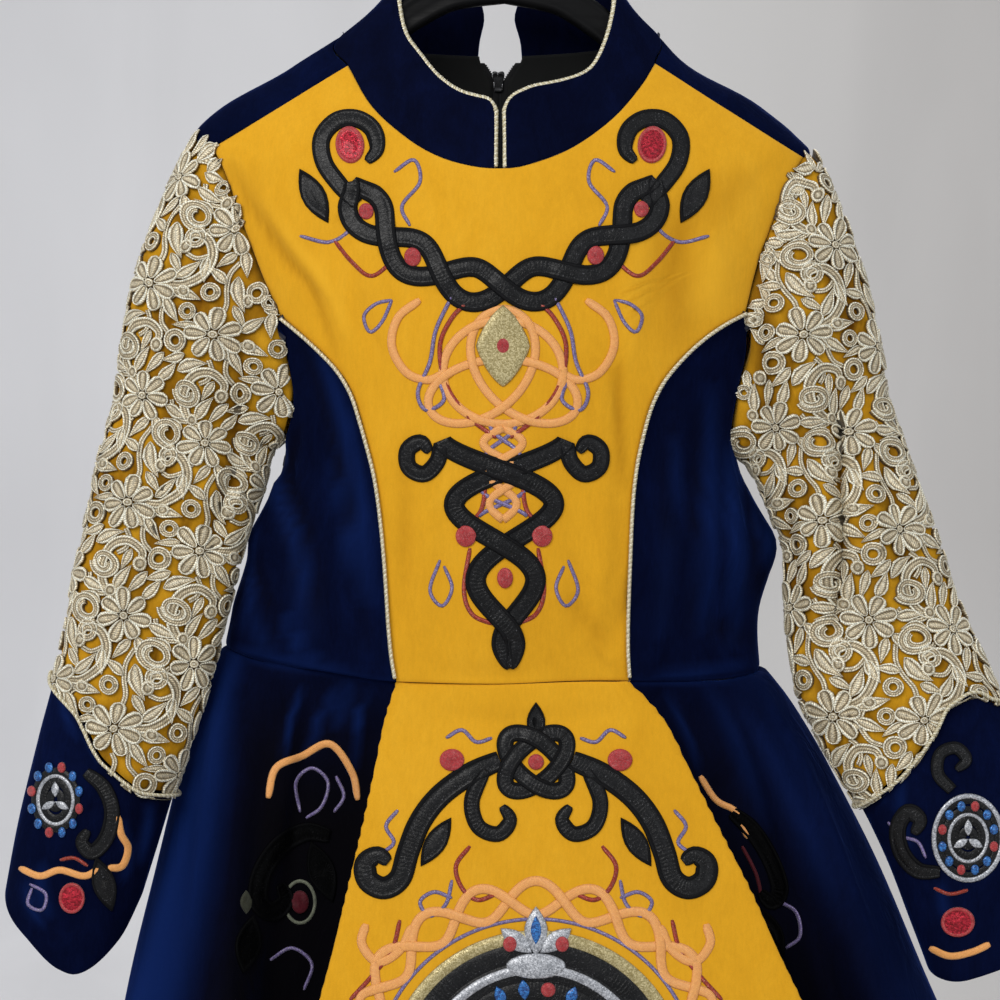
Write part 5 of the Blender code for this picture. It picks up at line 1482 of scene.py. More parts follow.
def back_piece(name, side, mat, replaces, back, seed):
    """The back: a full grid beside the zip, and an ear over the shoulder."""
    grid, rows, cols = back_grid(side)
    across, down = CUT["across"], CUT["shoulder"]
    full = array_of(grid, rows, cols, body)
    main, ear = full[:, :across + 1].copy(), full[:down + 1, across:].copy()
    m, e = main.copy(), ear.copy()
    every = slice(None)
    for _ in range(7):
        pull(main, m, 0, 1)
    pull(main, m, -1, -2)
    pull(main, m, (every, 0), (every, 1))
    pull(main, m, (slice(down + 1, None), -1), (slice(down + 1, None), -2))
    for _ in range(7):
        pull(ear, e, 0, 1)
    pull(ear, e, (every, -1), (every, -2))
    pull(ear, e, (-1, slice(1, None)), (-2, slice(1, None)))
    pos = np.array(sorted(set(edge_rows(rows)) | {down - x for x in RIM}))
    top = pos[pos <= down]
    main = resample(resample(main, pos, 0), edge_rows(across + 1), 1)
    ear = resample(resample(ear, top, 0), edge_rows(cols - across, start=False), 1)
    ear[:, 0] = main[:len(top), -1]
    k, w = main.shape[1], ear.shape[1]
    a = np.zeros((len(pos), k + w - 1, 3))
    a[:, :k] = main
    a[:, k:] = main[:, -1:]
    a[:len(top), k:] = ear[:, 1:]
    mask = np.ones((a.shape[0] - 1, a.shape[1] - 1), bool)
    mask[len(top) - 1:, k - 1:] = False
    n = masked_normals(a, mask)
    mid = np.stack([np.zeros(a.shape[:2]), np.zeros(a.shape[:2]), a[..., 2]], -1)
    if np.sum(n * (a - mid)) < 0:
        n = -n
    a, n = finish_sheet(a, n, name, back=back, seed=seed, wave=0.5, mask=mask)
    ob = shell(name, a, n, WALL, mat, mat_in=LINING_BLUE, mask=mask)
    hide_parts(replaces)
    SKINS[name] = (a, n, False, mask)
    return ob, a, mask


g, r, c = even_front()
front_ob, A = bodice_piece("front", g, r, c, YELLOW, "front_panel", FRONT_CREASES, seed=4)
FLAT["front"] = (front_ob, A)
# Painted shade along the front's folds, and painted highlight beside them (FRONT_LIT): amount, half width px, line.
FRONT_PAINTED_SHADE = [
    (0.55, 4.5, [(229, 160), (236, 176), (252, 206), (287, 258), (314, 292), (339, 362)]),
    (0.24, 14, [(240, 168), (262, 212), (296, 262), (322, 312)]),
    (0.56, 19, [(716, 178), (694, 206), (678, 240), (675, 280), (677, 320), (672, 362)]),
    (0.30, 12, [(682, 262), (684, 300), (680, 344)]),
    (0.55, 5.5, [(619, 350), (618, 396), (620, 440), (622, 490)]),
    (0.30, 16, [(752, 172), (724, 196), (704, 230)]),
    (0.26, 8, [(562, 592), (588, 622), (612, 658)]),
    (0.22, 6, [(584, 640), (604, 658), (622, 674)]),
    (0.20, 9, [(408, 430), (404, 520), (406, 600)]),
]
FRONT_LIT = [
    (0.50, 7, [(262, 196), (296, 246), (326, 284), (350, 340)]),
    (0.50, 18, [(728, 232), (716, 270), (706, 320)]),
    (0.35, 8, [(640, 210), (634, 300), (632, 380)]),
]
a, n = SKINS["front"][:2]
shade_skin(front_ob, painted_light_lines(a, n, FRONT_PAINTED_SHADE))
shade_skin(front_ob, painted_light_lines(a, n, FRONT_LIT), "lit")
for side, tag in ((-1, "left"), (1, "right")):
    g, r, c = side_front_grid(side, 5 * 4)
    ob, A = bodice_piece("side_front_" + tag + "_cloth", g, r, c, BLUE, "side_front_" + tag, SIDE_CREASES,
                         seed=6 + side)
    FLAT["side_front_" + tag] = (ob, A)
    a, n = SKINS["side_front_" + tag + "_cloth"][:2]
    # Painted highlight along the ridges and the seams, painted shade along the troughs.
    lit = painted_light_lines(a, n, [(0.13 * h, w * 1.5, line) for h, w, line, _l in SIDE_CREASES if h > 0] + SIDE_PAINTED_HIGHLIGHT)
    shade_skin(ob, np.maximum(lit, seam_painted_highlight(a, 0.10)), "lit")
    shade_skin(ob, painted_light_lines(a, n, [(0.22 * -h, w * 1.1, line) for h, w, line, _l in SIDE_CREASES if h < 0]))
    ob, A, held = back_piece("back_" + tag + "_cloth", side, BLUE, "back_" + tag, BACK_CREASES, 9 + side)
    FLAT["back_" + tag] = (ob, A)

# Collar: its front corners are rounded.
CORNER = 7.5
COLLAR_GRIDS = {}
for side, tag in ((-1, "left"), (1, "right")):
    g, r, c = collar_grid(side, 12)
    a = array_of(g, r, c)
    run = np.concatenate([[0], np.cumsum(np.linalg.norm(np.diff(a[0], axis=0), axis=1))])
    drop = CORNER - np.sqrt(np.maximum(CORNER ** 2 - np.maximum(CORNER - run, 0.0) ** 2, 0.0))
    tall = np.linalg.norm(a[0] - a[-1], axis=1)
    keep = 1.0 - drop / tall
    a = a[-1][None] + (a - a[-1][None]) * keep[None, :, None]
    back_run = run[-1] - run                # the ends behind bow towards each other
    bow = np.exp(-(back_run / 14.0) ** 2)[None] * np.exp(-((a[..., 2] + 87.0) / 9.5) ** 2)
    a[..., 0] -= side * bow * (2.9 if side < 0 else 3.8)
    COLLAR_GRIDS[side] = a.copy()
    rise = a[0] - a[-1]
    rise = rise / np.linalg.norm(rise, axis=1, keepdims=True)
    a = a - rise[None] * (1.5 * np.linspace(0, 1, r) ** 3)[:, None, None]
    a = inset_array(a)
    a = resample(a, edge_rows(r), 0)
    a = resample(a, edge_rows(c), 1)
    n = outward(a)
    a, n = finish_sheet(a, n, "collar", wave=0.35, seed=21 + side, depth=0.5, reach=2.0)
    sewn = a.copy()                         # behind, its foot goes in under the back's edge
    foot = 0 if a[0, :, 2].mean() < a[-1, :, 2].mean() else -1
    behind = np.clip((n[foot, :, 1] - 0.3) / 0.4, 0.0, 1.0)[:, None]
    sewn[foot] += behind * (np.array([0.0, 0.0, -1.5])[None] - n[foot] * 0.7)
    ob = shell("collar_" + tag + "_cloth", sewn, n, COLLAR_WALL, BLUE)
    # Painted shade over the whole collar, more on the left.
    shade_skin(ob, np.full(a.shape[:2], 0.34 if side < 0 else 0.26))
    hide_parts("collar_" + tag)
    SKINS["collar_" + tag] = (a, n, False, None)
    FLAT["collar_" + tag] = (ob, a)

# Skirt.
FALL_ROWS = [0, 3, 7, 12, 18, 24, 32, 41, 50, 62, 74, 86, 99, 112, 126, 140, 155, 170, 185, 200, 216, 232, 248,
             264, 280, 296, 312, 328, 344, 360, 374, 386, 394, 399]


def panel_pucker(a, n):
    """The stiffened panel's stitched edges draw up in small scallops."""
    d = border_distance(a, False, (False, True, True, True))
    z = a[..., 2]
    wavy = 0.5 + 0.5 * np.sin(-z / 7.4 * 2 * math.pi + 0.8 * np.sin(z / 31.0))
    t = np.exp(-(np.maximum(d - 2.5, 0) / 3.0) ** 2)
    return a + n * ((wavy - 0.5) * 1.1 * t)[..., None]


rows = FALL_ROWS
fine = []
for a0, b0 in zip(rows, rows[1:]):
    k = max(1, int(round((b0 - a0) / 3.6)))
    fine += [a0 + (b0 - a0) * i / k for i in range(k)]
fine.append(399.0)
cols = 64
a = np.array([[panel_at(j / cols, f) for j in range(cols + 1)] for f in fine])
a = inset_array(a)
a = resample(a, edge_rows(len(fine)), 0)
a = resample(a, edge_rows(cols + 1), 1)
n = outward(a)
a, n = finish_sheet(a, n, "skirt_front", wave=0.5, seed=31, depth=0.9, reach=3.0, creases=[
    (-1.6, 14, [(430, 700), (450, 716), (520, 722), (600, 714), (630, 700)], 0.2),
    (1.2, 20, [(470, 700), (470, 800), (455, 900), (440, 1000)], 0.2),
    (-1.4, 20, [(600, 720), (620, 800), (650, 900), (690, 1000)], 0.2)])
a = panel_pucker(a, n)
n2 = normals_of(a)
n = n2 if np.sum(n2 * n) > 0 else -n2
ob = shell("skirt_front_cloth", a, n, PANEL_WALL, YELLOW, mat_in=LINING)
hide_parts("skirt_front")
SKINS["skirt_front"] = (a, n, False, None)
FLAT["skirt_front"] = (ob, a)

for side, tag in ((-1, "left"), (1, "right")):
    steps = []
    for k, m in enumerate((6, 7, 10, 16, 15, 13)):
        steps += [k + i / m for i in range(m)]
    steps.append(6.0)
    fine2 = fine[::2] if (len(fine) - 1) % 2 == 0 else fine[::2] + [fine[-1]]
    a = np.array([[skirt_at(side, u, f) for u in steps] for f in fine2])
    a = inset_array(a, skip=("start",))
    a = resample(a, edge_rows(len(fine2)), 0)
    a = resample(a, edge_rows(len(steps), start=False), 1)
    n = outward(a)
    a, n = finish_sheet(a, n, "skirt_" + tag, creases=SKIRT_CREASES, back=BACK_SKIRT, wave=1.0, seed=41 + side,
                        edges=(True, True, False, True), depth=0.9, reach=3.5)
    # seam allowance: its top goes in behind the bodice, its back edges over each other
    sewn = a.copy()
    up = a[0] - a[2]
    up /= np.maximum(np.linalg.norm(up, axis=1, keepdims=True), 1e-9)
    sewn[0] += up * 1.6 - n[0] * 0.9
    sewn[1] += up * 0.5 - n[1] * 0.3
    sewn[:, -1, 0] -= side * 1.1
    sewn[:, -1, 1] -= 0.35
    ob = shell("skirt_" + tag + "_cloth", sewn, n, WALL, BLUE, mat_in=LINING)
    px, py = frame_xy(a)
    front = n[..., 1] < 0.05
    edge = np.where(front, px * side, -1e9).max(axis=1, keepdims=True)
    into = edge - px * side                              # px in from the skirt's outline
    fall_at = np.interp(edge_rows(len(fine2)), np.arange(len(fine2)), fine2)[:, None]
    # Painted shade that deepens from the outline into the pleat's valley, and painted highlight near the outline.
    if side < 0:
        wide = np.interp(fall_at, [0, 20, 60, 120, 400], [0.45, 0.55, 0.85, 1.05, 1.2])
        dark = np.interp(into / wide, [0, 46, 66, 84, 100, 400], [0.0, 0.0, 0.40, 0.78, 0.97, 1.0])
        dark *= np.interp(fall_at, [0, 14, 50, 90, 400], [0.15, 0.35, 0.80, 1.0, 1.0])
        lit = np.interp(into / wide, [0, 7, 18, 36, 52, 66], [0.42, 0.66, 0.50, 0.36, 0.12, 0.0])
        lit *= np.interp(fall_at, [0, 10, 40, 400], [0.55, 0.8, 1.0, 1.0])
    else:
        wide = np.interp(fall_at, [0, 60, 120, 400], [0.8, 1.0, 1.1, 1.3])
        dark = np.interp(into / wide, [0, 25, 50, 75, 100, 400], [0.10, 0.20, 0.45, 0.72, 0.95, 1.0])
        dark *= np.interp(fall_at, [0, 14, 60, 120, 400], [0.0, 0.25, 0.55, 0.85, 1.0])
        lit = np.interp(into / wide, [0, 8, 30, 60], [0.08, 0.12, 0.06, 0.0]) + 0.0 * fall_at
    seen = np.clip(0.5 - n[..., 1] * 1.5, 0.0, 1.0)
    lit = np.maximum(lit * seen, painted_light_lines(a, n, SKIRT_PAINTED_HIGHLIGHT))
    # Painted highlight along the waist seam at the skirt's top.
    waist_painted_highlight = 0.16 * np.exp(-(fall_at / 2.2) ** 2) + 0.0 * lit
    shade_skin(ob, np.maximum(lit, waist_painted_highlight), "lit")
    shade_skin(ob, dark * seen * (1.0 - np.clip(painted_light_lines(a, n, SKIRT_PAINTED_HIGHLIGHT) * 2.2, 0, 1)))
    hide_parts("skirt_" + tag)
    SKINS["skirt_" + tag] = (a, n, False, None)
    FLAT["skirt_" + tag] = (ob, a)

# Sleeves and cuffs: their creases are shared by the lace that lies over them.
SLEEVE_CREASES = {
    -1: [(-3.2, 9, [(262, 262), (248, 310), (240, 372), (236, 440), (226, 500), (214, 560)], 0.4),
         (2.2, 10, [(226, 240), (214, 320), (206, 400), (196, 480)], 0.3),
         (-3.0, 9, [(178, 330), (176, 400), (164, 480), (150, 560), (138, 640)], 0.4),
         (2.0, 9, [(150, 360), (140, 440), (124, 530), (108, 620)], 0.3),
         (-2.6, 8, [(272, 430), (240, 470), (216, 520), (206, 590)], 0.3),
         (-2.4, 9, [(196, 600), (190, 650), (180, 700), (168, 750)], 0.3)],
    1: [(-2.6, 9, [(760, 250), (764, 320), (768, 390), (776, 440)], 0.3),
        (3.0, 11, [(800, 300), (812, 370), (820, 440), (826, 520), (822, 590), (812, 650)], 0.5),
        (-9.0, 7, [(842, 380), (843, 430), (843, 490), (843, 550), (838, 600), (828, 650)], 0.6),
        (-2.4, 9, [(880, 420), (890, 480), (902, 550), (918, 620)], 0.3),
        (2.0, 10, [(862, 400), (868, 470), (880, 560), (884, 640)], 0.3),
        (-2.6, 8, [(780, 460), (790, 520), (796, 580), (802, 650)], 0.3),
        (-2.2, 9, [(840, 660), (850, 710), (856, 760)], 0.3)]}
SLEEVE_BACK = {
    -1: [(-3.0, 9, [(250, 280), (240, 350), (226, 430), (210, 510), (196, 600)], 0.4),
         (2.2, 10, [(196, 300), (190, 380), (176, 470), (158, 560)], 0.3),
         (-2.6, 9, [(160, 400), (140, 480), (120, 570), (100, 660)], 0.3)],
    1: [(-3.0, 9, [(780, 280), (790, 350), (806, 430), (826, 510), (850, 600)], 0.4),
        (2.2, 10, [(830, 300), (844, 380), (866, 470), (890, 560)], 0.3),
        (-2.6, 9, [(880, 420), (904, 500), (930, 590), (950, 670)], 0.3)]}


def sleeve_centre(side):
    """The middle line inside a sleeve, for telling in from out."""
    def fn(a):
        rows = a.shape[0]
        return np.repeat(a.mean(axis=1, keepdims=True), a.shape[1], axis=1)
    return fn


# Painted highlights along folds of the cuffs: amount, half width px, line.
CUFF_PAINTED_HIGHLIGHT = [
    (0.30, 4.0, [(70, 672), (62, 690), (66, 716), (80, 742)]),
    (0.30, 3.5, [(92, 700), (86, 720), (90, 744), (98, 764)]),
    (0.24, 7.0, [(44, 860), (40, 890), (52, 920)]),
    (0.30, 5.0, [(26, 880), (30, 906), (44, 926)]),
    (0.22, 5.0, [(122, 820), (128, 850), (124, 884)]),
    (0.26, 6.0, [(150, 800), (148, 830), (140, 866)]),
    (0.26, 5.0, [(884, 740), (878, 772), (884, 806)]),
    (0.22, 6.0, [(906, 760), (900, 800), (908, 850)]),
    (0.22, 6.0, [(940, 880), (944, 910), (956, 930)]),
]

# Painted shade on the sleeve cloth where it folds under its lace.
SLEEVE_PAINTED_SHADE = {
    -1: [(0.80, 9, [(262, 200), (256, 240), (262, 290), (270, 340)]),
         (0.80, 8, [(228, 350), (222, 390), (228, 430)]), (0.75, 8, [(150, 470), (154, 520), (146, 570)]),
         (0.80, 9, [(120, 590), (112, 630), (104, 670)]), (0.75, 8, [(188, 180), (184, 220), (196, 250)]),
         (0.70, 7, [(216, 620), (206, 670), (200, 720)]), (0.70, 8, [(166, 270), (160, 320), (168, 350)]),
        (0.92, 5, [(183, 210), (178, 264), (174, 326), (178, 396)]), (0.90, 5, [(214, 360), (212, 400), (206, 440)]),
        (0.90, 5, [(244, 350), (240, 392), (244, 430)]), (0.92, 5, [(226, 226), (222, 262), (228, 300)]),
        (0.90, 5, [(196, 470), (186, 520), (180, 580)]), (0.90, 5, [(140, 430), (132, 480), (128, 530)]),
        (0.90, 5, [(230, 480), (222, 540), (216, 590)]), (0.90, 5, [(160, 610), (154, 660), (150, 710)])],
    1: [(0.80, 9, [(760, 210), (752, 260), (744, 300), (746, 350)]),
        (0.80, 9, [(800, 420), (808, 480), (806, 530)]), (0.75, 8, [(868, 560), (880, 610), (896, 650)]),
        (0.75, 9, [(830, 240), (838, 290), (846, 330)]), (0.70, 8, [(914, 600), (930, 640), (948, 676)]),
        (0.70, 8, [(806, 620), (816, 670), (830, 720)]),
        (0.92, 5, [(822, 214), (828, 268), (836, 330)]), (0.90, 5, [(788, 300), (792, 350), (786, 400)]),
        (0.90, 5, [(846, 400), (856, 450), (862, 500)]), (0.90, 5, [(776, 440), (786, 500), (800, 560)]),
        (0.90, 5, [(836, 520), (850, 580), (866, 640)]), (0.90, 5, [(900, 520), (912, 570), (926, 620)]),
        (0.90, 5, [(850, 660), (862, 700), (880, 730)])]}

CAP, TUBE = 24, 60
SLEEVES = {}
for side, tag in ((-1, "left"), (1, "right")):
    g, r, c = sleeve_grid(side, CAP, TUBE)
    a = array_of(g, r, c)
    a = inset_array(a, wrap=True)
    n = outward(a, True, sleeve_centre(side))
    a, n = finish_sheet(a, n, "sleeve_" + tag, wrap=True, creases=SLEEVE_CREASES[side], back=SLEEVE_BACK[side],
                        wave=0.8, seed=51 + side, edges=(True, False, False, False), depth=0.8, reach=3.0)
    run = a[-1] - a[-4]
    run /= np.linalg.norm(run, axis=1, keepdims=True)
    a[-1] += run * 2.6
    a[-2] += run * 1.3
    SLEEVES[side] = (a, n)
    worn = a.copy()                  # its top goes a little way in behind the bodice's edge
    rise = a[0] - a[3]
    rise /= np.maximum(np.linalg.norm(rise, axis=1, keepdims=True), 1e-9)
    worn[0] += rise * 2.4 - n[1] * 1.5
    worn[2] += rise * 0.4
    ob = shell("sleeve_" + tag + "_cloth", worn[::2], n[::2], SLEEVE_WALL, YELLOW_CLOTH, wrap=True)
    # Painted shade along the sleeve's troughs and where it folds under the lace.
    painted_shade = painted_light_lines(a, n, [(0.85, w * 1.5, line) for h, w, line, _l in SLEEVE_CREASES[side] if h < 0] + SLEEVE_PAINTED_SHADE[side])
    shade_skin(ob, painted_shade[::2])
    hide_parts("sleeve_" + tag)
    FLAT["sleeve_" + tag] = (ob, a)

    g, r, c = cuff_grid(side, 30)
    a = array_of(g, r, c)
    a = inset_array(a, wrap=True)
    a = resample(a, edge_rows(r), 0)
    n = outward(a, True, sleeve_centre(side))
    a, n = finish_sheet(a, n, "cuff_" + tag, wrap=True, wave=0.7, seed=61 + side,
                        edges=(True, True, False, False), depth=0.9, reach=3.0,
                        creases=[(-1.8, 9, [(90, 720), (100, 760), (112, 800)], 0.3),
                                 (-2.2, 12, [(150, 780), (140, 830), (118, 880)], 0.3),
                                 (-1.6, 10, [(40, 900), (60, 920), (90, 930)], 0.3),
                                 (-1.8, 10, [(900, 740), (880, 780), (872, 830)], 0.3)])
    ob = shell("cuff_" + tag + "_cloth", a, n, WALL, BLUE, wrap=True)
    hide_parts("cuff_" + tag)
    SKINS["cuff_" + tag] = (a, n, True, None)
    shade_skin(ob, painted_light_lines(a, n, CUFF_PAINTED_HIGHLIGHT), "lit")
    FLAT["cuff_" + tag] = (ob, a)

# ------------------------------------------------------------------ lace

def flatten(p, wrap_from=0):
    """Lays an open grid (rows, cols, 3) flat with its lengths kept as well as
    they can be (as rigid as possible, solved on the grid itself)."""
    rows, cols = p.shape[:2]
    ids = np.arange(rows * cols).reshape(rows, cols)
    v = p.reshape(-1, 3)
    tris = []
    for i in range(rows - 1):
        for j in range(cols - 1):
            a, b, c, d = ids[i, j], ids[i, j + 1], ids[i + 1, j + 1], ids[i + 1, j]
            tris += [(a, b, c), (a, c, d), (a, b, d), (b, c, d)]
    tris = np.array(tris)
    # each triangle laid flat by itself
    e1 = v[tris[:, 1]] - v[tris[:, 0]]
    e2 = v[tris[:, 2]] - v[tris[:, 0]]
    l1 = np.maximum(np.linalg.norm(e1, axis=1), 1e-6)
    x2 = np.sum(e1 * e2, axis=1) / l1
    y2 = np.sqrt(np.maximum(np.sum(e2 * e2, axis=1) - x2 ** 2, 1e-9))
    local = np.zeros((len(tris), 3, 2))
    local[:, 1, 0] = l1
    local[:, 2, 0], local[:, 2, 1] = x2, y2
    # start: rows at their heights, columns by their arc
    mid = cols // 2
    down = np.concatenate([[0], np.cumsum(np.linalg.norm(np.diff(p[:, mid], axis=0), axis=1))])
    along = np.hstack([np.zeros((rows, 1)), np.cumsum(np.linalg.norm(np.diff(p, axis=1), axis=2), axis=1)])
    along -= along[:, mid:mid + 1]
    q = np.stack([along, np.repeat(down[:, None], cols, 1)], -1).reshape(-1, 2)
    n = len(v)
    lap = np.zeros((n, n))
    wts = np.zeros((len(tris), 3))
    for k in range(3):
        a, b, c = local[:, k], local[:, (k + 1) % 3], local[:, (k + 2) % 3]
        u, w = a - c, b - c
        cot = np.sum(u * w, 1) / np.maximum(np.abs(u[:, 0] * w[:, 1] - u[:, 1] * w[:, 0]), 1e-9)
        wts[:, k] = np.clip(cot, 0.02, 8.0)
        i, j = tris[:, k], tris[:, (k + 1) % 3]
        np.add.at(lap, (i, i), wts[:, k])
        np.add.at(lap, (j, j), wts[:, k])
        np.add.at(lap, (i, j), -wts[:, k])
        np.add.at(lap, (j, i), -wts[:, k])
    lap[0, 0] += 1e-3
    inv = np.linalg.inv(lap + np.eye(n) * 1e-9)
    for _ in range(30):
        cov = np.zeros((len(tris), 2, 2))
        for k in range(3):
            d_now = q[tris[:, k]] - q[tris[:, (k + 1) % 3]]
            d_loc = local[:, k] - local[:, (k + 1) % 3]
            cov += wts[:, k, None, None] * d_now[:, :, None] * d_loc[:, None, :]
        # nearest rotation, the same hand as the start
        ang = np.arctan2(cov[:, 1, 0] - cov[:, 0, 1], cov[:, 0, 0] + cov[:, 1, 1])
        det = cov[:, 0, 0] * cov[:, 1, 1] - cov[:, 0, 1] * cov[:, 1, 0]
        c, s = np.cos(ang), np.sin(ang)
        rhs = np.zeros((n, 2))
        for k in range(3):
            d_loc = local[:, k] - local[:, (k + 1) % 3]
            r = np.stack([c * d_loc[:, 0] - s * d_loc[:, 1], s * d_loc[:, 0] + c * d_loc[:, 1]], 1) * wts[:, k, None]
            np.add.at(rhs, tris[:, k], r)
            np.add.at(rhs, tris[:, (k + 1) % 3], -r)
        q = inv @ rhs
    return q.reshape(rows, cols, 2)


BODY_SKIN = Skin([SKINS[k] for k in ("front", "side_front_left_cloth", "side_front_right_cloth",
                                     "back_left_cloth", "back_right_cloth")])


class Cloth:
    """A sleeve laid flat: flat (x, y) in mm to a point and normal of it."""

    def __init__(self, side):
        a, n = SLEEVES[side]
        cols = a.shape[1]
        turns = np.array(sleeve_turns(side))
        cut = int(np.argmin(np.abs(turns - 250.0)))       # the seam, behind
        order = [(cut + k) % cols for k in range(cols)] + [cut]
        self.order = order
        # above the seam the lace lies over the bodice
        rise = a[0] - a[1]
        rise /= np.maximum(np.linalg.norm(rise, axis=1, keepdims=True), 1e-9)
        top_p, top_n = [], []
        for far in (7.0, 3.2):
            q = np.array([BODY_SKIN.near(v) for v in a[0] + rise * far])
            top_p.append(q[:, 0] + q[:, 1] * 0.25)
            top_n.append(q[:, 1])
        top_p.append(a[0] + n[1] * 0.9)
        top_n.append(n[1])
        a = np.concatenate([np.array(top_p), a[1:]], axis=0)
        n = np.concatenate([np.array(top_n), n[1:]], axis=0)
        p, nn = a[:, order], n[:, order]
        step_r, step_c = 4, 4
        ri = [0, 1, 2] + list(range(3, p.shape[0] - 1, step_r)) + [p.shape[0] - 1]
        ci = list(range(0, p.shape[1] - 1, step_c)) + [p.shape[1] - 1]
        coarse = p[np.ix_(ri, ci)]
        if side > 0:
            pass
        q = flatten(coarse)
        # back to the fine grid
        rows = np.interp(np.arange(p.shape[0]), ri, np.arange(len(ri)))
        colsf = np.interp(np.arange(p.shape[1]), ci, np.arange(len(ci)))
        q = resample(resample(q, rows, 0), colsf, 1)
        # upright: the sleeve's run is +y, the viewer's right is +x
        m = p.shape[1] // 2
        self.p, self.nn = p, nn
        run = q[-1, m] - q[p.shape[0] // 2, m]
        ang = math.atan2(run[0], run[1])
        c, s = math.cos(ang), math.sin(ang)
        q = np.stack([q[..., 0] * c - q[..., 1] * s, q[..., 0] * s + q[..., 1] * c], -1)
        k0 = int(np.argmin(np.abs(turns[order[:-1]] - 60.0)))
        k1 = int(np.argmin(np.abs(turns[order[:-1]] - 120.0)))
        r = p.shape[0] // 2
        if (q[r, k1, 0] - q[r, k0, 0]) * (p[r, k1, 0] - p[r, k0, 0]) < 0:
            q[..., 0] = -q[..., 0]
        self.q = q
        f = grid_faces(p.shape[0], p.shape[1])
        self.t = np.vstack([f[:, [0, 1, 2]], f[:, [0, 2, 3]]])
        flat = q.reshape(-1, 2)
        self.fq = flat
        self.fp, self.fn = p.reshape(-1, 3), nn.reshape(-1, 3)
        self.tree = BVHTree.FromPolygons([(x, y, 0.0) for x, y in flat], self.t.tolist())
        self.skin = Skin([(p, nn, False, None)])
        self.side = side
        self.slack = 11.0
        # its flat borders: the top row, the cuff's row and the two sides
        self.top = q[0]
        self.low = q[-1]
        self.left, self.right = q[:, 0], q[:, -1]

    def at(self, x, y):
        """Points a little off the cloth are drawn in to its border."""
        loc, _n, index, _d = self.tree.ray_cast(Vector((x, y, 10.0)), Vector((0, 0, -1)))
        if loc is None:
            loc, _n, index, d = self.tree.find_nearest(Vector((x, y, 0.0)))
            row = (index % (len(self.t) // 2)) // (self.p.shape[1] - 1)
            if d > (2.0 if row < 2 else self.slack):
                return None
            x, y = loc[0], loc[1]
        a, b, c = self.t[index]
        qa, qb, qc = self.fq[a], self.fq[b], self.fq[c]
        d = (qb[0] - qa[0]) * (qc[1] - qa[1]) - (qc[0] - qa[0]) * (qb[1] - qa[1])
        w1 = ((x - qa[0]) * (qc[1] - qa[1]) - (qc[0] - qa[0]) * (y - qa[1])) / d
        w2 = ((qb[0] - qa[0]) * (y - qa[1]) - (x - qa[0]) * (qb[1] - qa[1])) / d
        w0 = 1 - w1 - w2
        p = self.fp[a] * w0 + self.fp[b] * w1 + self.fp[c] * w2
        n = self.fn[a] * w0 + self.fn[b] * w1 + self.fn[c] * w2
        return p, n / max(np.linalg.norm(n), 1e-9)

    def flat_of_pixel(self, px, py):
        """The flat point of the sleeve seen at a pixel."""
        aim = Vector(((px - 505.0) * 0.6 - EYE_X, EYE, -(85.0 + 0.6 * py) + EYE_DROP)).normalized()
        loc, _n, index, _d = self.skin.tree.ray_cast(self.skin.eye, aim)
        if loc is None:
            return None
        a, b, c = self.t[index]
        va, vb, vc = self.fp[a], self.fp[b], self.fp[c]
        p = np.array(loc)
        e0, e1, e2 = vb - va, vc - va, p - va
        d00, d01, d11, d20, d21 = e0 @ e0, e0 @ e1, e1 @ e1, e2 @ e0, e2 @ e1
        den = max(d00 * d11 - d01 * d01, 1e-12)
        w1, w2 = (d11 * d20 - d01 * d21) / den, (d00 * d21 - d01 * d20) / den
        return self.fq[a] * (1 - w1 - w2) + self.fq[b] * w1 + self.fq[c] * w2


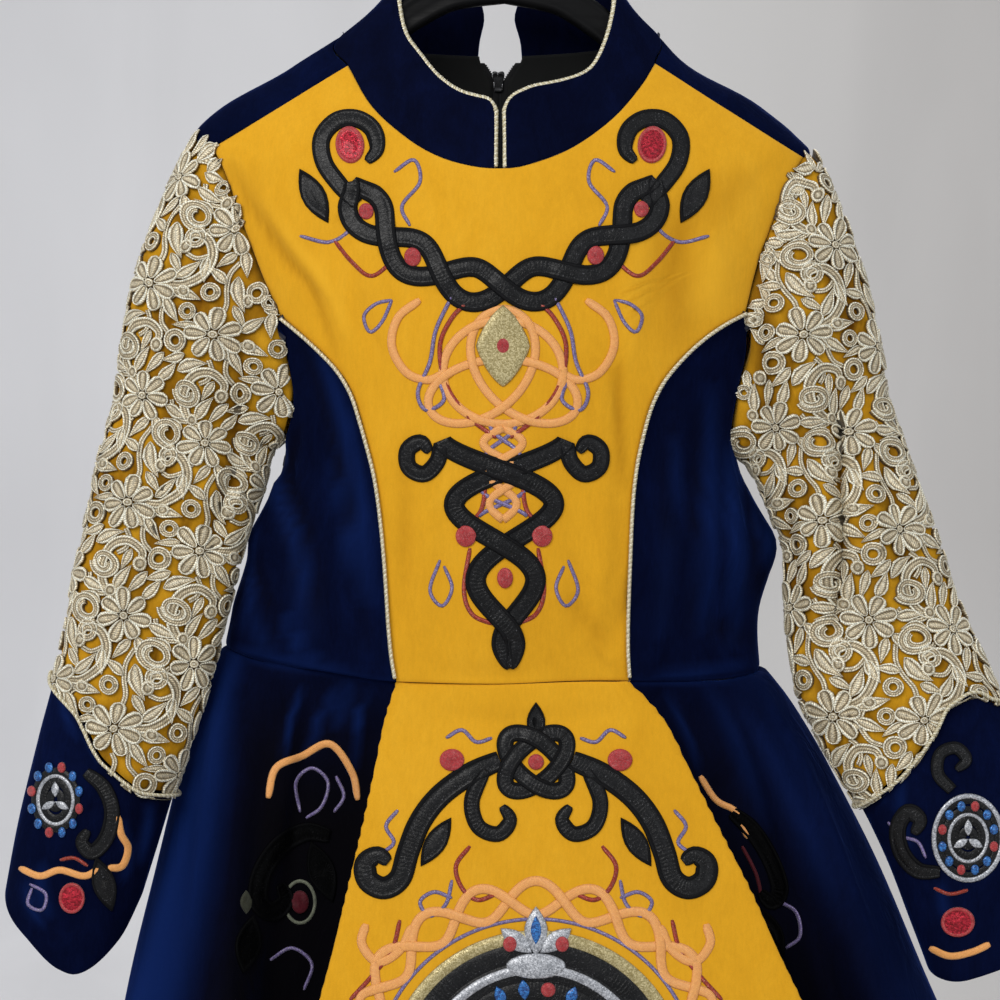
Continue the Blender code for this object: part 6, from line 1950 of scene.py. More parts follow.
class Relief:
    """Gathers closed raised shapes, drawn flat and carried onto a surface."""

    def __init__(self, at, along=False):
        self.at = at            # (x, y) -> (point, normal) or None
        self.along = along      # stitches run with the outlines
        self.verts, self.faces, self.uv, self.slots, self.crown = [], [], [], [], []
        self.miss = 0

    def add(self, pts, faces, uv, slot=0):
        """pts: (x, y, height, crown).  Dropped whole if any point is off the cloth."""
        out = []
        for x, y, h in (p[:3] for p in pts):
            r = self.at(x, y)
            if r is None:
                self.miss += 1
                return False
            out.append(r[0] + r[1] * h)
        base = len(self.verts)
        self.verts += out
        self.faces += [[base + k for k in f] for f in faces]
        self.uv += uv
        self.crown += [(*p, 0.7)[3] for p in pts]
        self.slots += [slot] * len(faces)
        return True

    def ribbon(self, line, half, profile, ends=True, closed=False, slot=0, low=0.0, taper=None):
        """A band along a line of (x, y).  profile: (across -1 to 1, height, crown)."""
        line = np.asarray(line, float)
        n = len(line)
        if closed:
            tan = np.roll(line, -1, 0) - np.roll(line, 1, 0)
        else:
            tan = np.gradient(line, axis=0)
        tan /= np.maximum(np.linalg.norm(tan, axis=1, keepdims=True), 1e-9)
        side = np.stack([-tan[:, 1], tan[:, 0]], 1)
        half = np.broadcast_to(np.asarray(half, float), (n,))
        run = np.concatenate([[0], np.cumsum(np.linalg.norm(np.diff(line, axis=0), axis=1))])
        prof = [(*e, 0.7)[:3] for e in profile]
        prof += [(profile[-1][0] * 0.92, low, 0.0), (profile[0][0] * 0.92, low, 0.0)]
        m = len(prof)
        pts, uv = [], []
        for k in range(n):
            scale = 1.0 if taper is None else taper[k]
            for v, h, crown in prof:
                x, y = line[k] + side[k] * (v * half[k])
                pts.append((x, y, low + (h - low) * scale, crown))
                uv.append((run[k], v * half[k]))
        faces = []
        for k in range(n if closed else n - 1):
            a, b = k * m, ((k + 1) % n) * m
            for i in range(m):
                j = (i + 1) % m
                faces.append([a + i, b + i, b + j, a + j])
        if not closed and ends:
            faces.append([i for i in range(m)][::-1])
            faces.append([(n - 1) * m + i for i in range(m)])
        return self.add(pts, faces, uv, slot)

    def dome(self, outline, centre, rings, low=0.0, slot=0, axis=None):
        """A raised shape inside an outline: rings of (share of the way in, height, crown)."""
        outline = np.asarray(outline, float)
        n = len(outline)
        c = np.asarray(centre, float)
        run = np.concatenate([[0], np.cumsum(np.linalg.norm(np.diff(outline, axis=0), axis=1))])
        pts, uv = [], []
        for t, h, crown in [(0.0, low, 0.0)] + [(*e, 0.7)[:3] for e in rings]:
            for k, p in enumerate(outline):
                q = p + (c - p) * t if axis is None else p + (axis(p) - p) * t
                pts.append((q[0], q[1], h, crown))
                uv.append((run[k], np.linalg.norm(q - p)) if self.along else
                          (q[0] - c[0] + 30.0 * (slot + 1), q[1] - c[1]))
        faces = []
        for r in range(len(rings)):
            for i in range(n):
                j = (i + 1) % n
                faces.append([r * n + i, r * n + j, (r + 1) * n + j, (r + 1) * n + i])
        faces.append([len(rings) * n + i for i in range(n)])
        faces.append([i for i in range(n)][::-1])
        return self.add(pts, faces, uv, slot)

    def mesh(self, name):
        me = mesh_from(name, np.array(self.verts), self.faces, np.array(self.uv), slots=self.slots)
        bm = bmesh.new()
        bm.from_mesh(me)
        bmesh.ops.recalc_face_normals(bm, faces=bm.faces)
        bm.to_mesh(me)
        bm.free()
        # The "crown" attribute sets the lace's tone, with its painted shade in the grooves and painted highlight on the
        # crowns.
        layer = me.attributes.new("crown", "FLOAT", "POINT")
        layer.data.foreach_set("value", np.array(self.crown, float))
        return me

    def tris(self):
        return sum(len(f) - 2 for f in self.faces)


# Heights in mm above the sleeve cloth.
LIFT = 0.9
# The third number of each is its crown: low crowns get the lace's painted shade, high ones its painted highlight.
BAND = [(-1.0, 0.50, 0.15), (-0.86, 1.30, 0.95), (-0.66, 1.55, 1.0), (-0.40, 0.85, 0.10), (0.0, 1.20, 0.62),
        (0.40, 0.85, 0.10), (0.66, 1.55, 1.0), (0.86, 1.30, 0.95), (1.0, 0.50, 0.15)]
STEM = [(-1.0, 0.50, 0.15), (-0.55, 1.35, 1.0), (0.0, 0.80, 0.10), (0.55, 1.35, 1.0), (1.0, 0.50, 0.15)]


def lifted(profile, up=0.0):
    return [(e[0], e[1] + LIFT + up) + tuple(e[2:]) for e in profile]


def leaf_outline(length, width, bend=0.0, n=14, blunt=0.55):
    """From its stalk at the origin along +x."""
    out = []
    for k in range(n):
        t = 2 * math.pi * k / n
        x = 0.5 - 0.5 * math.cos(t)
        y = math.sin(t) * (math.sin(math.pi * min(max(x, 0), 1) ** blunt) * 0.5 + 0.08)
        if x <= 0.0 or x >= 1.0:
            y = 0.0
        out.append((x * length, y * width + bend * length * 4 * x * (1 - x)))
    return np.array(out)


def petal_outline(length, width, n=12):
    out = []
    for k in range(n):
        t = 2 * math.pi * k / n
        x = 0.5 - 0.5 * math.cos(t)
        y = math.sin(t) * 0.5 * (0.55 + 0.75 * x)
        out.append((x * length, y * width))
    return np.array(out)


def turned(pts, x, y, deg, flip=False):
    c, s = math.cos(math.radians(deg)), math.sin(math.radians(deg))
    p = np.array(pts, float)
    if flip:
        p[:, 1] = -p[:, 1]
    return np.stack([x + p[:, 0] * c - p[:, 1] * s, y + p[:, 0] * s + p[:, 1] * c], 1)


def lace_leaf(r, x, y, deg, length=18.0, width=7.2, bend=0.0, n=14, up=0.0):
    o = turned(leaf_outline(length, width, bend, n), x, y, deg)
    a, b = np.array([x, y]), turned([(length, 0)], x, y, deg)[0]
    mid = turned([(length / 2, bend * length)], x, y, deg)[0]

    def axis(p):
        """The nearest point of the midrib."""
        t = np.dot(p - a, b - a) / np.dot(b - a, b - a)
        t = min(max(t, 0.08), 0.92)
        q = a * (1 - t) + b * t
        return q + (mid - (a + b) / 2) * (4 * t * (1 - t))
    k = LIFT + up
    return r.dome(o, mid, [(0.04, k + 0.85, 0.7), (0.16, k + 1.50, 1.0), (0.32, k + 1.35, 0.95), (0.46, k + 0.75, 0.06),
                           (0.66, k + 1.05, 0.55), (0.95, k + 1.25, 0.80)], low=k + 0.1, axis=axis)


def lace_petal(r, x, y, deg, length, width):
    o = turned(petal_outline(length, width), x, y, deg)
    a = np.array([x, y])
    b = turned([(length, 0)], x, y, deg)[0]

    def axis(p):
        t = np.dot(p - a, b - a) / np.dot(b - a, b - a)
        t = min(max(t, 0.12), 0.84)
        return a * (1 - t) + b * t
    k = LIFT + 0.75
    return r.dome(o, (a + b) / 2, [(0.04, k + 0.90, 0.6), (0.17, k + 1.60, 1.0), (0.34, k + 1.40, 0.95),
                                   (0.50, k + 0.75, 0.06), (0.92, k + 1.30, 0.72)], low=k + 0.1, axis=axis)


def lace_daisy(r, x, y, radius=14.6, turn=0.0, petals=7):
    ok = 0
    for k in range(petals):
        wob = 1.0 + 0.07 * math.sin(2.3 * k + x)
        a = turn + 360.0 * k / petals + 3.0 * math.sin(1.7 * k + y)
        c, s = math.cos(math.radians(a)), math.sin(math.radians(a))
        ok += lace_petal(r, x + c * radius * 0.15, y + s * radius * 0.15, a, radius * 0.86 * wob, radius * 0.60)
    ring = [(x + 2.5 * math.cos(t), y + 2.5 * math.sin(t)) for t in np.linspace(0, 2 * math.pi, 11)[:-1]]
    k = LIFT + 0.75
    r.dome(ring, (x, y), [(0.06, k + 1.5, 0.3), (0.30, k + 2.0, 1.0), (0.62, k + 1.6, 0.2), (0.80, k + 2.0, 0.9)], low=k + 0.2)
    return ok


def lace_bud(r, x, y, radius=3.6, deg=0.0):
    o = turned([(radius * math.cos(t) * 1.15, radius * math.sin(t)) for t in np.linspace(0, 2 * math.pi, 12)[:-1]],
               x, y, deg)
    k = LIFT + 0.45
    return r.dome(o, (x, y), [(0.05, k + 1.0, 0.6), (0.26, k + 1.7, 1.0), (0.46, k + 1.0, 0.10), (0.80, k + 1.45, 0.75)],
                  low=k + 0.1)


def lace_ring(r, x, y, outer=6.4, hole=2.3, squash_x=1.0, deg=0.0, n=18):
    mid, half = (outer + hole) / 2, (outer - hole) / 2
    o = turned([(mid * squash_x * math.cos(t), mid * math.sin(t)) for t in np.linspace(0, 2 * math.pi, n + 1)[:-1]],
               x, y, deg)
    return r.ribbon(o, half, lifted(BAND, 0.40), closed=True)


def lace_scroll(r, x, y, points, half=2.5, bud=3.9, slot=0):
    """A C-scroll: a band that curls in to a bud."""
    line = Path([(x + a, y + b) for a, b in points], 6).p
    n = len(line)
    t = np.linspace(0, 1, n)
    w = half * (0.62 + 0.55 * np.sin(math.pi * np.clip(t * 0.9 + 0.1, 0, 1)) ** 0.8)
    ok = r.ribbon(line, w, lifted(BAND))
    end = line[-1]
    d = line[-1] - line[-3]
    lace_bud(r, end[0], end[1], bud, math.degrees(math.atan2(d[1], d[0])))
    return ok


def lace_stem(r, x, y, points, half=1.35):
    line = Path([(x + a, y + b) for a, b in points], 5).p
    return r.ribbon(line, half, lifted(STEM, -0.60))


def lace_rosette(r, x, y, size=10.5, deg=0.0, flip=False):
    """A spiral band with a hole off its middle."""
    pts = []
    for k in range(31):
        t = k / 30
        a = 2 * math.pi * (1.55 * t) + 0.4
        rad = size * (0.96 - 0.50 * t)
        pts.append((rad * math.cos(a) * 1.08 + size * 0.12 * t, rad * math.sin(a) * 0.86))
    line = turned(pts, x, y, deg, flip)
    t = np.linspace(0, 1, len(line))
    ok = r.ribbon(line, 2.30 - 0.50 * t, lifted(BAND, 0.70))
    return ok


# One repeat of the lace: two sprigs, each round its daisy (x, y in mm, y down
# the sleeve).  kind, then its own measures.
SPRIG_A = [
    ("daisy", 0, 0, 16.2, 12),
    ("scroll", [(9.5, -2), (20, -5), (28.5, -14), (29.5, -26), (23, -34.5), (14, -34), (12.5, -26.5)], 2.8, 4.1),
    ("leaf", 13.5, -7, -52, 18.0, 7.1, 0.04),
    ("leaf", 14.5, 0.5, 2, 18.0, 7.3, -0.03),
    ("leaf", 11, 5.5, 44, 17.5, 7.1, 0.03),
    ("ring", -20.5, 9.5, 7.1, 2.6),
    ("rosette", 11.5, -46.0, 9.6, 20, False),
    ("leaf", 2.5, -38.5, 62, 22.3, 8.7, 0.10),
    ("stem", [(0.5, -47), (-2.5, -38), (-1.5, -29), (1.5, -20), (1, -13)], 1.63),
    ("leaf", -2, -31, 205, 14.8, 6.3, 0.05),
    ("stem", [(-14, 4), (-15.5, 6.5), (-15, 9)], 1.50),
    ("leaf", -12.5, 15.5, 152, 15.4, 6.5, -0.05),
    ("stem", [(-26.5, 6), (-32, 1), (-33.5, -8), (-30, -15), (-25.5, -18.5)], 1.63),
    ("bud", -24.0, -19.5, 3.8, 30),
    ("leaf", -33.5, -7, 232, 14.8, 6.3, -0.04),
    ("stem", [(2, 15), (5, 20), (4.5, 26), (0.5, 30)], 1.55),
]
SPRIG_B = [
    ("daisy", 0, 0, 15.8, 0),
    ("scroll", [(-5, -8.5), (-14.5, -14), (-19.5, -25), (-17, -37), (-8, -43), (1.5, -39), (2.0, -31.5)], 2.8, 4.1),
    ("leaf", -8.5, -13.5, -68, 17.5, 7.1, -0.05),
    ("leaf", 7.5, -11.5, -58, 16.4, 6.9, 0.05),
    ("leaf", 14.5, 2.0, 12, 18.0, 7.3, 0.04),
    ("leaf", 9.5, 10.5, 62, 15.9, 6.7, -0.04),
    ("rosette", 27.5, -9.0, 8.6, 200, True),
    ("leaf", 18.0, -20.0, -28, 19.6, 8.1, -0.08),
    ("stem", [(17.5, -2), (20, 4), (26, 8.5), (33, 8)], 1.63),
    ("bud", 34.5, 6.0, 3.6, 80),
    ("ring", -19.5, 12.5, 6.7, 2.5),
    ("leaf", -15.0, -4.5, 196, 15.4, 6.7, 0.05),
    ("stem", [(-13.5, 5), (-15.5, 8), (-15.5, 11)], 1.50),
    ("stem", [(-4, 14), (-8, 20), (-14.5, 24), (-21, 23)], 1.55),
    ("leaf", -8, 21, 78, 15.9, 6.7, 0.05),
]
FILL = [
    ("ring", 12.6, 105.5, 5.8, 2.1),
    ("ring", 3.3, 120.1, 5.3, 1.9),
    ("leaf", 19.3, 36.5, 120, 18.0, 6.4, 0.0),
    ("leaf", 18.6, 76.8, 120, 16.0, 6.2, 0.0),
    ("leaf", -18.1, 89.8, 45, 15.0, 6.0, 0.0),
    ("leaf", 7.9, 26.0, 105, 14.0, 5.4, 0.0),
    ("leaf", 34.3, 15.9, 165, 15.0, 5.0, 0.0),
]
# Pixels along each armhole seam: leaves reach across it.
SEAM = {-1: [(215, 150), (223, 169), (229, 188), (236, 207), (243, 226), (251, 245), (259, 264), (267, 283), (275, 303)],
        1: [(798, 166), (788, 184), (781, 202), (775, 220), (769, 239), (762, 258), (757, 277), (752, 297), (749, 318),
            (748, 341), (743, 366), (739, 391)]}


def lace_seam(r, cl, side):
    """Leaves and buds along the armhole, their tips over the bodice."""
    edge = [cl.flat_of_pixel(x, y) for x, y in SEAM[side]]
    inner = [cl.flat_of_pixel(x + side * 15, y + 4) for x, y in SEAM[side]]
    for k, (e, q) in enumerate(zip(edge, inner)):
        if e is None or q is None:
            continue
        d = e - q
        far = float(np.hypot(*d))
        if far < 3.0 or far > 30.0:
            continue
        if far > 9.5:
            q, d, far = e - d * (9.5 / far), d * (9.5 / far), 9.5
        deg = math.degrees(math.atan2(d[1], d[0]))
        down = -side if side < 0 else 1
        if k % 3 == 2:
            lace_ring(r, *(q + d * 0.62), 4.6, 1.7)
            lace_leaf(r, *(q + d * 0.2), deg + 48 * down, far + 3.0, 5.4, 0.06, up=-0.45)
        else:
            lace_leaf(r, *q, deg - (30 if k % 2 else 12) * down, far + 4.2, 6.6, -0.05, up=-0.40)
            lace_leaf(r, *(q - d * 0.15), deg + 40 * down, far + 3.4, 6.0, 0.06, up=-0.45)


CELL_A = np.array([45.0, 18.6])           # to the next sprig across
CELL_B = np.array([-23.4, 110.4])         # to the next repeat down
OFFSET_B = np.array([-33.0, 46.2])        # second sprig in the repeat


def lace_sprig(r, plan, x, y, sx=1.0):
    done = 0
    for item in plan:
        kind, v = item[0], item[1:]
        if kind in ("scroll", "stem"):
            pts = [(a * sx, b) for a, b in v[0]]
            if kind == "scroll":
                done += bool(lace_scroll(r, x, y, pts, v[1], v[2]))
            else:
                done += bool(lace_stem(r, x, y, pts, v[1]))
            continue
        a, b = x + v[0] * sx, y + v[1]
        turn = (lambda d: d if sx > 0 else 180.0 - d)
        if kind == "daisy":
            done += bool(lace_daisy(r, a, b, v[2], turn(v[3])))
        elif kind == "leaf":
            done += bool(lace_leaf(r, a, b, turn(v[2]), v[3], v[4], v[5] * sx, up=-0.5 if plan is FILL else 0.15))
        elif kind == "ring":
            done += bool(lace_ring(r, a, b, v[2], v[3]))
        elif kind == "rosette":
            done += bool(lace_rosette(r, a, b, v[2], turn(v[3]), v[4] if sx > 0 else not v[4]))
        elif kind == "bud":
            done += bool(lace_bud(r, a, b, v[2], turn(v[3])))
    return done


CLOTHS = {}
LACES = {}
for side, tag in ((-1, "left"), (1, "right")):
    cl = Cloth(side)
    CLOTHS[side] = cl
    rel = Relief(cl.at, along=True)
    start = cl.flat_of_pixel(*((213, 335) if side < 0 else (803, 335)))
    sx = 1.0
    lo, hi = cl.fq.min(0), cl.fq.max(0)
    for i in range(-8, 9):
        for j in range(-5, 6):
            base = start + CELL_A * i + CELL_B * j
            for plan, off in ((SPRIG_A, np.zeros(2)), (SPRIG_B, OFFSET_B), (FILL, np.zeros(2))):
                x, y = base + off
                if lo[0] - 50 < x < hi[0] + 50 and lo[1] - 50 < y < hi[1] + 50:
                    lace_sprig(rel, plan, x, y, sx)
    lace_seam(rel, cl, side)
    ob = new_object("lace_" + tag + "_guipure", rel.mesh("lace_" + tag), LACE_MAT)
    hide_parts("lace_" + tag)
    LACES[side] = (ob, rel)
    print("LACE", tag, "tris", rel.tris(), "missed", rel.miss, "flat", lo, hi)

# ------------------------------------------------------------------ artwork
# A general knotwork design of the photo's colours and scale, drawn in pixels
# of the view and carried onto the finished cloth.

def crossings(lines, closed):
    """Where the lines cross: (line, place, line, place), place in points."""
    out = []
    for i in range(len(lines)):
        for j in range(i, len(lines)):
            a, b = lines[i], lines[j]
            if closed[i]:
                a = np.vstack([a, a[:1]])
            if closed[j]:
                b = np.vstack([b, b[:1]])
            da, db = np.diff(a, axis=0), np.diff(b, axis=0)
            for k in range(len(da)):
                den = da[k, 0] * db[:, 1] - da[k, 1] * db[:, 0]
                w = b[:-1] - a[k]
                with np.errstate(divide="ignore", invalid="ignore"):
                    s = (w[:, 0] * db[:, 1] - w[:, 1] * db[:, 0]) / den
                    t = (w[:, 0] * da[k, 1] - w[:, 1] * da[k, 0]) / den
                hit = np.nonzero((s >= 0) & (s < 1) & (t >= 0) & (t < 1) & (np.abs(den) > 1e-9))[0]
                for m in hit:
                    if i == j:
                        gap = abs(k - m)
                        if m <= k or gap < 3 or (closed[i] and gap > len(da) - 3):
                            continue
                    out.append((i, k + s[m], j, m + t[m]))
    return out


def woven_lifts(lines, closed, height, reach):
    """Heights that carry each strand over and under its neighbours in turn."""
    cross = crossings(lines, closed)
    on = {i: [] for i in range(len(lines))}
    for c, (i, s, j, t) in enumerate(cross):
        on[i].append((s, c, 0))
        on[j].append((t, c, 1))
    over = {}
    for start in range(len(lines)):
        queue = [start]
        while queue:
            i = queue.pop(0)
            seq = sorted(on[i])
            if not seq:
                continue
            known = next((k for k, (s, c, w) in enumerate(seq) if c in over), None)
            if known is None:
                state0 = True
            else:
                s, c, w = seq[known]
                mine = over[c] == w
                state0 = mine if known % 2 == 0 else not mine
            fresh = False
            for k, (s, c, w) in enumerate(seq):
                if c in over:
                    continue
                top = state0 if k % 2 == 0 else not state0
                over[c] = w if top else 1 - w
                fresh = True
                other = cross[c][2] if w == 0 else cross[c][0]
                if other != i:
                    queue.append(other)
            if not fresh:
                continue
    lifts = []
    for i, line in enumerate(lines):
        run = np.concatenate([[0], np.cumsum(np.linalg.norm(np.diff(line, axis=0), axis=1))])
        total = run[-1] + (np.linalg.norm(line[0] - line[-1]) if closed[i] else 0.0)
        lift = np.zeros(len(line))
        for s, c, w in on[i]:
            if over[c] != w:
                continue
            at = np.interp(s, np.arange(len(line)), run) if s <= len(line) - 1 else run[-1]
            d = np.abs(run - at)
            if closed[i]:
                d = np.minimum(d, total - d)
            lift = np.maximum(lift, height * np.clip(1.35 - (d / reach) ** 2, 0.0, 1.0))
        lifts.append(lift)
    return lifts


# across -1 to 1, height mm, material slot of the facet that follows
APPLIQUE = [(-1.0, 0.35, 1), (-0.93, 1.02, 1), (-0.80, 1.22, 1), (-0.66, 0.98, 0), (-0.58, 0.72, 0), (-0.36, 1.02, 0),
            (0.0, 1.16, 0), (0.36, 1.02, 0), (0.58, 0.72, 1), (0.66, 0.98, 1), (0.80, 1.22, 1), (0.93, 1.02, 1),
            (1.0, 0.35, 1)]
THREAD = [(-1.0, 0.22, 0), (-0.72, 0.72, 0), (-0.3, 0.98, 0), (0.3, 0.98, 0), (0.72, 0.72, 0), (1.0, 0.22, 0)]
LINE = [(-1.0, 0.18, 0), (-0.55, 0.54, 0), (0.0, 0.66, 0), (0.55, 0.54, 0), (1.0, 0.18, 0)]


# For the pleats beside the panel, where hardly any light comes.
PATENT_SHADE = patent("black_patent_shade", (0.0016, 0.0016, 0.0018), 0.12)
BLACK_SHADE = satin("black_satin_shade", (0.0016, 0.0016, 0.0020), 0.6, 0.0, 0.7, 0.0, spec=0.05)
RED_SHADE = satin("red_satin_shade", (0.085, 0.006, 0.012), 0.5, 0.1, 0.7, 0.1, spec=0.2)
SILVER_SHADE = satin("silver_thread_shade", (0.17, 0.18, 0.13), 0.5, 0.2, 0.7, 0.1, spec=0.2)
GOLD_SHADE = satin("gold_thread_shade", (0.050, 0.052, 0.034), 0.6, 0.1, 0.7, 0.1, spec=0.2)
SHADED = {"black": (PATENT_SHADE, BLACK_SHADE), "red": (RED_SHADE,), "gem": (RED_SHADE, RED_SHADE),
          "silver": (SILVER_SHADE,), "gold": (GOLD_SHADE,)}


class Art(Relief):
    """Raised shapes drawn in the view's pixels; heights in mm."""

    def __init__(self, skin, axis=None):
        Relief.__init__(self, skin.at)

    def strip(self, line, half, profile, closed=False, lift=None, low=0.02, shift=0):
        line = np.asarray(line, float)
        n = len(line)
        tan = (np.roll(line, -1, 0) - np.roll(line, 1, 0)) if closed else np.gradient(line, axis=0)
        tan /= np.maximum(np.linalg.norm(tan, axis=1, keepdims=True), 1e-9)
        side = np.stack([-tan[:, 1], tan[:, 0]], 1)
        half = np.broadcast_to(np.asarray(half, float), (n,))
        lift = np.zeros(n) if lift is None else lift
        run = np.concatenate([[0], np.cumsum(np.linalg.norm(np.diff(line, axis=0), axis=1))])
        prof = [(v, h, s) for v, h, s in profile]
        prof += [(0.90, None, prof[-1][2]), (-0.90, None, prof[0][2])]
        m = len(prof)
        pts, uv = [], []
        for k in range(n):
            for v, h, _s in prof:
                x, y = line[k] + side[k] * (v * half[k])
                pts.append((x, y, low if h is None else h + lift[k]))
                uv.append((run[k] * 0.6, v * half[k] * 0.6))
        faces, slots = [], []
        for k in range(n if closed else n - 1):
            a, b = k * m, ((k + 1) % n) * m
            for i in range(m):
                j = (i + 1) % m
                faces.append([a + i, b + i, b + j, a + j])
                slots.append(prof[i][2] + shift)
        if not closed:
            faces.append(list(range(m))[::-1])
            faces.append([(n - 1) * m + i for i in range(m)])
            slots += [prof[0][2] + shift] * 2
        base = len(self.faces)
        if not self.add(pts, faces, uv, 0):
            return False
        self.slots[base:] = slots
        return True

    def blob(self, outline, centre, rings, slots=None, low=0.02):
        """A raised patch: rings of (share of the way in, height), each with a slot."""
        outline = np.asarray(outline, float)
        n = len(outline)
        c = np.asarray(centre, float)
        pts, uv = [], []
        run = np.concatenate([[0], np.cumsum(np.linalg.norm(np.diff(outline, axis=0), axis=1))])
        for t, h in [(0.0, low)] + list(rings):
            for k, p in enumerate(outline):
                q = p + (c - p) * t
                pts.append((q[0], q[1], h))
                uv.append((run[k] * 0.6, t * 10.0))
        slots = slots or [0] * (len(rings) + 1)
        faces, sl = [], []
        for r in range(len(rings)):
            for i in range(n):
                j = (i + 1) % n
                faces.append([r * n + i, r * n + j, (r + 1) * n + j, (r + 1) * n + i])
                sl.append(slots[r])
        faces.append([len(rings) * n + i for i in range(n)])
        sl.append(slots[-1])
        faces.append(list(range(n))[::-1])
        sl.append(slots[0])
        base = len(self.faces)
        if not self.add(pts, faces, uv, 0):
            return False
        self.slots[base:] = sl
        return True

    def weave(self, lines, closed, half, profile, height=0.85, reach=None, low=0.02, slot=0):
        lifts = woven_lifts(lines, closed, height, reach or 13.0)
        for k, (line, lift) in enumerate(zip(lines, lifts)):
            h = half[k] if isinstance(half, (list, tuple)) else half
            self.strip(line, h, profile, closed[k], lift, low, slot)


def dense(points, step=3.0, closed=False):
    """Even points along a smooth line in the view."""
    pts = [tuple(p) for p in points]
    if closed:
        m = len(pts)
        p = Path(pts[-2:] + pts + pts[:3], 14).p[2 * 14:(m + 2) * 14 + 1]
    else:
        p = Path(pts, 14).p
    d = np.concatenate([[0], np.cumsum(np.linalg.norm(np.diff(p, axis=0), axis=1))])
    n = max(4, int(round(d[-1] / step)))
    t = np.linspace(0, d[-1], n + 1)
    if closed:
        t = t[:-1]
    return np.stack([np.interp(t, d, p[:, 0]), np.interp(t, d, p[:, 1])], 1)


def oval(cx, cy, rx, ry, n=28, deg=0.0, start=0.0):
    t = np.linspace(0, 2 * math.pi, n + 1)[:-1] + start
    c, s = math.cos(math.radians(deg)), math.sin(math.radians(deg))
    x, y = rx * np.cos(t), ry * np.sin(t)
    return np.stack([cx + x * c - y * s, cy + x * s + y * c], 1)


def mirror(points, axis_x, lean=0.0):
    """The same points on the other side of an upright line."""
    return [(2 * axis_x - x + lean, y) for x, y in points]


def coil_in(cx, cy, r0, r1, a0, turns, n=30, squash=1.0):
    """A spiral from radius r0 at angle a0 (degrees) in to r1."""
    out = []
    for k in range(n):
        t = k / (n - 1)
        r = r0 + (r1 - r0) * t ** 0.85
        a = math.radians(a0 + 360.0 * turns * t)
        out.append((cx + r * math.cos(a) * squash, cy + r * math.sin(a)))
    return out


def band_half(n, width, start=0.45, end=0.45, ramp=0.12):
    """Half widths along a band that narrows to its ends."""
    t = np.linspace(0, 1, n)
    a = np.clip(t / ramp, 0, 1) ** 0.5 * (1 - start) + start
    b = np.clip((1 - t) / ramp, 0, 1) ** 0.5 * (1 - end) + end
    return width * np.minimum(a, b)


def leaf_px(cx, cy, length, width, deg, n=22):
    """A pointed leaf round its middle."""
    out = []
    for k in range(n):
        t = 2 * math.pi * k / n
        x = -math.cos(t)
        y = math.sin(t) * (1 - abs(x) ** 1.7) ** 0.5 if abs(x) < 1 else 0.0
        out.append((x * length / 2, abs(y) * math.copysign(1, math.sin(t)) * width / 2))
    c, s = math.cos(math.radians(deg)), math.sin(math.radians(deg))
    return np.array([(cx + x * c - y * s, cy + x * s + y * c) for x, y in out])


class Set:
    """The artwork of one piece of cloth, kept by kind of thread."""

    def __init__(self, skin):
        self.skin = skin
        self.black, self.peach, self.purple = Art(skin), Art(skin), Art(skin)
        self.red, self.gem, self.gold = Art(skin), Art(skin), Art(skin)
        self.silver, self.blue = Art(skin), Art(skin)

    def applique(self, line, half, **kw):
        self.black.strip(line, half, APPLIQUE, **kw)

    def black_patch(self, outline, centre):
        self.black.blob(outline, centre, [(0.03, 0.98), (0.09, 1.22), (0.17, 1.0), (0.22, 0.74), (0.45, 1.10),
                                          (0.80, 1.22)], [1, 1, 1, 1, 0, 0, 0])

    def big_gem(self, cx, cy, rx, ry, deg=0.0):
        o = oval(cx, cy, rx, ry, 34, deg)
        self.gem.blob(o, (cx, cy), [(0.02, 1.0), (0.08, 1.45), (0.17, 1.35), (0.22, 0.95), (0.45, 1.65), (0.75, 2.05),
                                    (0.92, 2.15)], [1, 1, 1, 1, 0, 0, 0, 0])

    def small_gem(self, cx, cy, r, squash=1.0):
        o = oval(cx, cy, r, r * squash, 24)
        self.gem.blob(o, (cx, cy), [(0.03, 0.95), (0.14, 1.35), (0.45, 1.6), (0.85, 1.7)], [1, 1, 1, 1, 1])

    def thread(self, which, points, half, lift=0.0, closed=False, step=3.0, raw=False):
        line = np.asarray(points, float) if raw else dense(points, step, closed)
        art = getattr(self, which)
        if which in ("purple", "red"):
            half = half * 0.88
        h = half if closed else band_half(len(line), half, 0.6, 0.6, 0.06)
        art.strip(line, h, THREAD if half > 3 else LINE, closed, np.full(len(line), lift))

    def build(self, name, shaded=False):
        made = []
        for key, mats in (("black", (PATENT, BLACK_SATIN)), ("peach", (PEACH,)), ("purple", (PURPLE,)),
                          ("red", (RED_THREAD,)), ("gem", (RED_FOIL, RED_SATIN)), ("gold", (GOLD,)),
                          ("silver", (SILVER,)), ("blue", (BLUE_FOIL,))):
            art = getattr(self, key)
            if not art.faces:
                continue
            if shaded:
                mats = SHADED.get(key, mats)
            ob = new_object(name + "_" + key, art.mesh(name + "_" + key), None)
            for m in mats:
                ob.data.materials.append(m)
            made.append((ob, art))
        return made


def strands_along(line, amplitude, waves, phase=0.0, count=2):
    """Strands that wind about a line of points: amplitude may vary along it."""
    line = np.asarray(line, float)
    tan = np.gradient(line, axis=0)
    tan /= np.linalg.norm(tan, axis=1, keepdims=True)
    side = np.stack([-tan[:, 1], tan[:, 0]], 1)
    run = np.concatenate([[0], np.cumsum(np.linalg.norm(np.diff(line, axis=0), axis=1))])
    t = run / run[-1]
    amp = np.broadcast_to(np.asarray(amplitude(t) if callable(amplitude) else amplitude, float), t.shape)
    out = []
    for k in range(count):
        ph = 2 * math.pi * k / count + phase
        w = waves(t) if callable(waves) else waves * t
        out.append(line + side * (amp * np.sin(2 * math.pi * w + ph))[:, None])
    return out


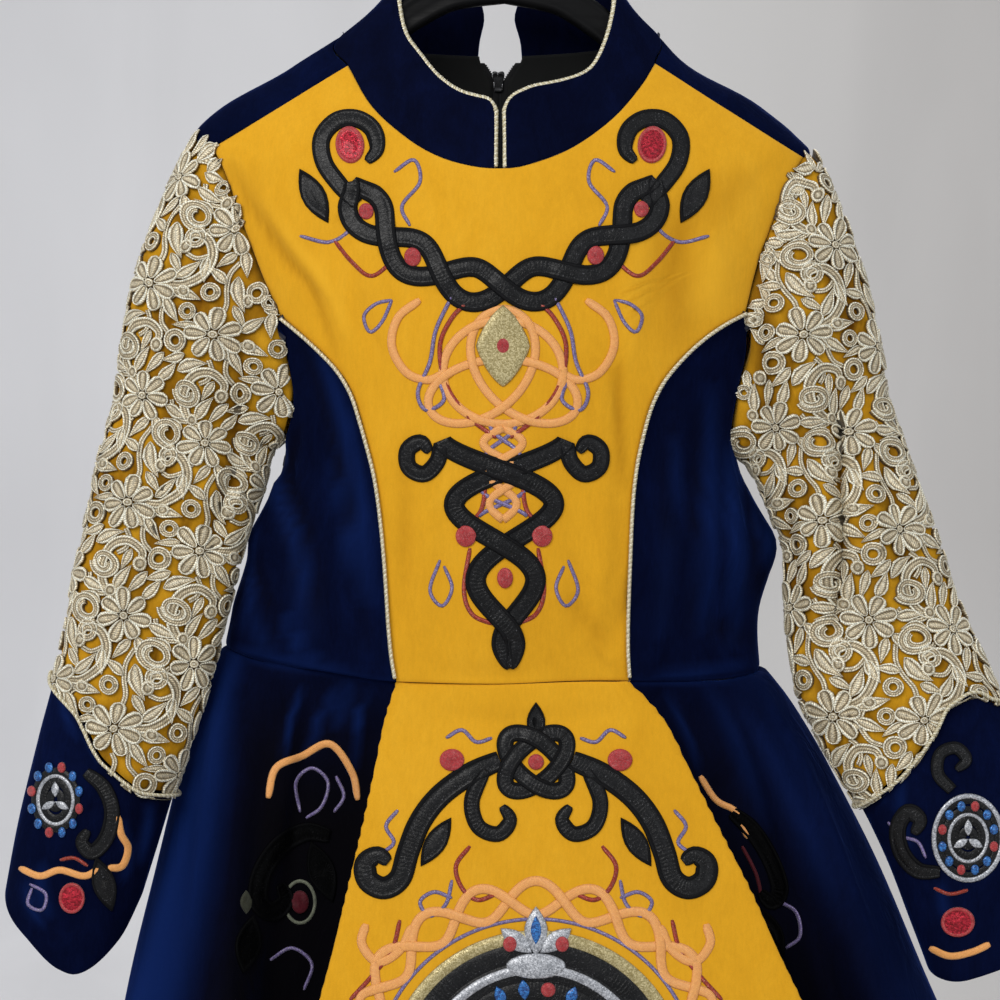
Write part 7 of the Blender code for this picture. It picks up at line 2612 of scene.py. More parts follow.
# ---- front of the bodice
front_skin = Skin([SKINS["front"]])
F = Set(front_skin)
MID = 503.0

# the necklace: two bands wound along an arc from shoulder to shoulder
arc = dense([(352, 182), (376, 226), (420, 262), (462, 282), (503, 288), (544, 282), (586, 262), (630, 226),
             (656, 180)], 2.6)


def neck_amp(t):
    return 17.5 * np.clip(np.minimum(t, 1 - t) / 0.05, 0, 1) ** 0.5


ropes = strands_along(arc, neck_amp, 3.0, 0.0)
F.black.weave(ropes, [False, False], [band_half(len(ropes[0]), 10.0, 0.7, 0.7, 0.05)] * 2, APPLIQUE, 0.9, 15.0)
# red ovals in its eyes
tan = np.gradient(arc, axis=0)
eyes = [np.array([np.interp((k + 0.5) / 6.0, np.linspace(0, 1, len(arc)), arc[:, i]) for i in (0, 1)])
        for k in range(6)]
# the ends turn up and outward in a hook round a large red oval
for s in (-1, 1):
    def fx(points, s=s):
        return points if s < 0 else mirror(points, MID, 3.0)
    sx_ = -7.0 if s < 0 else 0.0
    hookline = dense([(x + sx_, y) for x, y in fx([(364, 204), (346, 184), (331, 162), (329, 138), (344, 121),
                                                    (364, 119), (380, 130), (384, 149), (374, 162)])], 2.6)
    F.applique(hookline, band_half(len(hookline), 9.0, 0.75, 0.35, 0.16))
    c = fx([(357, 145)])[0]
    c = (c[0] + sx_, c[1])
    F.big_gem(c[0], c[1], 14.5, 18.5, 6.0 * s)
    tip = fx([(314, 196)])[0]
    F.black_patch(leaf_px(tip[0], tip[1], 62, 25, 62 if s < 0 else 118), tip)
    # thin lines about the shoulder
    F.thread("purple", fx([(300, 236), (330, 242), (352, 226), (350, 200)]), 2.2)
    F.thread("purple", fx([(394, 172), (414, 160), (420, 182), (402, 206), (410, 226)]), 2.2)
    F.thread("red", fx([(396, 258), (372, 276), (352, 262), (334, 240)]), 2.4)
    F.thread("red", fx([(392, 120), (416, 126), (428, 144), (424, 164)]), 2.4)
for k, e in enumerate(eyes):
    if k in (1, 4):
        F.small_gem(e[0], e[1], 8.5, 1.15)
    elif k in (0, 5):
        F.small_gem(e[0], e[1], 7.5, 1.1)

# below it: a peach trefoil knot through a peach ring
t = np.linspace(0, 2 * math.pi, 150)[:-1]
tre = np.stack([MID + 30.0 * (np.sin(t) + 1.75 * np.sin(2 * t)), 378.0 + 25.0 * (np.cos(t) - 1.75 * np.cos(2 * t))], 1)
loop = oval(MID, 372.0, 60.0, 52.0, 110)
F.peach.weave([tre, loop], [True, True], 4.4, THREAD, 0.75, 8.0)
# gold lozenge with a red oval hangs between
lo = [(MID, 306), (MID + 27, 344), (MID, 388), (MID - 27, 344)]
F.gold.blob(dense(lo + lo[:1], 4.0)[:-1] if False else np.array(
    [(MID + 27 * math.copysign(abs(math.cos(a)) ** 1.5, math.cos(a)),
      346 + 41 * math.copysign(abs(math.sin(a)) ** 1.5, math.sin(a))) for a in np.linspace(0, 2 * math.pi, 41)[:-1]]),
    (MID, 346), [(0.03, 1.2), (0.10, 1.75), (0.30, 1.6), (0.9, 1.6)], [0, 0, 0, 0, 0], low=0.3)
F.small_gem(MID, 346, 10.5, 1.2)

# purple and red lines that wind down from it
for s in (-1, 1):
    def fx(points, s=s):
        return points if s < 0 else mirror(points, MID)
    F.thread("purple", fx([(452, 296), (436, 330), (430, 362), (418, 392), (426, 410), (444, 400), (438, 378)]), 2.3,
             0.3)
    F.thread("red", fx([(470, 300), (452, 318), (440, 346), (446, 384), (468, 416), (496, 438)]), 2.6, 0.3)
    F.thread("peach", fx([(420, 300), (398, 318), (392, 346), (406, 372), (428, 380), (446, 372)]), 4.2, 0.15)
    F.thread("purple", fx([(392, 300), (382, 322), (370, 332), (364, 316), (376, 304), (392, 300)]), 2.1)

# a peach and purple chain narrows down to the column
chain = dense([(MID, 428), (MID, 470), (MID, 520)], 2.4)
ch = strands_along(chain, lambda t: 21.0 - 9.0 * t, 1.5, 0.0)
F.peach.weave(ch, [False, False], 4.2, THREAD, 0.7, 8.0)
ch2 = strands_along(dense([(MID, 420), (MID, 470), (MID, 516)], 2.4), lambda t: 12.0 + 14.0 * t, 1.5, 1.2)
F.purple.weave(ch2, [False, False], 2.2, LINE, 0.5, 6.0)

# the column: two black bands winding down to a point, red in each eye
col = dense([(MID + 1, 440), (MID + 1, 500), (MID + 2, 560), (MID + 4, 620), (MID + 7, 668)], 2.6)


def col_amp(t):
    return np.interp(t, [0.0, 0.12, 0.45, 0.8, 1.0], [62.0, 60.0, 40.0, 20.0, 0.0])


cols_ = strands_along(col, col_amp, lambda t: 0.25 + 1.5 * t ** 0.9, 0.0)
F.black.weave(cols_, [False, False], [band_half(len(cols_[0]), 10.5, 0.9, 0.35, 0.10)] * 2, APPLIQUE, 0.9, 15.0)
for s in (-1, 1):
    def fx(points, s=s):
        return points if s < 0 else mirror(points, MID + 1)
    top = dense(fx([(441, 446), (437, 462), (424, 474), (409, 467), (408, 450), (421, 442), (430, 452)]), 2.4)
    F.applique(top, band_half(len(top), 8.5, 0.9, 0.4, 0.2))
    F.small_gem(*fx([(466, 536)])[0], 10.5, 1.05)
    F.thread("red", fx([(470, 548), (464, 590), (472, 614), (492, 624)]), 2.6)
    F.thread("red", fx([(472, 452), (484, 480), (482, 508), (470, 524)]), 2.6)
    F.thread("purple", fx([(440, 560), (430, 590), (442, 606), (452, 588), (444, 566)]), 2.1)
F.small_gem(MID + 2, 578, 8.0, 1.3)
F.made = F.build("bodice_art")

# ---- skirt panel
panel_skin = Skin([SKINS["skirt_front"]])
P = Set(panel_skin)
PX = 530.0
# two long bands sweep down from a ring knot, each ending in a coil
for s in (-1, 1):
    def fx(points, s=s):
        return points if s < 0 else mirror(points, PX, 6.0 if False else 12.0)
    wing = [(500, 760), (470, 774), (440, 796), (420, 822), (408, 852)]
    curl = coil_in(384, 858, 24, 6, 0, 0.0) if False else [(400, 878), (384, 888), (368, 880), (366, 863), (378, 855),
                                                            (389, 862)]
    line = dense(fx(wing + curl), 2.6)
    P.applique(line, band_half(len(line), 11.5, 0.8, 0.4, 0.14))
    branch = dense(fx([(486, 770), (472, 800), (478, 826), (498, 834), (510, 820), (502, 806)]), 2.6)
    P.applique(branch, band_half(len(branch), 8.0, 0.5, 0.4, 0.2))
    leafc = fx([(436, 842)])[0]
    P.black_patch(leaf_px(leafc[0], leafc[1], 58, 22, -58 if s < 0 else 58 + 180), leafc)
    P.small_gem(*fx([(452, 760)])[0], 12.5, 0.9)
    P.thread("purple", fx([(492, 738), (476, 742), (462, 730), (446, 738)]), 2.3)
    P.thread("purple", fx([(398, 810), (386, 826), (394, 842), (384, 852)]), 2.3)
    P.thread("purple", fx([(452, 880), (446, 904), (430, 916), (420, 902), (434, 892), (452, 898)]), 2.3)
    P.thread("red", fx([(470, 846), (456, 866), (462, 888), (478, 900), (500, 892)]), 2.6)
    P.thread("red", fx([(350, 1000), (372, 976), (392, 950), (400, 920)]), 2.6)
    P.thread("peach", fx([(366, 924), (362, 944), (378, 962), (400, 950), (412, 926)]), 4.6)
ringa = oval(PX + 6, 762, 38, 19, 80, 42)
ringb = oval(PX + 6, 762, 38, 19, 80, -42)
P.black.weave([ringa, ringb], [True, True], 8.6, APPLIQUE, 0.9, 13.0)
P.small_gem(PX + 6, 762, 8.0, 1.0)
leafc = (PX + 6, 722)
P.black_patch(leaf_px(PX + 6, 722, 40, 19, 90), leafc)

# the roundel at the frame's foot
RX, RY, RR = 536.0, 1082.0, 152.0


def ring_patch(art, cx, cy, outer, inner, h, n=90, slots=0, squash=1.0, low=0.02):
    mid, half = (outer + inner) / 2, (outer - inner) / 2
    art.strip(oval(cx, cy, mid, mid * squash, n), half,
              [(-1.0, h * 0.4, slots), (-0.86, h, slots), (0.0, h * 1.08, slots), (0.86, h, slots),
               (1.0, h * 0.4, slots)], True, None, low)


# black ground in strips from ring to ring, so that it lies on the cloth
for k in range(7):
    ro = 140.0 - 20.0 * k
    P.black.strip(oval(RX, RY, ro - 9.5, ro - 9.5, 80 if k < 5 else 40), 10.6,
                  [(-1.0, 0.35, 0), (-0.9, 0.62, 0), (0.0, 0.70, 0), (0.9, 0.62, 0), (1.0, 0.35, 0)], True)
ring_patch(P.gold, RX, RY, RR, 139.0, 1.3, 100)
ring_patch(P.silver, RX, RY, 118.0, 108.0, 1.35, 90, low=0.5)
ring_patch(P.silver, RX, RY, 78.0, 70.0, 1.35, 70, low=0.5)
for k in range(24):
    a = math.radians(15.0 * k + 7.5)
    c = (RX + 93 * math.cos(a), RY + 93 * math.sin(a))
    if k % 3 == 0:
        P.gem.blob(oval(c[0], c[1], 7.5, 7.5, 18), c, [(0.05, 1.2), (0.2, 1.6), (0.8, 1.8)], [1, 1, 1, 1], low=0.5)
    else:
        o = leaf_px(c[0], c[1], 21, 12, math.degrees(a))
        P.blue.blob(o, c, [(0.05, 1.1), (0.2, 1.4), (0.8, 1.5)], low=0.5)
for k in range(6):
    a = math.radians(60.0 * k + 30)
    c = (RX + 34 * math.cos(a), RY + 34 * math.sin(a))
    P.silver.blob(leaf_px(c[0], c[1], 56, 22, math.degrees(a)), c, [(0.04, 1.2), (0.14, 1.6), (0.8, 1.8)], low=0.5)
P.gem.blob(oval(RX, RY, 15, 15, 28), (RX, RY), [(0.04, 1.6), (0.14, 2.1), (0.3, 2.1), (0.8, 2.5)], [1, 1, 0, 0, 0],
           low=0.5)
# over its head: a silver fleuron with a blue heart, two red studs
for a, ln, w in ((-90, 50, 24), (-142, 40, 19), (-38, 40, 19)):
    c = (RX + 25 * math.cos(math.radians(a)), 956 + 25 * math.sin(math.radians(a)))
    P.silver.blob(leaf_px(c[0], c[1], ln, w, a), c, [(0.04, 1.5), (0.14, 2.0), (0.8, 2.2)], low=0.9)
P.silver.blob(oval(RX, 966, 30, 13, 30), (RX, 966), [(0.05, 1.5), (0.18, 2.0), (0.8, 2.1)], low=0.9)
P.blue.blob(leaf_px(RX, 930, 30, 11, 90), (RX, 930), [(0.06, 2.35), (0.2, 2.6), (0.8, 2.7)], low=1.8)
for s in (-1, 1):
    P.gem.blob(oval(RX + 26 * s, 944, 7, 8, 20), (RX + 26 * s, 944), [(0.05, 2.3), (0.2, 2.6), (0.8, 2.8)],
               [1, 1, 1, 1], low=1.6)

# peach guilloche over the roundel, from flank to flank
ang = np.radians(np.linspace(-158, -22, 190))
base = np.stack([RX + 184 * np.cos(ang), RY + 184 * np.sin(ang)], 1)
gu = strands_along(base, lambda t: 17.0 * np.clip(np.minimum(t, 1 - t) / 0.04, 0, 1) ** 0.5, 4.0, math.pi / 2)
P.peach.weave(gu, [False, False], [band_half(len(base), 5.0, 0.6, 0.6, 0.05)] * 2, THREAD, 0.8, 9.0)
arc2 = np.stack([RX + 163 * np.cos(ang), RY + 163 * np.sin(ang)], 1)
P.thread("purple", arc2, 2.2, 0.0, raw=True)
P.made = P.build("skirt_art")

# ---- cuffs
CUFF_ART = {}
for side, tag in ((-1, "left"), (1, "right")):
    skin = Skin([SKINS["cuff_" + tag]])
    Cf = Set(skin)
    CUFF_ART[side] = Cf
    if side < 0:
        cx, cy, rx, ry = 56.0, 800.0, 31.0, 43.0
    else:
        cx, cy, rx, ry = 968.0, 838.0, 34.0, 42.0
    k_ = rx / 40.0
    for q in range(4):
        f = 0.93 - 0.24 * q
        Cf.black.strip(oval(cx, cy, rx * f - 1.0, ry * f - 1.0, 44), rx * 0.125,
                       [(-1.0, 0.35, 0), (-0.9, 0.6, 0), (0.9, 0.6, 0), (1.0, 0.35, 0)], True)
    Cf.silver.strip(oval(cx, cy, rx, ry, 50), 2.4, LINE, True, np.full(50, 0.5))
    Cf.silver.strip(oval(cx, cy, rx * 0.56, ry * 0.56, 36), 1.8, LINE, True, np.full(36, 0.5))
    for q in range(12):
        a = math.radians(30.0 * q + 15)
        c = (cx + rx * 0.78 * math.cos(a), cy + ry * 0.78 * math.sin(a))
        o = oval(c[0], c[1], rx * 0.13, ry * 0.13, 12)
        if q % 3 == 0:
            Cf.gem.blob(o, c, [(0.1, 1.3), (0.5, 1.6)], [1, 1, 1], low=0.5)
        else:
            Cf.blue.blob(o, c, [(0.1, 1.1), (0.5, 1.35)], low=0.5)
    for q in range(3):
        a = math.radians(120.0 * q - 90)
        c = (cx + rx * 0.25 * math.cos(a), cy + ry * 0.25 * math.sin(a))
        Cf.silver.blob(leaf_px(c[0], c[1], rx * 0.5, rx * 0.24, math.degrees(a)), c,
                       [(0.05, 1.2), (0.2, 1.5), (0.8, 1.6)], low=0.5)
    if side < 0:
        curl = dense([(58, 752), (68, 738), (66, 722), (54, 716), (46, 726), (54, 736)], 2.4)
        Cf.applique(curl, band_half(len(curl), 6.5, 0.9, 0.4, 0.2))
        b = dense([(86, 772), (104, 788), (112, 812), (106, 838), (92, 852), (82, 842), (88, 830)], 2.4)
        Cf.applique(b, band_half(len(b), 8.0, 0.6, 0.4, 0.2))
        Cf.black_patch(leaf_px(104, 884, 58, 24, 74), (104, 884))
        Cf.big_gem(72, 898, 13.0, 15.5)
        Cf.thread("peach", [(118, 816), (121, 834), (128, 848), (122, 866), (108, 868)], 3.8)
        Cf.thread("peach", [(20, 868), (40, 876), (60, 870), (84, 876), (100, 868)], 3.6)
        Cf.thread("purple", [(30, 884), (46, 894), (42, 910), (28, 904), (32, 888)], 2.0)
        Cf.thread("red", [(60, 860), (74, 858), (88, 866)], 2.2)
    else:
        curl = dense([(952, 790), (938, 774), (940, 754), (956, 748), (966, 760), (956, 770)], 2.4)
        Cf.applique(curl, band_half(len(curl), 6.5, 0.9, 0.4, 0.2))
        b = dense([(940, 872), (918, 870), (902, 852), (898, 828), (908, 812), (920, 820), (914, 834)], 2.4)
        Cf.applique(b, band_half(len(b), 8.5, 0.6, 0.4, 0.2))
        Cf.black_patch(leaf_px(918, 906, 62, 26, 62), (918, 906))
        Cf.big_gem(958, 922, 17.0, 15.0)
        Cf.thread("peach", [(930, 796), (910, 792), (890, 800), (894, 824), (884, 846), (898, 866), (910, 884)], 3.8)
        Cf.thread("peach", [(930, 948), (950, 956), (972, 952), (990, 944)], 3.6)
        Cf.thread("purple", [(888, 822), (902, 836), (918, 842), (926, 858)], 2.0)
        Cf.thread("red", [(934, 888), (950, 894), (968, 890)], 2.2)
    Cf.made = Cf.build("cuff_art_" + tag)

# ---- the pleats beside the panel, mostly in shadow
SIDE_ART = {}
for side, tag in ((-1, "left"), (1, "right")):
    skin = Skin([SKINS["skirt_" + tag]])
    S_ = Set(skin)
    SIDE_ART[side] = S_
    if side < 0:
        S_.thread("peach", [(268, 798), (276, 768), (302, 756), (330, 744), (352, 772), (358, 800)], 3.8)
        S_.thread("purple", [(300, 812), (296, 782), (312, 768), (328, 782), (322, 806), (306, 818)], 2.1)
        S_.thread("purple", [(336, 776), (344, 796), (334, 812)], 2.1)
        b = dense([(330, 836), (306, 832), (280, 846), (262, 872), (258, 900), (272, 912), (286, 900), (280, 884)],
                  2.8)
        S_.applique(b, band_half(len(b), 10.0, 0.6, 0.4, 0.18))
        S_.black_patch(leaf_px(322, 872, 66, 28, 70), (322, 872))
        S_.black_patch(leaf_px(248, 944, 60, 26, 100), (248, 944))
        S_.small_gem(300, 902, 9.0, 1.3)
        S_.silver.strip(oval(300, 902, 15, 21, 36), 1.8, LINE, True)
        S_.gold.blob(leaf_px(246, 902, 24, 12, 90), (246, 902), [(0.06, 0.9), (0.2, 1.2), (0.8, 1.2)])
        S_.thread("purple", [(270, 960), (292, 948), (312, 964), (304, 990)], 2.1)
    else:
        S_.thread("peach", [(700, 776), (716, 800), (736, 812), (748, 838)], 3.4)
        b = dense([(732, 812), (752, 830), (770, 858), (780, 888), (772, 902), (760, 892)], 2.8)
        S_.applique(b, band_half(len(b), 9.0, 0.6, 0.4, 0.18))
        S_.black_patch(leaf_px(772, 936, 60, 24, 70), (772, 936))
        S_.thread("purple", [(776, 900), (796, 912), (800, 936), (786, 948)], 2.1)
        S_.thread("red", [(742, 846), (756, 874), (762, 900)], 2.2)
    S_.made = S_.build("skirt_art_" + tag, True)

# ------------------------------------------------------------------ cords, facing, zip, hanger

def tube_rings(line, radius, sides, closed=False, turn=0.0):
    """Rings of a tube along a line of points, with a steady frame."""
    line = np.asarray(line, float)
    n = len(line)
    tan = (np.roll(line, -1, 0) - np.roll(line, 1, 0)) if closed else np.gradient(line, axis=0)
    tan /= np.maximum(np.linalg.norm(tan, axis=1, keepdims=True), 1e-9)
    up = np.array([0.0, 1.0, 0.0]) if abs(tan[0][1]) < 0.9 else np.array([1.0, 0.0, 0.0])
    ref = unit(up - tan[0] * np.dot(up, tan[0]))
    frames = [ref]
    for k in range(1, n):
        r = frames[-1] - tan[k] * np.dot(frames[-1], tan[k])
        frames.append(unit(r))
    frames = np.array(frames)
    if closed:
        last = frames[-1] - tan[0] * np.dot(frames[-1], tan[0])
        side0 = np.cross(tan[0], frames[0])
        off = math.atan2(np.dot(last, side0), np.dot(last, frames[0]))
        ang = -off * np.arange(n) / n
        side = np.cross(tan, frames)
        frames = frames * np.cos(ang)[:, None] + side * np.sin(ang)[:, None]
    side = np.cross(tan, frames)
    return line, frames, side


def tube_mesh(name, line, radius, sides=8, closed=False, mat=None, parts=None):
    line, f, s = tube_rings(line, radius, sides, closed)
    radius = np.broadcast_to(np.asarray(radius, float), (len(line),))
    n = len(line)
    t = 2 * math.pi * np.arange(sides) / sides
    ring = (f[:, None] * np.cos(t)[None, :, None] + s[:, None] * np.sin(t)[None, :, None]) * radius[:, None, None]
    v = (line[:, None] + ring).reshape(-1, 3)
    run = np.concatenate([[0], np.cumsum(np.linalg.norm(np.diff(line, axis=0), axis=1))])
    uv = np.stack([np.repeat(run, sides), np.tile(t * radius.mean(), n)], 1)
    faces = []
    for k in range(n if closed else n - 1):
        a, b = k * sides, ((k + 1) % n) * sides
        for i in range(sides):
            j = (i + 1) % sides
            faces.append([a + i, a + j, b + j, b + i])
    if not closed:
        faces.append(list(range(sides))[::-1])
        faces.append([(n - 1) * sides + i for i in range(sides)])
    if parts is not None:
        base = sum(len(p[0]) for p in parts)
        parts.append((v, [[base + q for q in fc] for fc in faces], uv))
        return None
    return v, faces, uv


def even_line(points, step, closed=False):
    """Points at an even step along a smooth line."""
    pts = [np.array(p, float) for p in points]
    if closed:
        pts = pts[-2:] + pts + pts[:3]
        path = Path(pts, 10)
        seg = 10
        p = path.p[2 * seg:-(2 * seg) or None]
    else:
        p = Path(pts, 10).p
    d = np.concatenate([[0], np.cumsum(np.linalg.norm(np.diff(p, axis=0), axis=1))])
    n = max(4, int(round(d[-1] / step)))
    t = np.linspace(0, d[-1], n + 1)
    if closed:
        t = t[:-1]
    return np.stack([np.interp(t, d, p[:, k]) for k in range(3)], 1)


def twist(name, points, radius, mats, replaces, closed=False, step=0.58, pitch=3.4, sides=6):
    """Two threads, a light and a dark one, wound round each other along a line."""
    line = even_line(points, step, closed)
    line, f, s = tube_rings(line, 1.0, 4, closed)
    run = np.concatenate([[0], np.cumsum(np.linalg.norm(np.diff(line, axis=0), axis=1))])
    total = run[-1] + (np.linalg.norm(line[0] - line[-1]) if closed else 0.0)
    turns = max(1, round(total / pitch))
    parts, slots = [], []
    strand = radius * 0.60
    for k in range(2):
        ang = 2 * math.pi * turns * run / total + math.pi * k
        pts = line + (f * np.cos(ang)[:, None] + s * np.sin(ang)[:, None]) * (radius - strand)
        tube_mesh(name, pts, strand, sides, closed, parts=parts)
        slots += [k] * len(parts[-1][1])
    v = np.vstack([p[0] for p in parts])
    faces = [q for p in parts for q in p[1]]
    uv = np.vstack([p[2] for p in parts])
    ob = new_object(name, mesh_from(name, v, faces, uv, slots=slots), mats[0])
    ob.data.materials.append(mats[1])
    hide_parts(replaces)
    CORD_LINES[name] = (line, closed)
    return ob


def beside(route, norms, inner, far):
    """A line at a distance outside an edge: away from the point inner."""
    tan = np.gradient(route, axis=0)
    out = np.cross(norms, tan)
    out /= np.maximum(np.linalg.norm(out, axis=1, keepdims=True), 1e-9)
    m = len(route) // 2
    if np.dot(out[m], route[m] - inner) < 0:
        out = -out
    return route + out * far


CORDS, CORD_LINES = {}, {}
TWO = (CORD_MAT, CORD_DARK)
for side, tag in ((-1, "left"), (1, "right")):
    # princess seams
    seam = seam_princess(side)
    pts = [body(a, d, BRAID_R + 0.75) for a, d in seam[::3]]
    if (len(seam) - 1) % 3:
        pts.append(body(seam[-1][0], seam[-1][1], BRAID_R + 0.75))
    smooth = Path(pts, 6)
    pts = [smooth.at(0.010 + 0.980 * i / 40) for i in range(41)]
    CORDS["princess", side] = twist("princess_cord_" + tag, pts, 1.32, TWO, "princess_piping_" + tag, pitch=2.9)

    # collar: up the slit, round the corner and along the top edge
    a, n, _w, _m = SKINS["collar_" + tag]
    rows, cols = a.shape[:2]
    mid = a - n * (COLLAR_WALL / 2)
    route = np.vstack([mid[rows - 2:0:-1, 0], mid[0]])
    norms = np.vstack([n[rows - 2:0:-1, 0], n[0]])
    d = np.concatenate([[0], np.cumsum(np.linalg.norm(np.diff(route, axis=0), axis=1))])
    t = np.arange(0.8, d[-1], 1.5)
    route = np.stack([np.interp(t, d, route[:, k]) for k in range(3)], 1)
    norms = np.stack([np.interp(t, d, norms[:, k]) for k in range(3)], 1)
    for _ in range(3):
        route[1:-1] = route[1:-1] * 0.5 + (route[:-2] + route[2:]) * 0.25
    line = beside(route, norms, a[rows // 2, cols // 2], 1.15)
    CORDS["collar", side] = twist("collar_cord_" + tag, line, 1.78, TWO, "collar_piping_" + tag, pitch=3.3)

    # cuff: just above the cuff's top edge
    ring = []
    for t in range(0, 360, 9):
        s = CUFF_TOP[side].at(t)[0]
        ring.append(sleeve_at(side, t, s, -(PIPING_R + 0.75)))
    CORDS["cuff", side] = twist("cuff_cord_" + tag, ring, PIPING_R + 0.12, TWO, "cuff_piping_" + tag,
                                closed=True, pitch=3.2)

FACINGS, TAPES = {}, {}
FACING_RISE = 1.6          # it goes on a little way inside the collar
for side, tag in ((-1, "left"), (1, "right")):
    rows_f = np.linspace(0, 1, 25)
    a = np.zeros((25, 57, 3))
    for i, ti in enumerate(rows_f):
        drop = 110.2 + 38.3 * ti
        gap = max(BACK_GAP.at(drop)[0], 4.8) + 0.3
        c0, w0 = BODY.at(drop)[:2]
        start = side * 180.0 - math.degrees(math.asin((CENTRE_BACK + side * gap - c0) / w0))
        end = side * (112.0 + 6.0 * ti)
        for j in range(57):
            ang = start + (end - start) * j / 56
            top = np.interp(abs(ang), [q[0] for q in NECK_BACK], [q[1] for q in NECK_BACK]) - FACING_RISE
            here = max(drop, top) if ti > 0.3 else top + (drop - 110.2) * (121.7 - top) / 11.5
            a[i, j] = body(ang, here, -(WALL + 1.6 + 0.35 * math.sin(j * 0.31) * ti))
    n = outward(a)
    if np.sum(n[..., 1]) < 0:
        n = -n
    ob = shell("neck_facing_" + tag + "_cloth", a, n, FACING_WALL, FACING)
    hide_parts("neck_facing_" + tag)
    FACINGS[side] = (ob, a)

    drops = list(np.linspace(112.5, 130.0, 9)) + list(np.linspace(140.0, WAIST.at(180.0)[0], 44))
    a = []
    for drop in drops:
        spread = 9.5 * max(0.0, (126.0 - drop) / 13.5)
        c0, w0 = BODY.at(drop)[:2]
        a.append([body(side * 180.0 - math.degrees(math.asin((CENTRE_BACK + side * (0.2 + spread + 4.4 * j / 2)
                                                             - c0) / w0)), drop, -(WALL + 0.5)) for j in range(5)])
    for fall in np.linspace(4, 104, 15):
        p, q = skirt_at(side, 5.5, fall), skirt_at(side, 6.0, fall)
        row = []
        for j in range(5):
            x = CENTRE_BACK + side * (0.2 + 4.4 * j / 2)
            t = (x - p[0]) / (q[0] - p[0])
            row.append(np.array([x, p[1] + (q[1] - p[1]) * t - (WALL + 0.5), q[2]]))
        a.append(row)
    a = np.array(a)
    n = outward(a)
    if np.sum(n[..., 1]) < 0:
        n = -n
    ob = shell("zip_tape_" + tag + "_cloth", a, n, 1.1, TAPE)
    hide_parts("zip_tape_" + tag)
    TAPES[side] = (ob, a)

# The coil: small teeth on both tapes, meeting below the slider.
verts, faces, uvs = [], [], []
drop = 114.0
k = 0
while drop < 594.0:
    for side in (-1, 1):
        d = drop + (0.6 if side > 0 else 0.0)
        spread = 9.5 * max(0.0, (126.0 - d) / 13.5)
        x = CENTRE_BACK + side * (0.35 + spread)
        if d < WAIST.at(180.0)[0]:
            c0, w0 = BODY.at(d)[:2]
            p = body(side * 180.0 - math.degrees(math.asin((x - c0) / w0)), d, -(WALL + 0.15))
        else:
            q0, q1 = skirt_at(side, 5.5, d - 485.0), skirt_at(side, 6.0, d - 485.0)
            t = (x - q0[0]) / (q1[0] - q0[0])
            p = np.array([x, q0[1] + (q1[1] - q0[1]) * t - (WALL + 0.15), -d])
        base = len(verts)
        for dx in (-0.95, 0.95):
            for dy in (-0.55, 0.30):
                for dz in (-0.38, 0.38):
                    verts.append(p + np.array([dx + side * 0.25, dy, dz]))
                    uvs.append((0, 0))
        faces += [[base + i for i in f] for f in
                  ((0, 1, 3, 2), (4, 6, 7, 5), (0, 4, 5, 1), (2, 3, 7, 6), (0, 2, 6, 4), (1, 5, 7, 3))]
    drop += 1.2
coil = new_object("zip_coil_teeth", mesh_from("zip_coil", np.array(verts), faces, np.array(uvs), smooth=False),
                  COIL_MAT)

ob = bpy.data.objects.get("zip_pull")
if ob is not None:
    ob.data.materials.clear()
    ob.data.materials.append(ZIP_MAT)

# The slider, in its own frame: u across, v out of the back, w up.  Two bell
# plates with turned-in rails, a diamond between them, and a bridge for the pull.
SLIDER_DROP = 122.0
SLIDER_AT = body(180.0 - math.degrees(math.asin((CENTRE_BACK - BODY.at(SLIDER_DROP)[0]) / BODY.at(SLIDER_DROP)[1])),
                 SLIDER_DROP)
SLIDER_SLOPE = math.atan2(BODY.at(SLIDER_DROP + 14)[3] - BODY.at(SLIDER_DROP - 6)[3], 20.0)
BELL = [(-1.9, -4.6), (-2.35, -4.4), (-2.55, -3.6), (-2.6, -2.0), (-2.75, -0.6), (-3.15, 0.8), (-3.6, 2.2), (-3.75, 3.3),
        (-3.45, 4.3), (-2.7, 4.75), (-1.7, 4.8), (-0.9, 4.5), (0.0, 4.35)]


def slider_point(u, v, w):
    c, s = math.cos(SLIDER_SLOPE), math.sin(SLIDER_SLOPE)
    w = w * 1.34 - 1.7
    return np.array([SLIDER_AT[0] + u * 1.06 - 1.1, SLIDER_AT[1] + v * c - w * s, SLIDER_AT[2] + v * s + w * c])


def bell_plate(parts, v_in, v_out, rail):
    """A plate whose outer face is crowned and whose border stands up as a rail."""
    half = [np.array(p) for p in BELL]
    line = half + [np.array((-p[0], p[1])) for p in half[-2::-1]]
    line = np.array(line)
    n = len(line)
    grow = 1 if v_out > v_in else -1
    rings = [(1.0, v_in), (1.0, v_out - grow * 0.25), (0.965, v_out), (0.90, v_out + grow * rail),
             (0.80, v_out + grow * rail), (0.72, v_out + grow * 0.05), (0.45, v_out + grow * 0.15), (0.05, v_out + grow * 0.22)]
    v, uv = [], []
    for s, h in rings:
        for p in line:
            q = np.array([p[0] * s, -0.2 + (p[1] + 0.2) * s])
            v.append(slider_point(q[0], h, q[1]))
            uv.append((q[0], q[1]))
    base = sum(len(q[0]) for q in parts)
    faces = []
    for r in range(len(rings) - 1):
        for i in range(n):
            j = (i + 1) % n
            faces.append([base + r * n + i, base + r * n + j, base + (r + 1) * n + j, base + (r + 1) * n + i])
    faces.append([base + (len(rings) - 1) * n + i for i in range(n)])
    faces.append([base + i for i in range(n)][::-1])
    parts.append((np.array(v), faces, np.array(uv)))


def slider_tube(parts, route, radius, sides=10):
    pts = np.array([slider_point(*p) for p in route])
    tube_mesh("bit", pts, radius, sides, parts=parts)


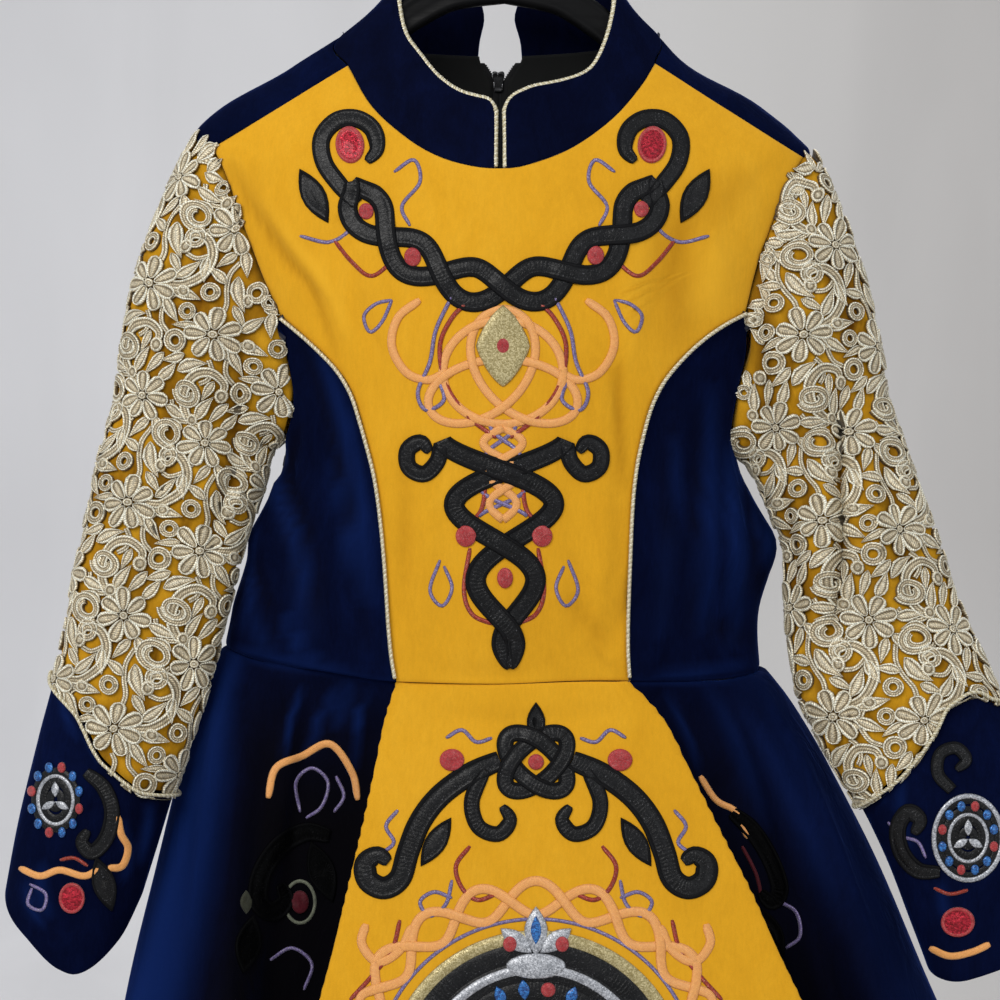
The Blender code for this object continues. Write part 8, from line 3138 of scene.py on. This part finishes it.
parts = []
TAPE_OUT, TAPE_IN = -(WALL + 0.45), -(WALL + 1.65)
bell_plate(parts, TAPE_OUT + 0.4, 0.3, 0.28)
bell_plate(parts, TAPE_IN - 0.4, TAPE_IN - 1.2, 0.35)
slider_tube(parts, [(0.0, v, 3.4) for v in np.linspace(TAPE_IN - 1.0, TAPE_OUT + 0.8, 5)], [0.9, 1.15, 1.2, 1.15, 0.9], 12)
slider_tube(parts, Path([(0.0, 0.1, -2.6), (0.0, 1.6, -2.7), (0.0, 2.6, -1.8), (0.0, 2.85, 0.0), (0.0, 2.6, 1.8),
                         (0.0, 1.6, 2.6), (0.0, 0.1, 2.5)], 5).p, 0.42)
dark_faces = sum(len(p[1]) for p in parts)
# painted glints: bright nickel strips on the two rails and the nose
for route in ([(-3.30, TAPE_IN - 1.62, 1.9), (-3.52, TAPE_IN - 1.70, 2.9), (-3.15, TAPE_IN - 1.62, 4.0)],
              [(-2.55, TAPE_IN - 1.62, -0.2), (-2.42, TAPE_IN - 1.68, -1.8), (-2.32, TAPE_IN - 1.70, -3.0),
               (-2.22, TAPE_IN - 1.62, -4.1)],
              [(2.36, TAPE_IN - 1.62, -0.9), (2.34, TAPE_IN - 1.70, -2.2), (2.26, TAPE_IN - 1.62, -3.6)],
              [(-0.35, TAPE_IN - 1.40, 2.6), (-0.30, TAPE_IN - 1.52, 3.6), (-0.30, TAPE_IN - 1.40, 4.6)]):
    slider_tube(parts, Path(route, 5).p, 0.36, 8)
sv = np.vstack([p[0] for p in parts])
sf = [q for p in parts for q in p[1]]
suv = np.vstack([p[2] for p in parts])
me = mesh_from("slider_casting", sv, sf, suv, slots=[0 if k < dark_faces else 1 for k in range(len(sf))])
bm = bmesh.new()
bm.from_mesh(me)
bmesh.ops.recalc_face_normals(bm, faces=bm.faces)
bm.to_mesh(me)
bm.free()
ob = new_object("slider_casting", me, SLIDER_MAT)
me.materials.append(GLINT)
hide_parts("zip_slider")

# The hanger: a moulded bar with a rib along it, and its hook.
HANG_TILT = math.radians(2.0)
HANG_ARM = Table("across drop tall thick", [
    (0, 77.0, 10.0, 5.0), (30, 82.0, 10.0, 5.0), (57, 97.0, 9.5, 4.5), (76, 113.0, 8.5, 4.5),
    (94, 126.0, 8.0, 5.0), (127, 145.0, 7.5, 7.0), (150, 157.5, 6.5, 8.0), (164, 166.0, 5.0, 7.0)])


def hanger_ring(across, sides=40):
    k = abs(across)
    drop, tall, thick = HANG_ARM.at(k)
    slope = (HANG_ARM.at(k + 1.0)[0] - HANG_ARM.at(k - 1.0)[0]) / 2.0 if 1.0 < k < 163.0 else 0.0
    a = math.atan(slope) * (1 if across > 0 else -1)
    out = []
    for i in range(sides):
        t = 2 * math.pi * (i + 0.5) / sides
        cx, cz = math.cos(t), math.sin(t)
        # a flat web with thicker lips above and below
        u = thick * math.copysign(abs(cx) ** 0.62, cx)
        web = math.exp(-(cz / 0.46) ** 4)
        u *= 1.0 - 0.22 * web + 0.10 * math.exp(-((abs(cz) - 0.72) / 0.16) ** 2)
        u += math.copysign(0.45 * math.exp(-((cz - 0.05) / 0.09) ** 2), cx) * (thick / 5.0)
        v = tall * math.copysign(abs(cz) ** 0.80, cz)
        x, z = across + math.sin(a) * v, -drop + math.cos(a) * v + 77.0
        out.append((x * math.cos(HANG_TILT) + z * math.sin(HANG_TILT), u,
                    z * math.cos(HANG_TILT) - x * math.sin(HANG_TILT) - 77.0))
    return out


stations = np.concatenate([np.linspace(-164, -160, 4), np.linspace(-157, 157, 106), np.linspace(160, 164, 4)])
sides = 40
v = np.array([hanger_ring(float(x), sides) for x in stations])
mid = v.mean(axis=1, keepdims=True)
for k, s in ((0, 0.72), (1, 0.88), (2, 0.96), (-3, 0.96), (-2, 0.88), (-1, 0.72)):
    v[k] = mid[k] + (v[k] - mid[k]) * s
bar = (v.reshape(-1, 3), [])
n_st = len(stations)
for a_ in range(n_st - 1):
    for i in range(sides):
        j = (i + 1) % sides
        bar[1].append([a_ * sides + i, a_ * sides + j, (a_ + 1) * sides + j, (a_ + 1) * sides + i])
bar[1].append(list(range(sides))[::-1])
bar[1].append([(n_st - 1) * sides + i for i in range(sides)])
uv = np.stack([np.repeat(stations, sides), np.tile(np.arange(sides), n_st)], 1)
parts = [(bar[0], bar[1], uv)]
HOOK_R, HOOK_TUBE = 22.0, 3.1
mid_r = HOOK_R + HOOK_TUBE
route = [(0.0, -80.0), (0.0, -62.0), (2.0, -54.0), (9.0, -47.5)]
for k in range(12):
    t = math.radians(-52.0 + 22.5 * k)
    route.append((mid_r * math.cos(t), -HOOK_R + mid_r * math.sin(t)))
hook = Path([(x, 0.0, z) for x, z in route], 8).p
rad = np.full(len(hook), HOOK_TUBE)
rad[-3:] = HOOK_TUBE * np.array([0.96, 0.82, 0.5])
tube_mesh("hook", hook, rad, 20, parts=parts)
collar_line = [(0.0, 0.0, z) for z in (-72.0, -70.5, -66.0, -63.5, -63.0)]
tube_mesh("boss", collar_line, [4.9, 5.2, 5.0, 4.3, 3.2], 24, parts=parts)
hv = np.vstack([p[0] for p in parts])
hf = [q for p in parts for q in p[1]]
huv = np.vstack([p[2] for p in parts])
me = mesh_from("hanger_moulding", hv, hf, huv)
bm = bmesh.new()
bm.from_mesh(me)
bmesh.ops.recalc_face_normals(bm, faces=bm.faces)
bm.to_mesh(me)
bm.free()
ob = new_object("hanger_moulding", me, HANGER_MAT)
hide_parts("hanger")

# ------------------------------------------------------------------ what each sheet was cut to

def cut_of(a, wrap=False, mask=None):
    """Widest row, longest column and area of a grid, in metres."""
    b = np.concatenate([a, a[:, :1]], axis=1) if wrap else a
    across = np.linalg.norm(np.diff(b, axis=1), axis=2)
    down = np.linalg.norm(np.diff(b, axis=0), axis=2)
    d1, d2 = b[1:, 1:] - b[:-1, :-1], b[1:, :-1] - b[:-1, 1:]
    cell = np.linalg.norm(np.cross(d1, d2), axis=2) / 2
    if mask is not None:
        keep = np.pad(mask, ((0, 1), (0, 0))) | np.pad(mask, ((1, 0), (0, 0)))
        across = across * keep
        keep = np.pad(mask, ((0, 0), (0, 1))) | np.pad(mask, ((0, 0), (1, 0)))
        down = down * keep
        cell = cell * mask
    w, l = across.sum(axis=1).max() * 0.001, down.sum(axis=0).max() * 0.001
    area = cell.sum() * 1e-6
    if area > w * l:
        l = area / w * 1.01
    return float(w), float(l), float(area)


def declare(name, ob, a, wrap=False, mask=None, rests_on=("hanger_moulding",), with_pieces=()):
    w, l, area = cut_of(a, wrap, mask)
    w = max(w, 0.0101)
    list(rests_on)
    max(area, 0.3001 * w * l)
    list(with_pieces)
    print("CUT %-18s %4.0f x %4.0f mm, %.4f m2" % (name, w * 1000, l * 1000, area))


def made(*arts):
    return [ob for art in arts for ob, _a in art.made]


SIDE_OF = {"left": -1, "right": 1}
for name, (ob, a) in FLAT.items():
    tag = name.rsplit("_", 1)[-1]
    wrap = name.startswith(("sleeve_", "cuff_"))
    mask = SKINS["back_" + tag + "_cloth"][3] if name.startswith("back_") else None
    on = ["hanger_moulding"]
    if name.startswith("skirt"):
        on = [FLAT["front"][0].name]
    elif name.startswith("side_front"):
        on = [FLAT["front"][0].name]
    elif name.startswith("front"):
        on = [FLAT["back_left"][0].name, FLAT["back_right"][0].name]
    elif name.startswith("sleeve"):
        on = [FLAT["back_" + tag][0].name]
    elif name.startswith("cuff"):
        on = [FLAT["sleeve_" + tag][0].name]
    elif name.startswith("collar"):
        on = [FLAT["back_" + tag][0].name]
    extra = []
    if name == "front":
        extra = made(F)
    elif name == "skirt_front":
        extra = made(P)
    elif name.startswith("cuff"):
        extra = made(CUFF_ART[SIDE_OF[tag]]) + [CORDS["cuff", SIDE_OF[tag]]]
    elif name.startswith("skirt"):
        extra = made(SIDE_ART[SIDE_OF[tag]])
    elif name.startswith("collar"):
        extra = [CORDS["collar", SIDE_OF[tag]]]
    elif name.startswith("side_front"):
        extra = [CORDS["princess", SIDE_OF[tag]]]
    declare(name, ob, a, wrap, mask, on, extra)
for side, tag in ((-1, "left"), (1, "right")):
    declare("lace_" + tag, LACES[side][0], SLEEVES[side][0], True, None, ["sleeve_" + tag + "_cloth"])
    declare("neck_facing_" + tag, *FACINGS[side], rests_on=["back_" + tag + "_cloth"])
    declare("zip_tape_" + tag, *TAPES[side], rests_on=["back_" + tag + "_cloth"])

SLOTS = {"front": "gold_velvet", "skirt_front": "gold_velvet", "sleeve": "gold_velvet", "side_front": "blue_velvet",
         "back": "blue_velvet", "collar": "blue_velvet", "cuff": "blue_velvet", "skirt": "blue_velvet"}
for name, (ob, _a) in FLAT.items():
    SLOTS.get(name) or SLOTS[name.rsplit("_", 1)[0]]


# ------------------------------------------------------------------ stage

def stage_mesh():
    """A pale floor that sweeps up into a far wall."""
    floor_z, wall_y, bend = -1.35, 3.2, 0.9
    prof = [(-4.0, floor_z), (-2.0, floor_z), (0.0, floor_z), (wall_y - bend, floor_z)]
    for k in range(1, 13):
        t = math.pi / 2 * k / 12
        prof.append((wall_y - bend + bend * math.sin(t), floor_z + bend * (1 - math.cos(t))))
    prof.append((wall_y, 3.5))
    verts, faces = [], []
    for x in (-5.0, 5.0):
        verts += [(x * 1000, y * 1000, z * 1000) for y, z in prof]
    m = len(prof)
    for i in range(m - 1):
        faces.append([i, i + m, i + m + 1, i + 1])
    return mesh_from("backdrop", verts, faces)


back_mat = Mat("backdrop_paper", rough=0.9, specular_ior_level=0.1)
tone = back_mat.noise(back_mat.scaled("Object", 1.0, 1.0, 1.0), 0.9, 2.0, 0.5)
paper = back_mat.ramp(tone, (0.3, (0.575, 0.566, 0.570)), (0.7, (0.605, 0.596, 0.600)))
place = back_mat.t.nodes.new("ShaderNodeSeparateXYZ")
back_mat.t.links.new(back_mat.co.outputs["Object"], place.inputs[0])
# Painted shade: the backdrop darkens to the right and towards its top.
across = back_mat.ramp(back_mat.math("MULTIPLY_ADD", place.outputs[0], 0.42, 0.5),
                       (0.04, (1.0, 1.0, 1.0)), (0.40, (0.95, 0.95, 0.945)), (0.70, (0.85, 0.84, 0.81)),
                       (0.96, (0.82, 0.80, 0.765)))
height = back_mat.ramp(back_mat.math("MULTIPLY_ADD", place.outputs[2], 0.45, 0.5),
                       (0.0, (1.17, 1.17, 1.17)), (0.45, (1.20, 1.20, 1.20)), (0.85, (1.04, 1.04, 1.04)))
# Painted shade of soft folds over the backdrop.
painted_fold_shade = back_mat.noise(back_mat.scaled("Object", 3.2, 3.2, 0.9), 1.0, 3.0, 0.5, 0.6)
paper = back_mat.mix(1.0, back_mat.mix(1.0, paper, across, "MULTIPLY"), height, "MULTIPLY")
paper = back_mat.mix(1.0, paper, back_mat.ramp(painted_fold_shade, (0.35, (0.965, 0.965, 0.965)), (0.65, (1.02, 1.02, 1.02))), "MULTIPLY")
back_mat.end(paper)
drop_mesh = stage_mesh()
drop_ob = bpy.data.objects.new("backdrop", drop_mesh)
scene.collection.objects.link(drop_ob)
drop_mesh.materials.append(back_mat.m)

world = bpy.data.worlds.new("studio")
scene.world = world
world.use_nodes = True
world.node_tree.nodes["Background"].inputs["Color"].default_value = (0.80, 0.84, 0.90, 1.0)
world.node_tree.nodes["Background"].inputs["Strength"].default_value = 0.62


def area_light(name, at, aim, size, power, colour=(1.0, 1.0, 1.0)):
    data = bpy.data.lights.new(name, "AREA")
    data.shape = "RECTANGLE"
    data.size, data.size_y = size
    data.energy = power
    data.color = colour
    ob = bpy.data.objects.new(name, data)
    scene.collection.objects.link(ob)
    ob.location = at
    ob.rotation_mode = "QUATERNION"
    ob.rotation_quaternion = (Vector(aim) - Vector(at)).to_track_quat("-Z", "Y")
    return ob


area_light("key", (-0.9, -1.7, 0.75), (0.0, 0.0, -0.42), (1.4, 1.1), 25.0, (1.0, 0.98, 0.95))
area_light("fill", (1.4, -1.7, 0.1), (0.0, 0.0, -0.45), (1.4, 1.4), 5.2, (0.96, 0.98, 1.0))
area_light("back", (0.6, 2.0, 1.4), (0.0, 0.0, -0.4), (1.6, 1.2), 16.0)
area_light("wall", (0.0, 1.2, 1.6), (0.0, 3.0, 0.0), (2.6, 1.0), 30.0)

scene.view_settings.view_transform = "Standard"
scene.view_settings.look = "None"
scene.view_settings.exposure = 0.0
scene.view_settings.gamma = 1.0
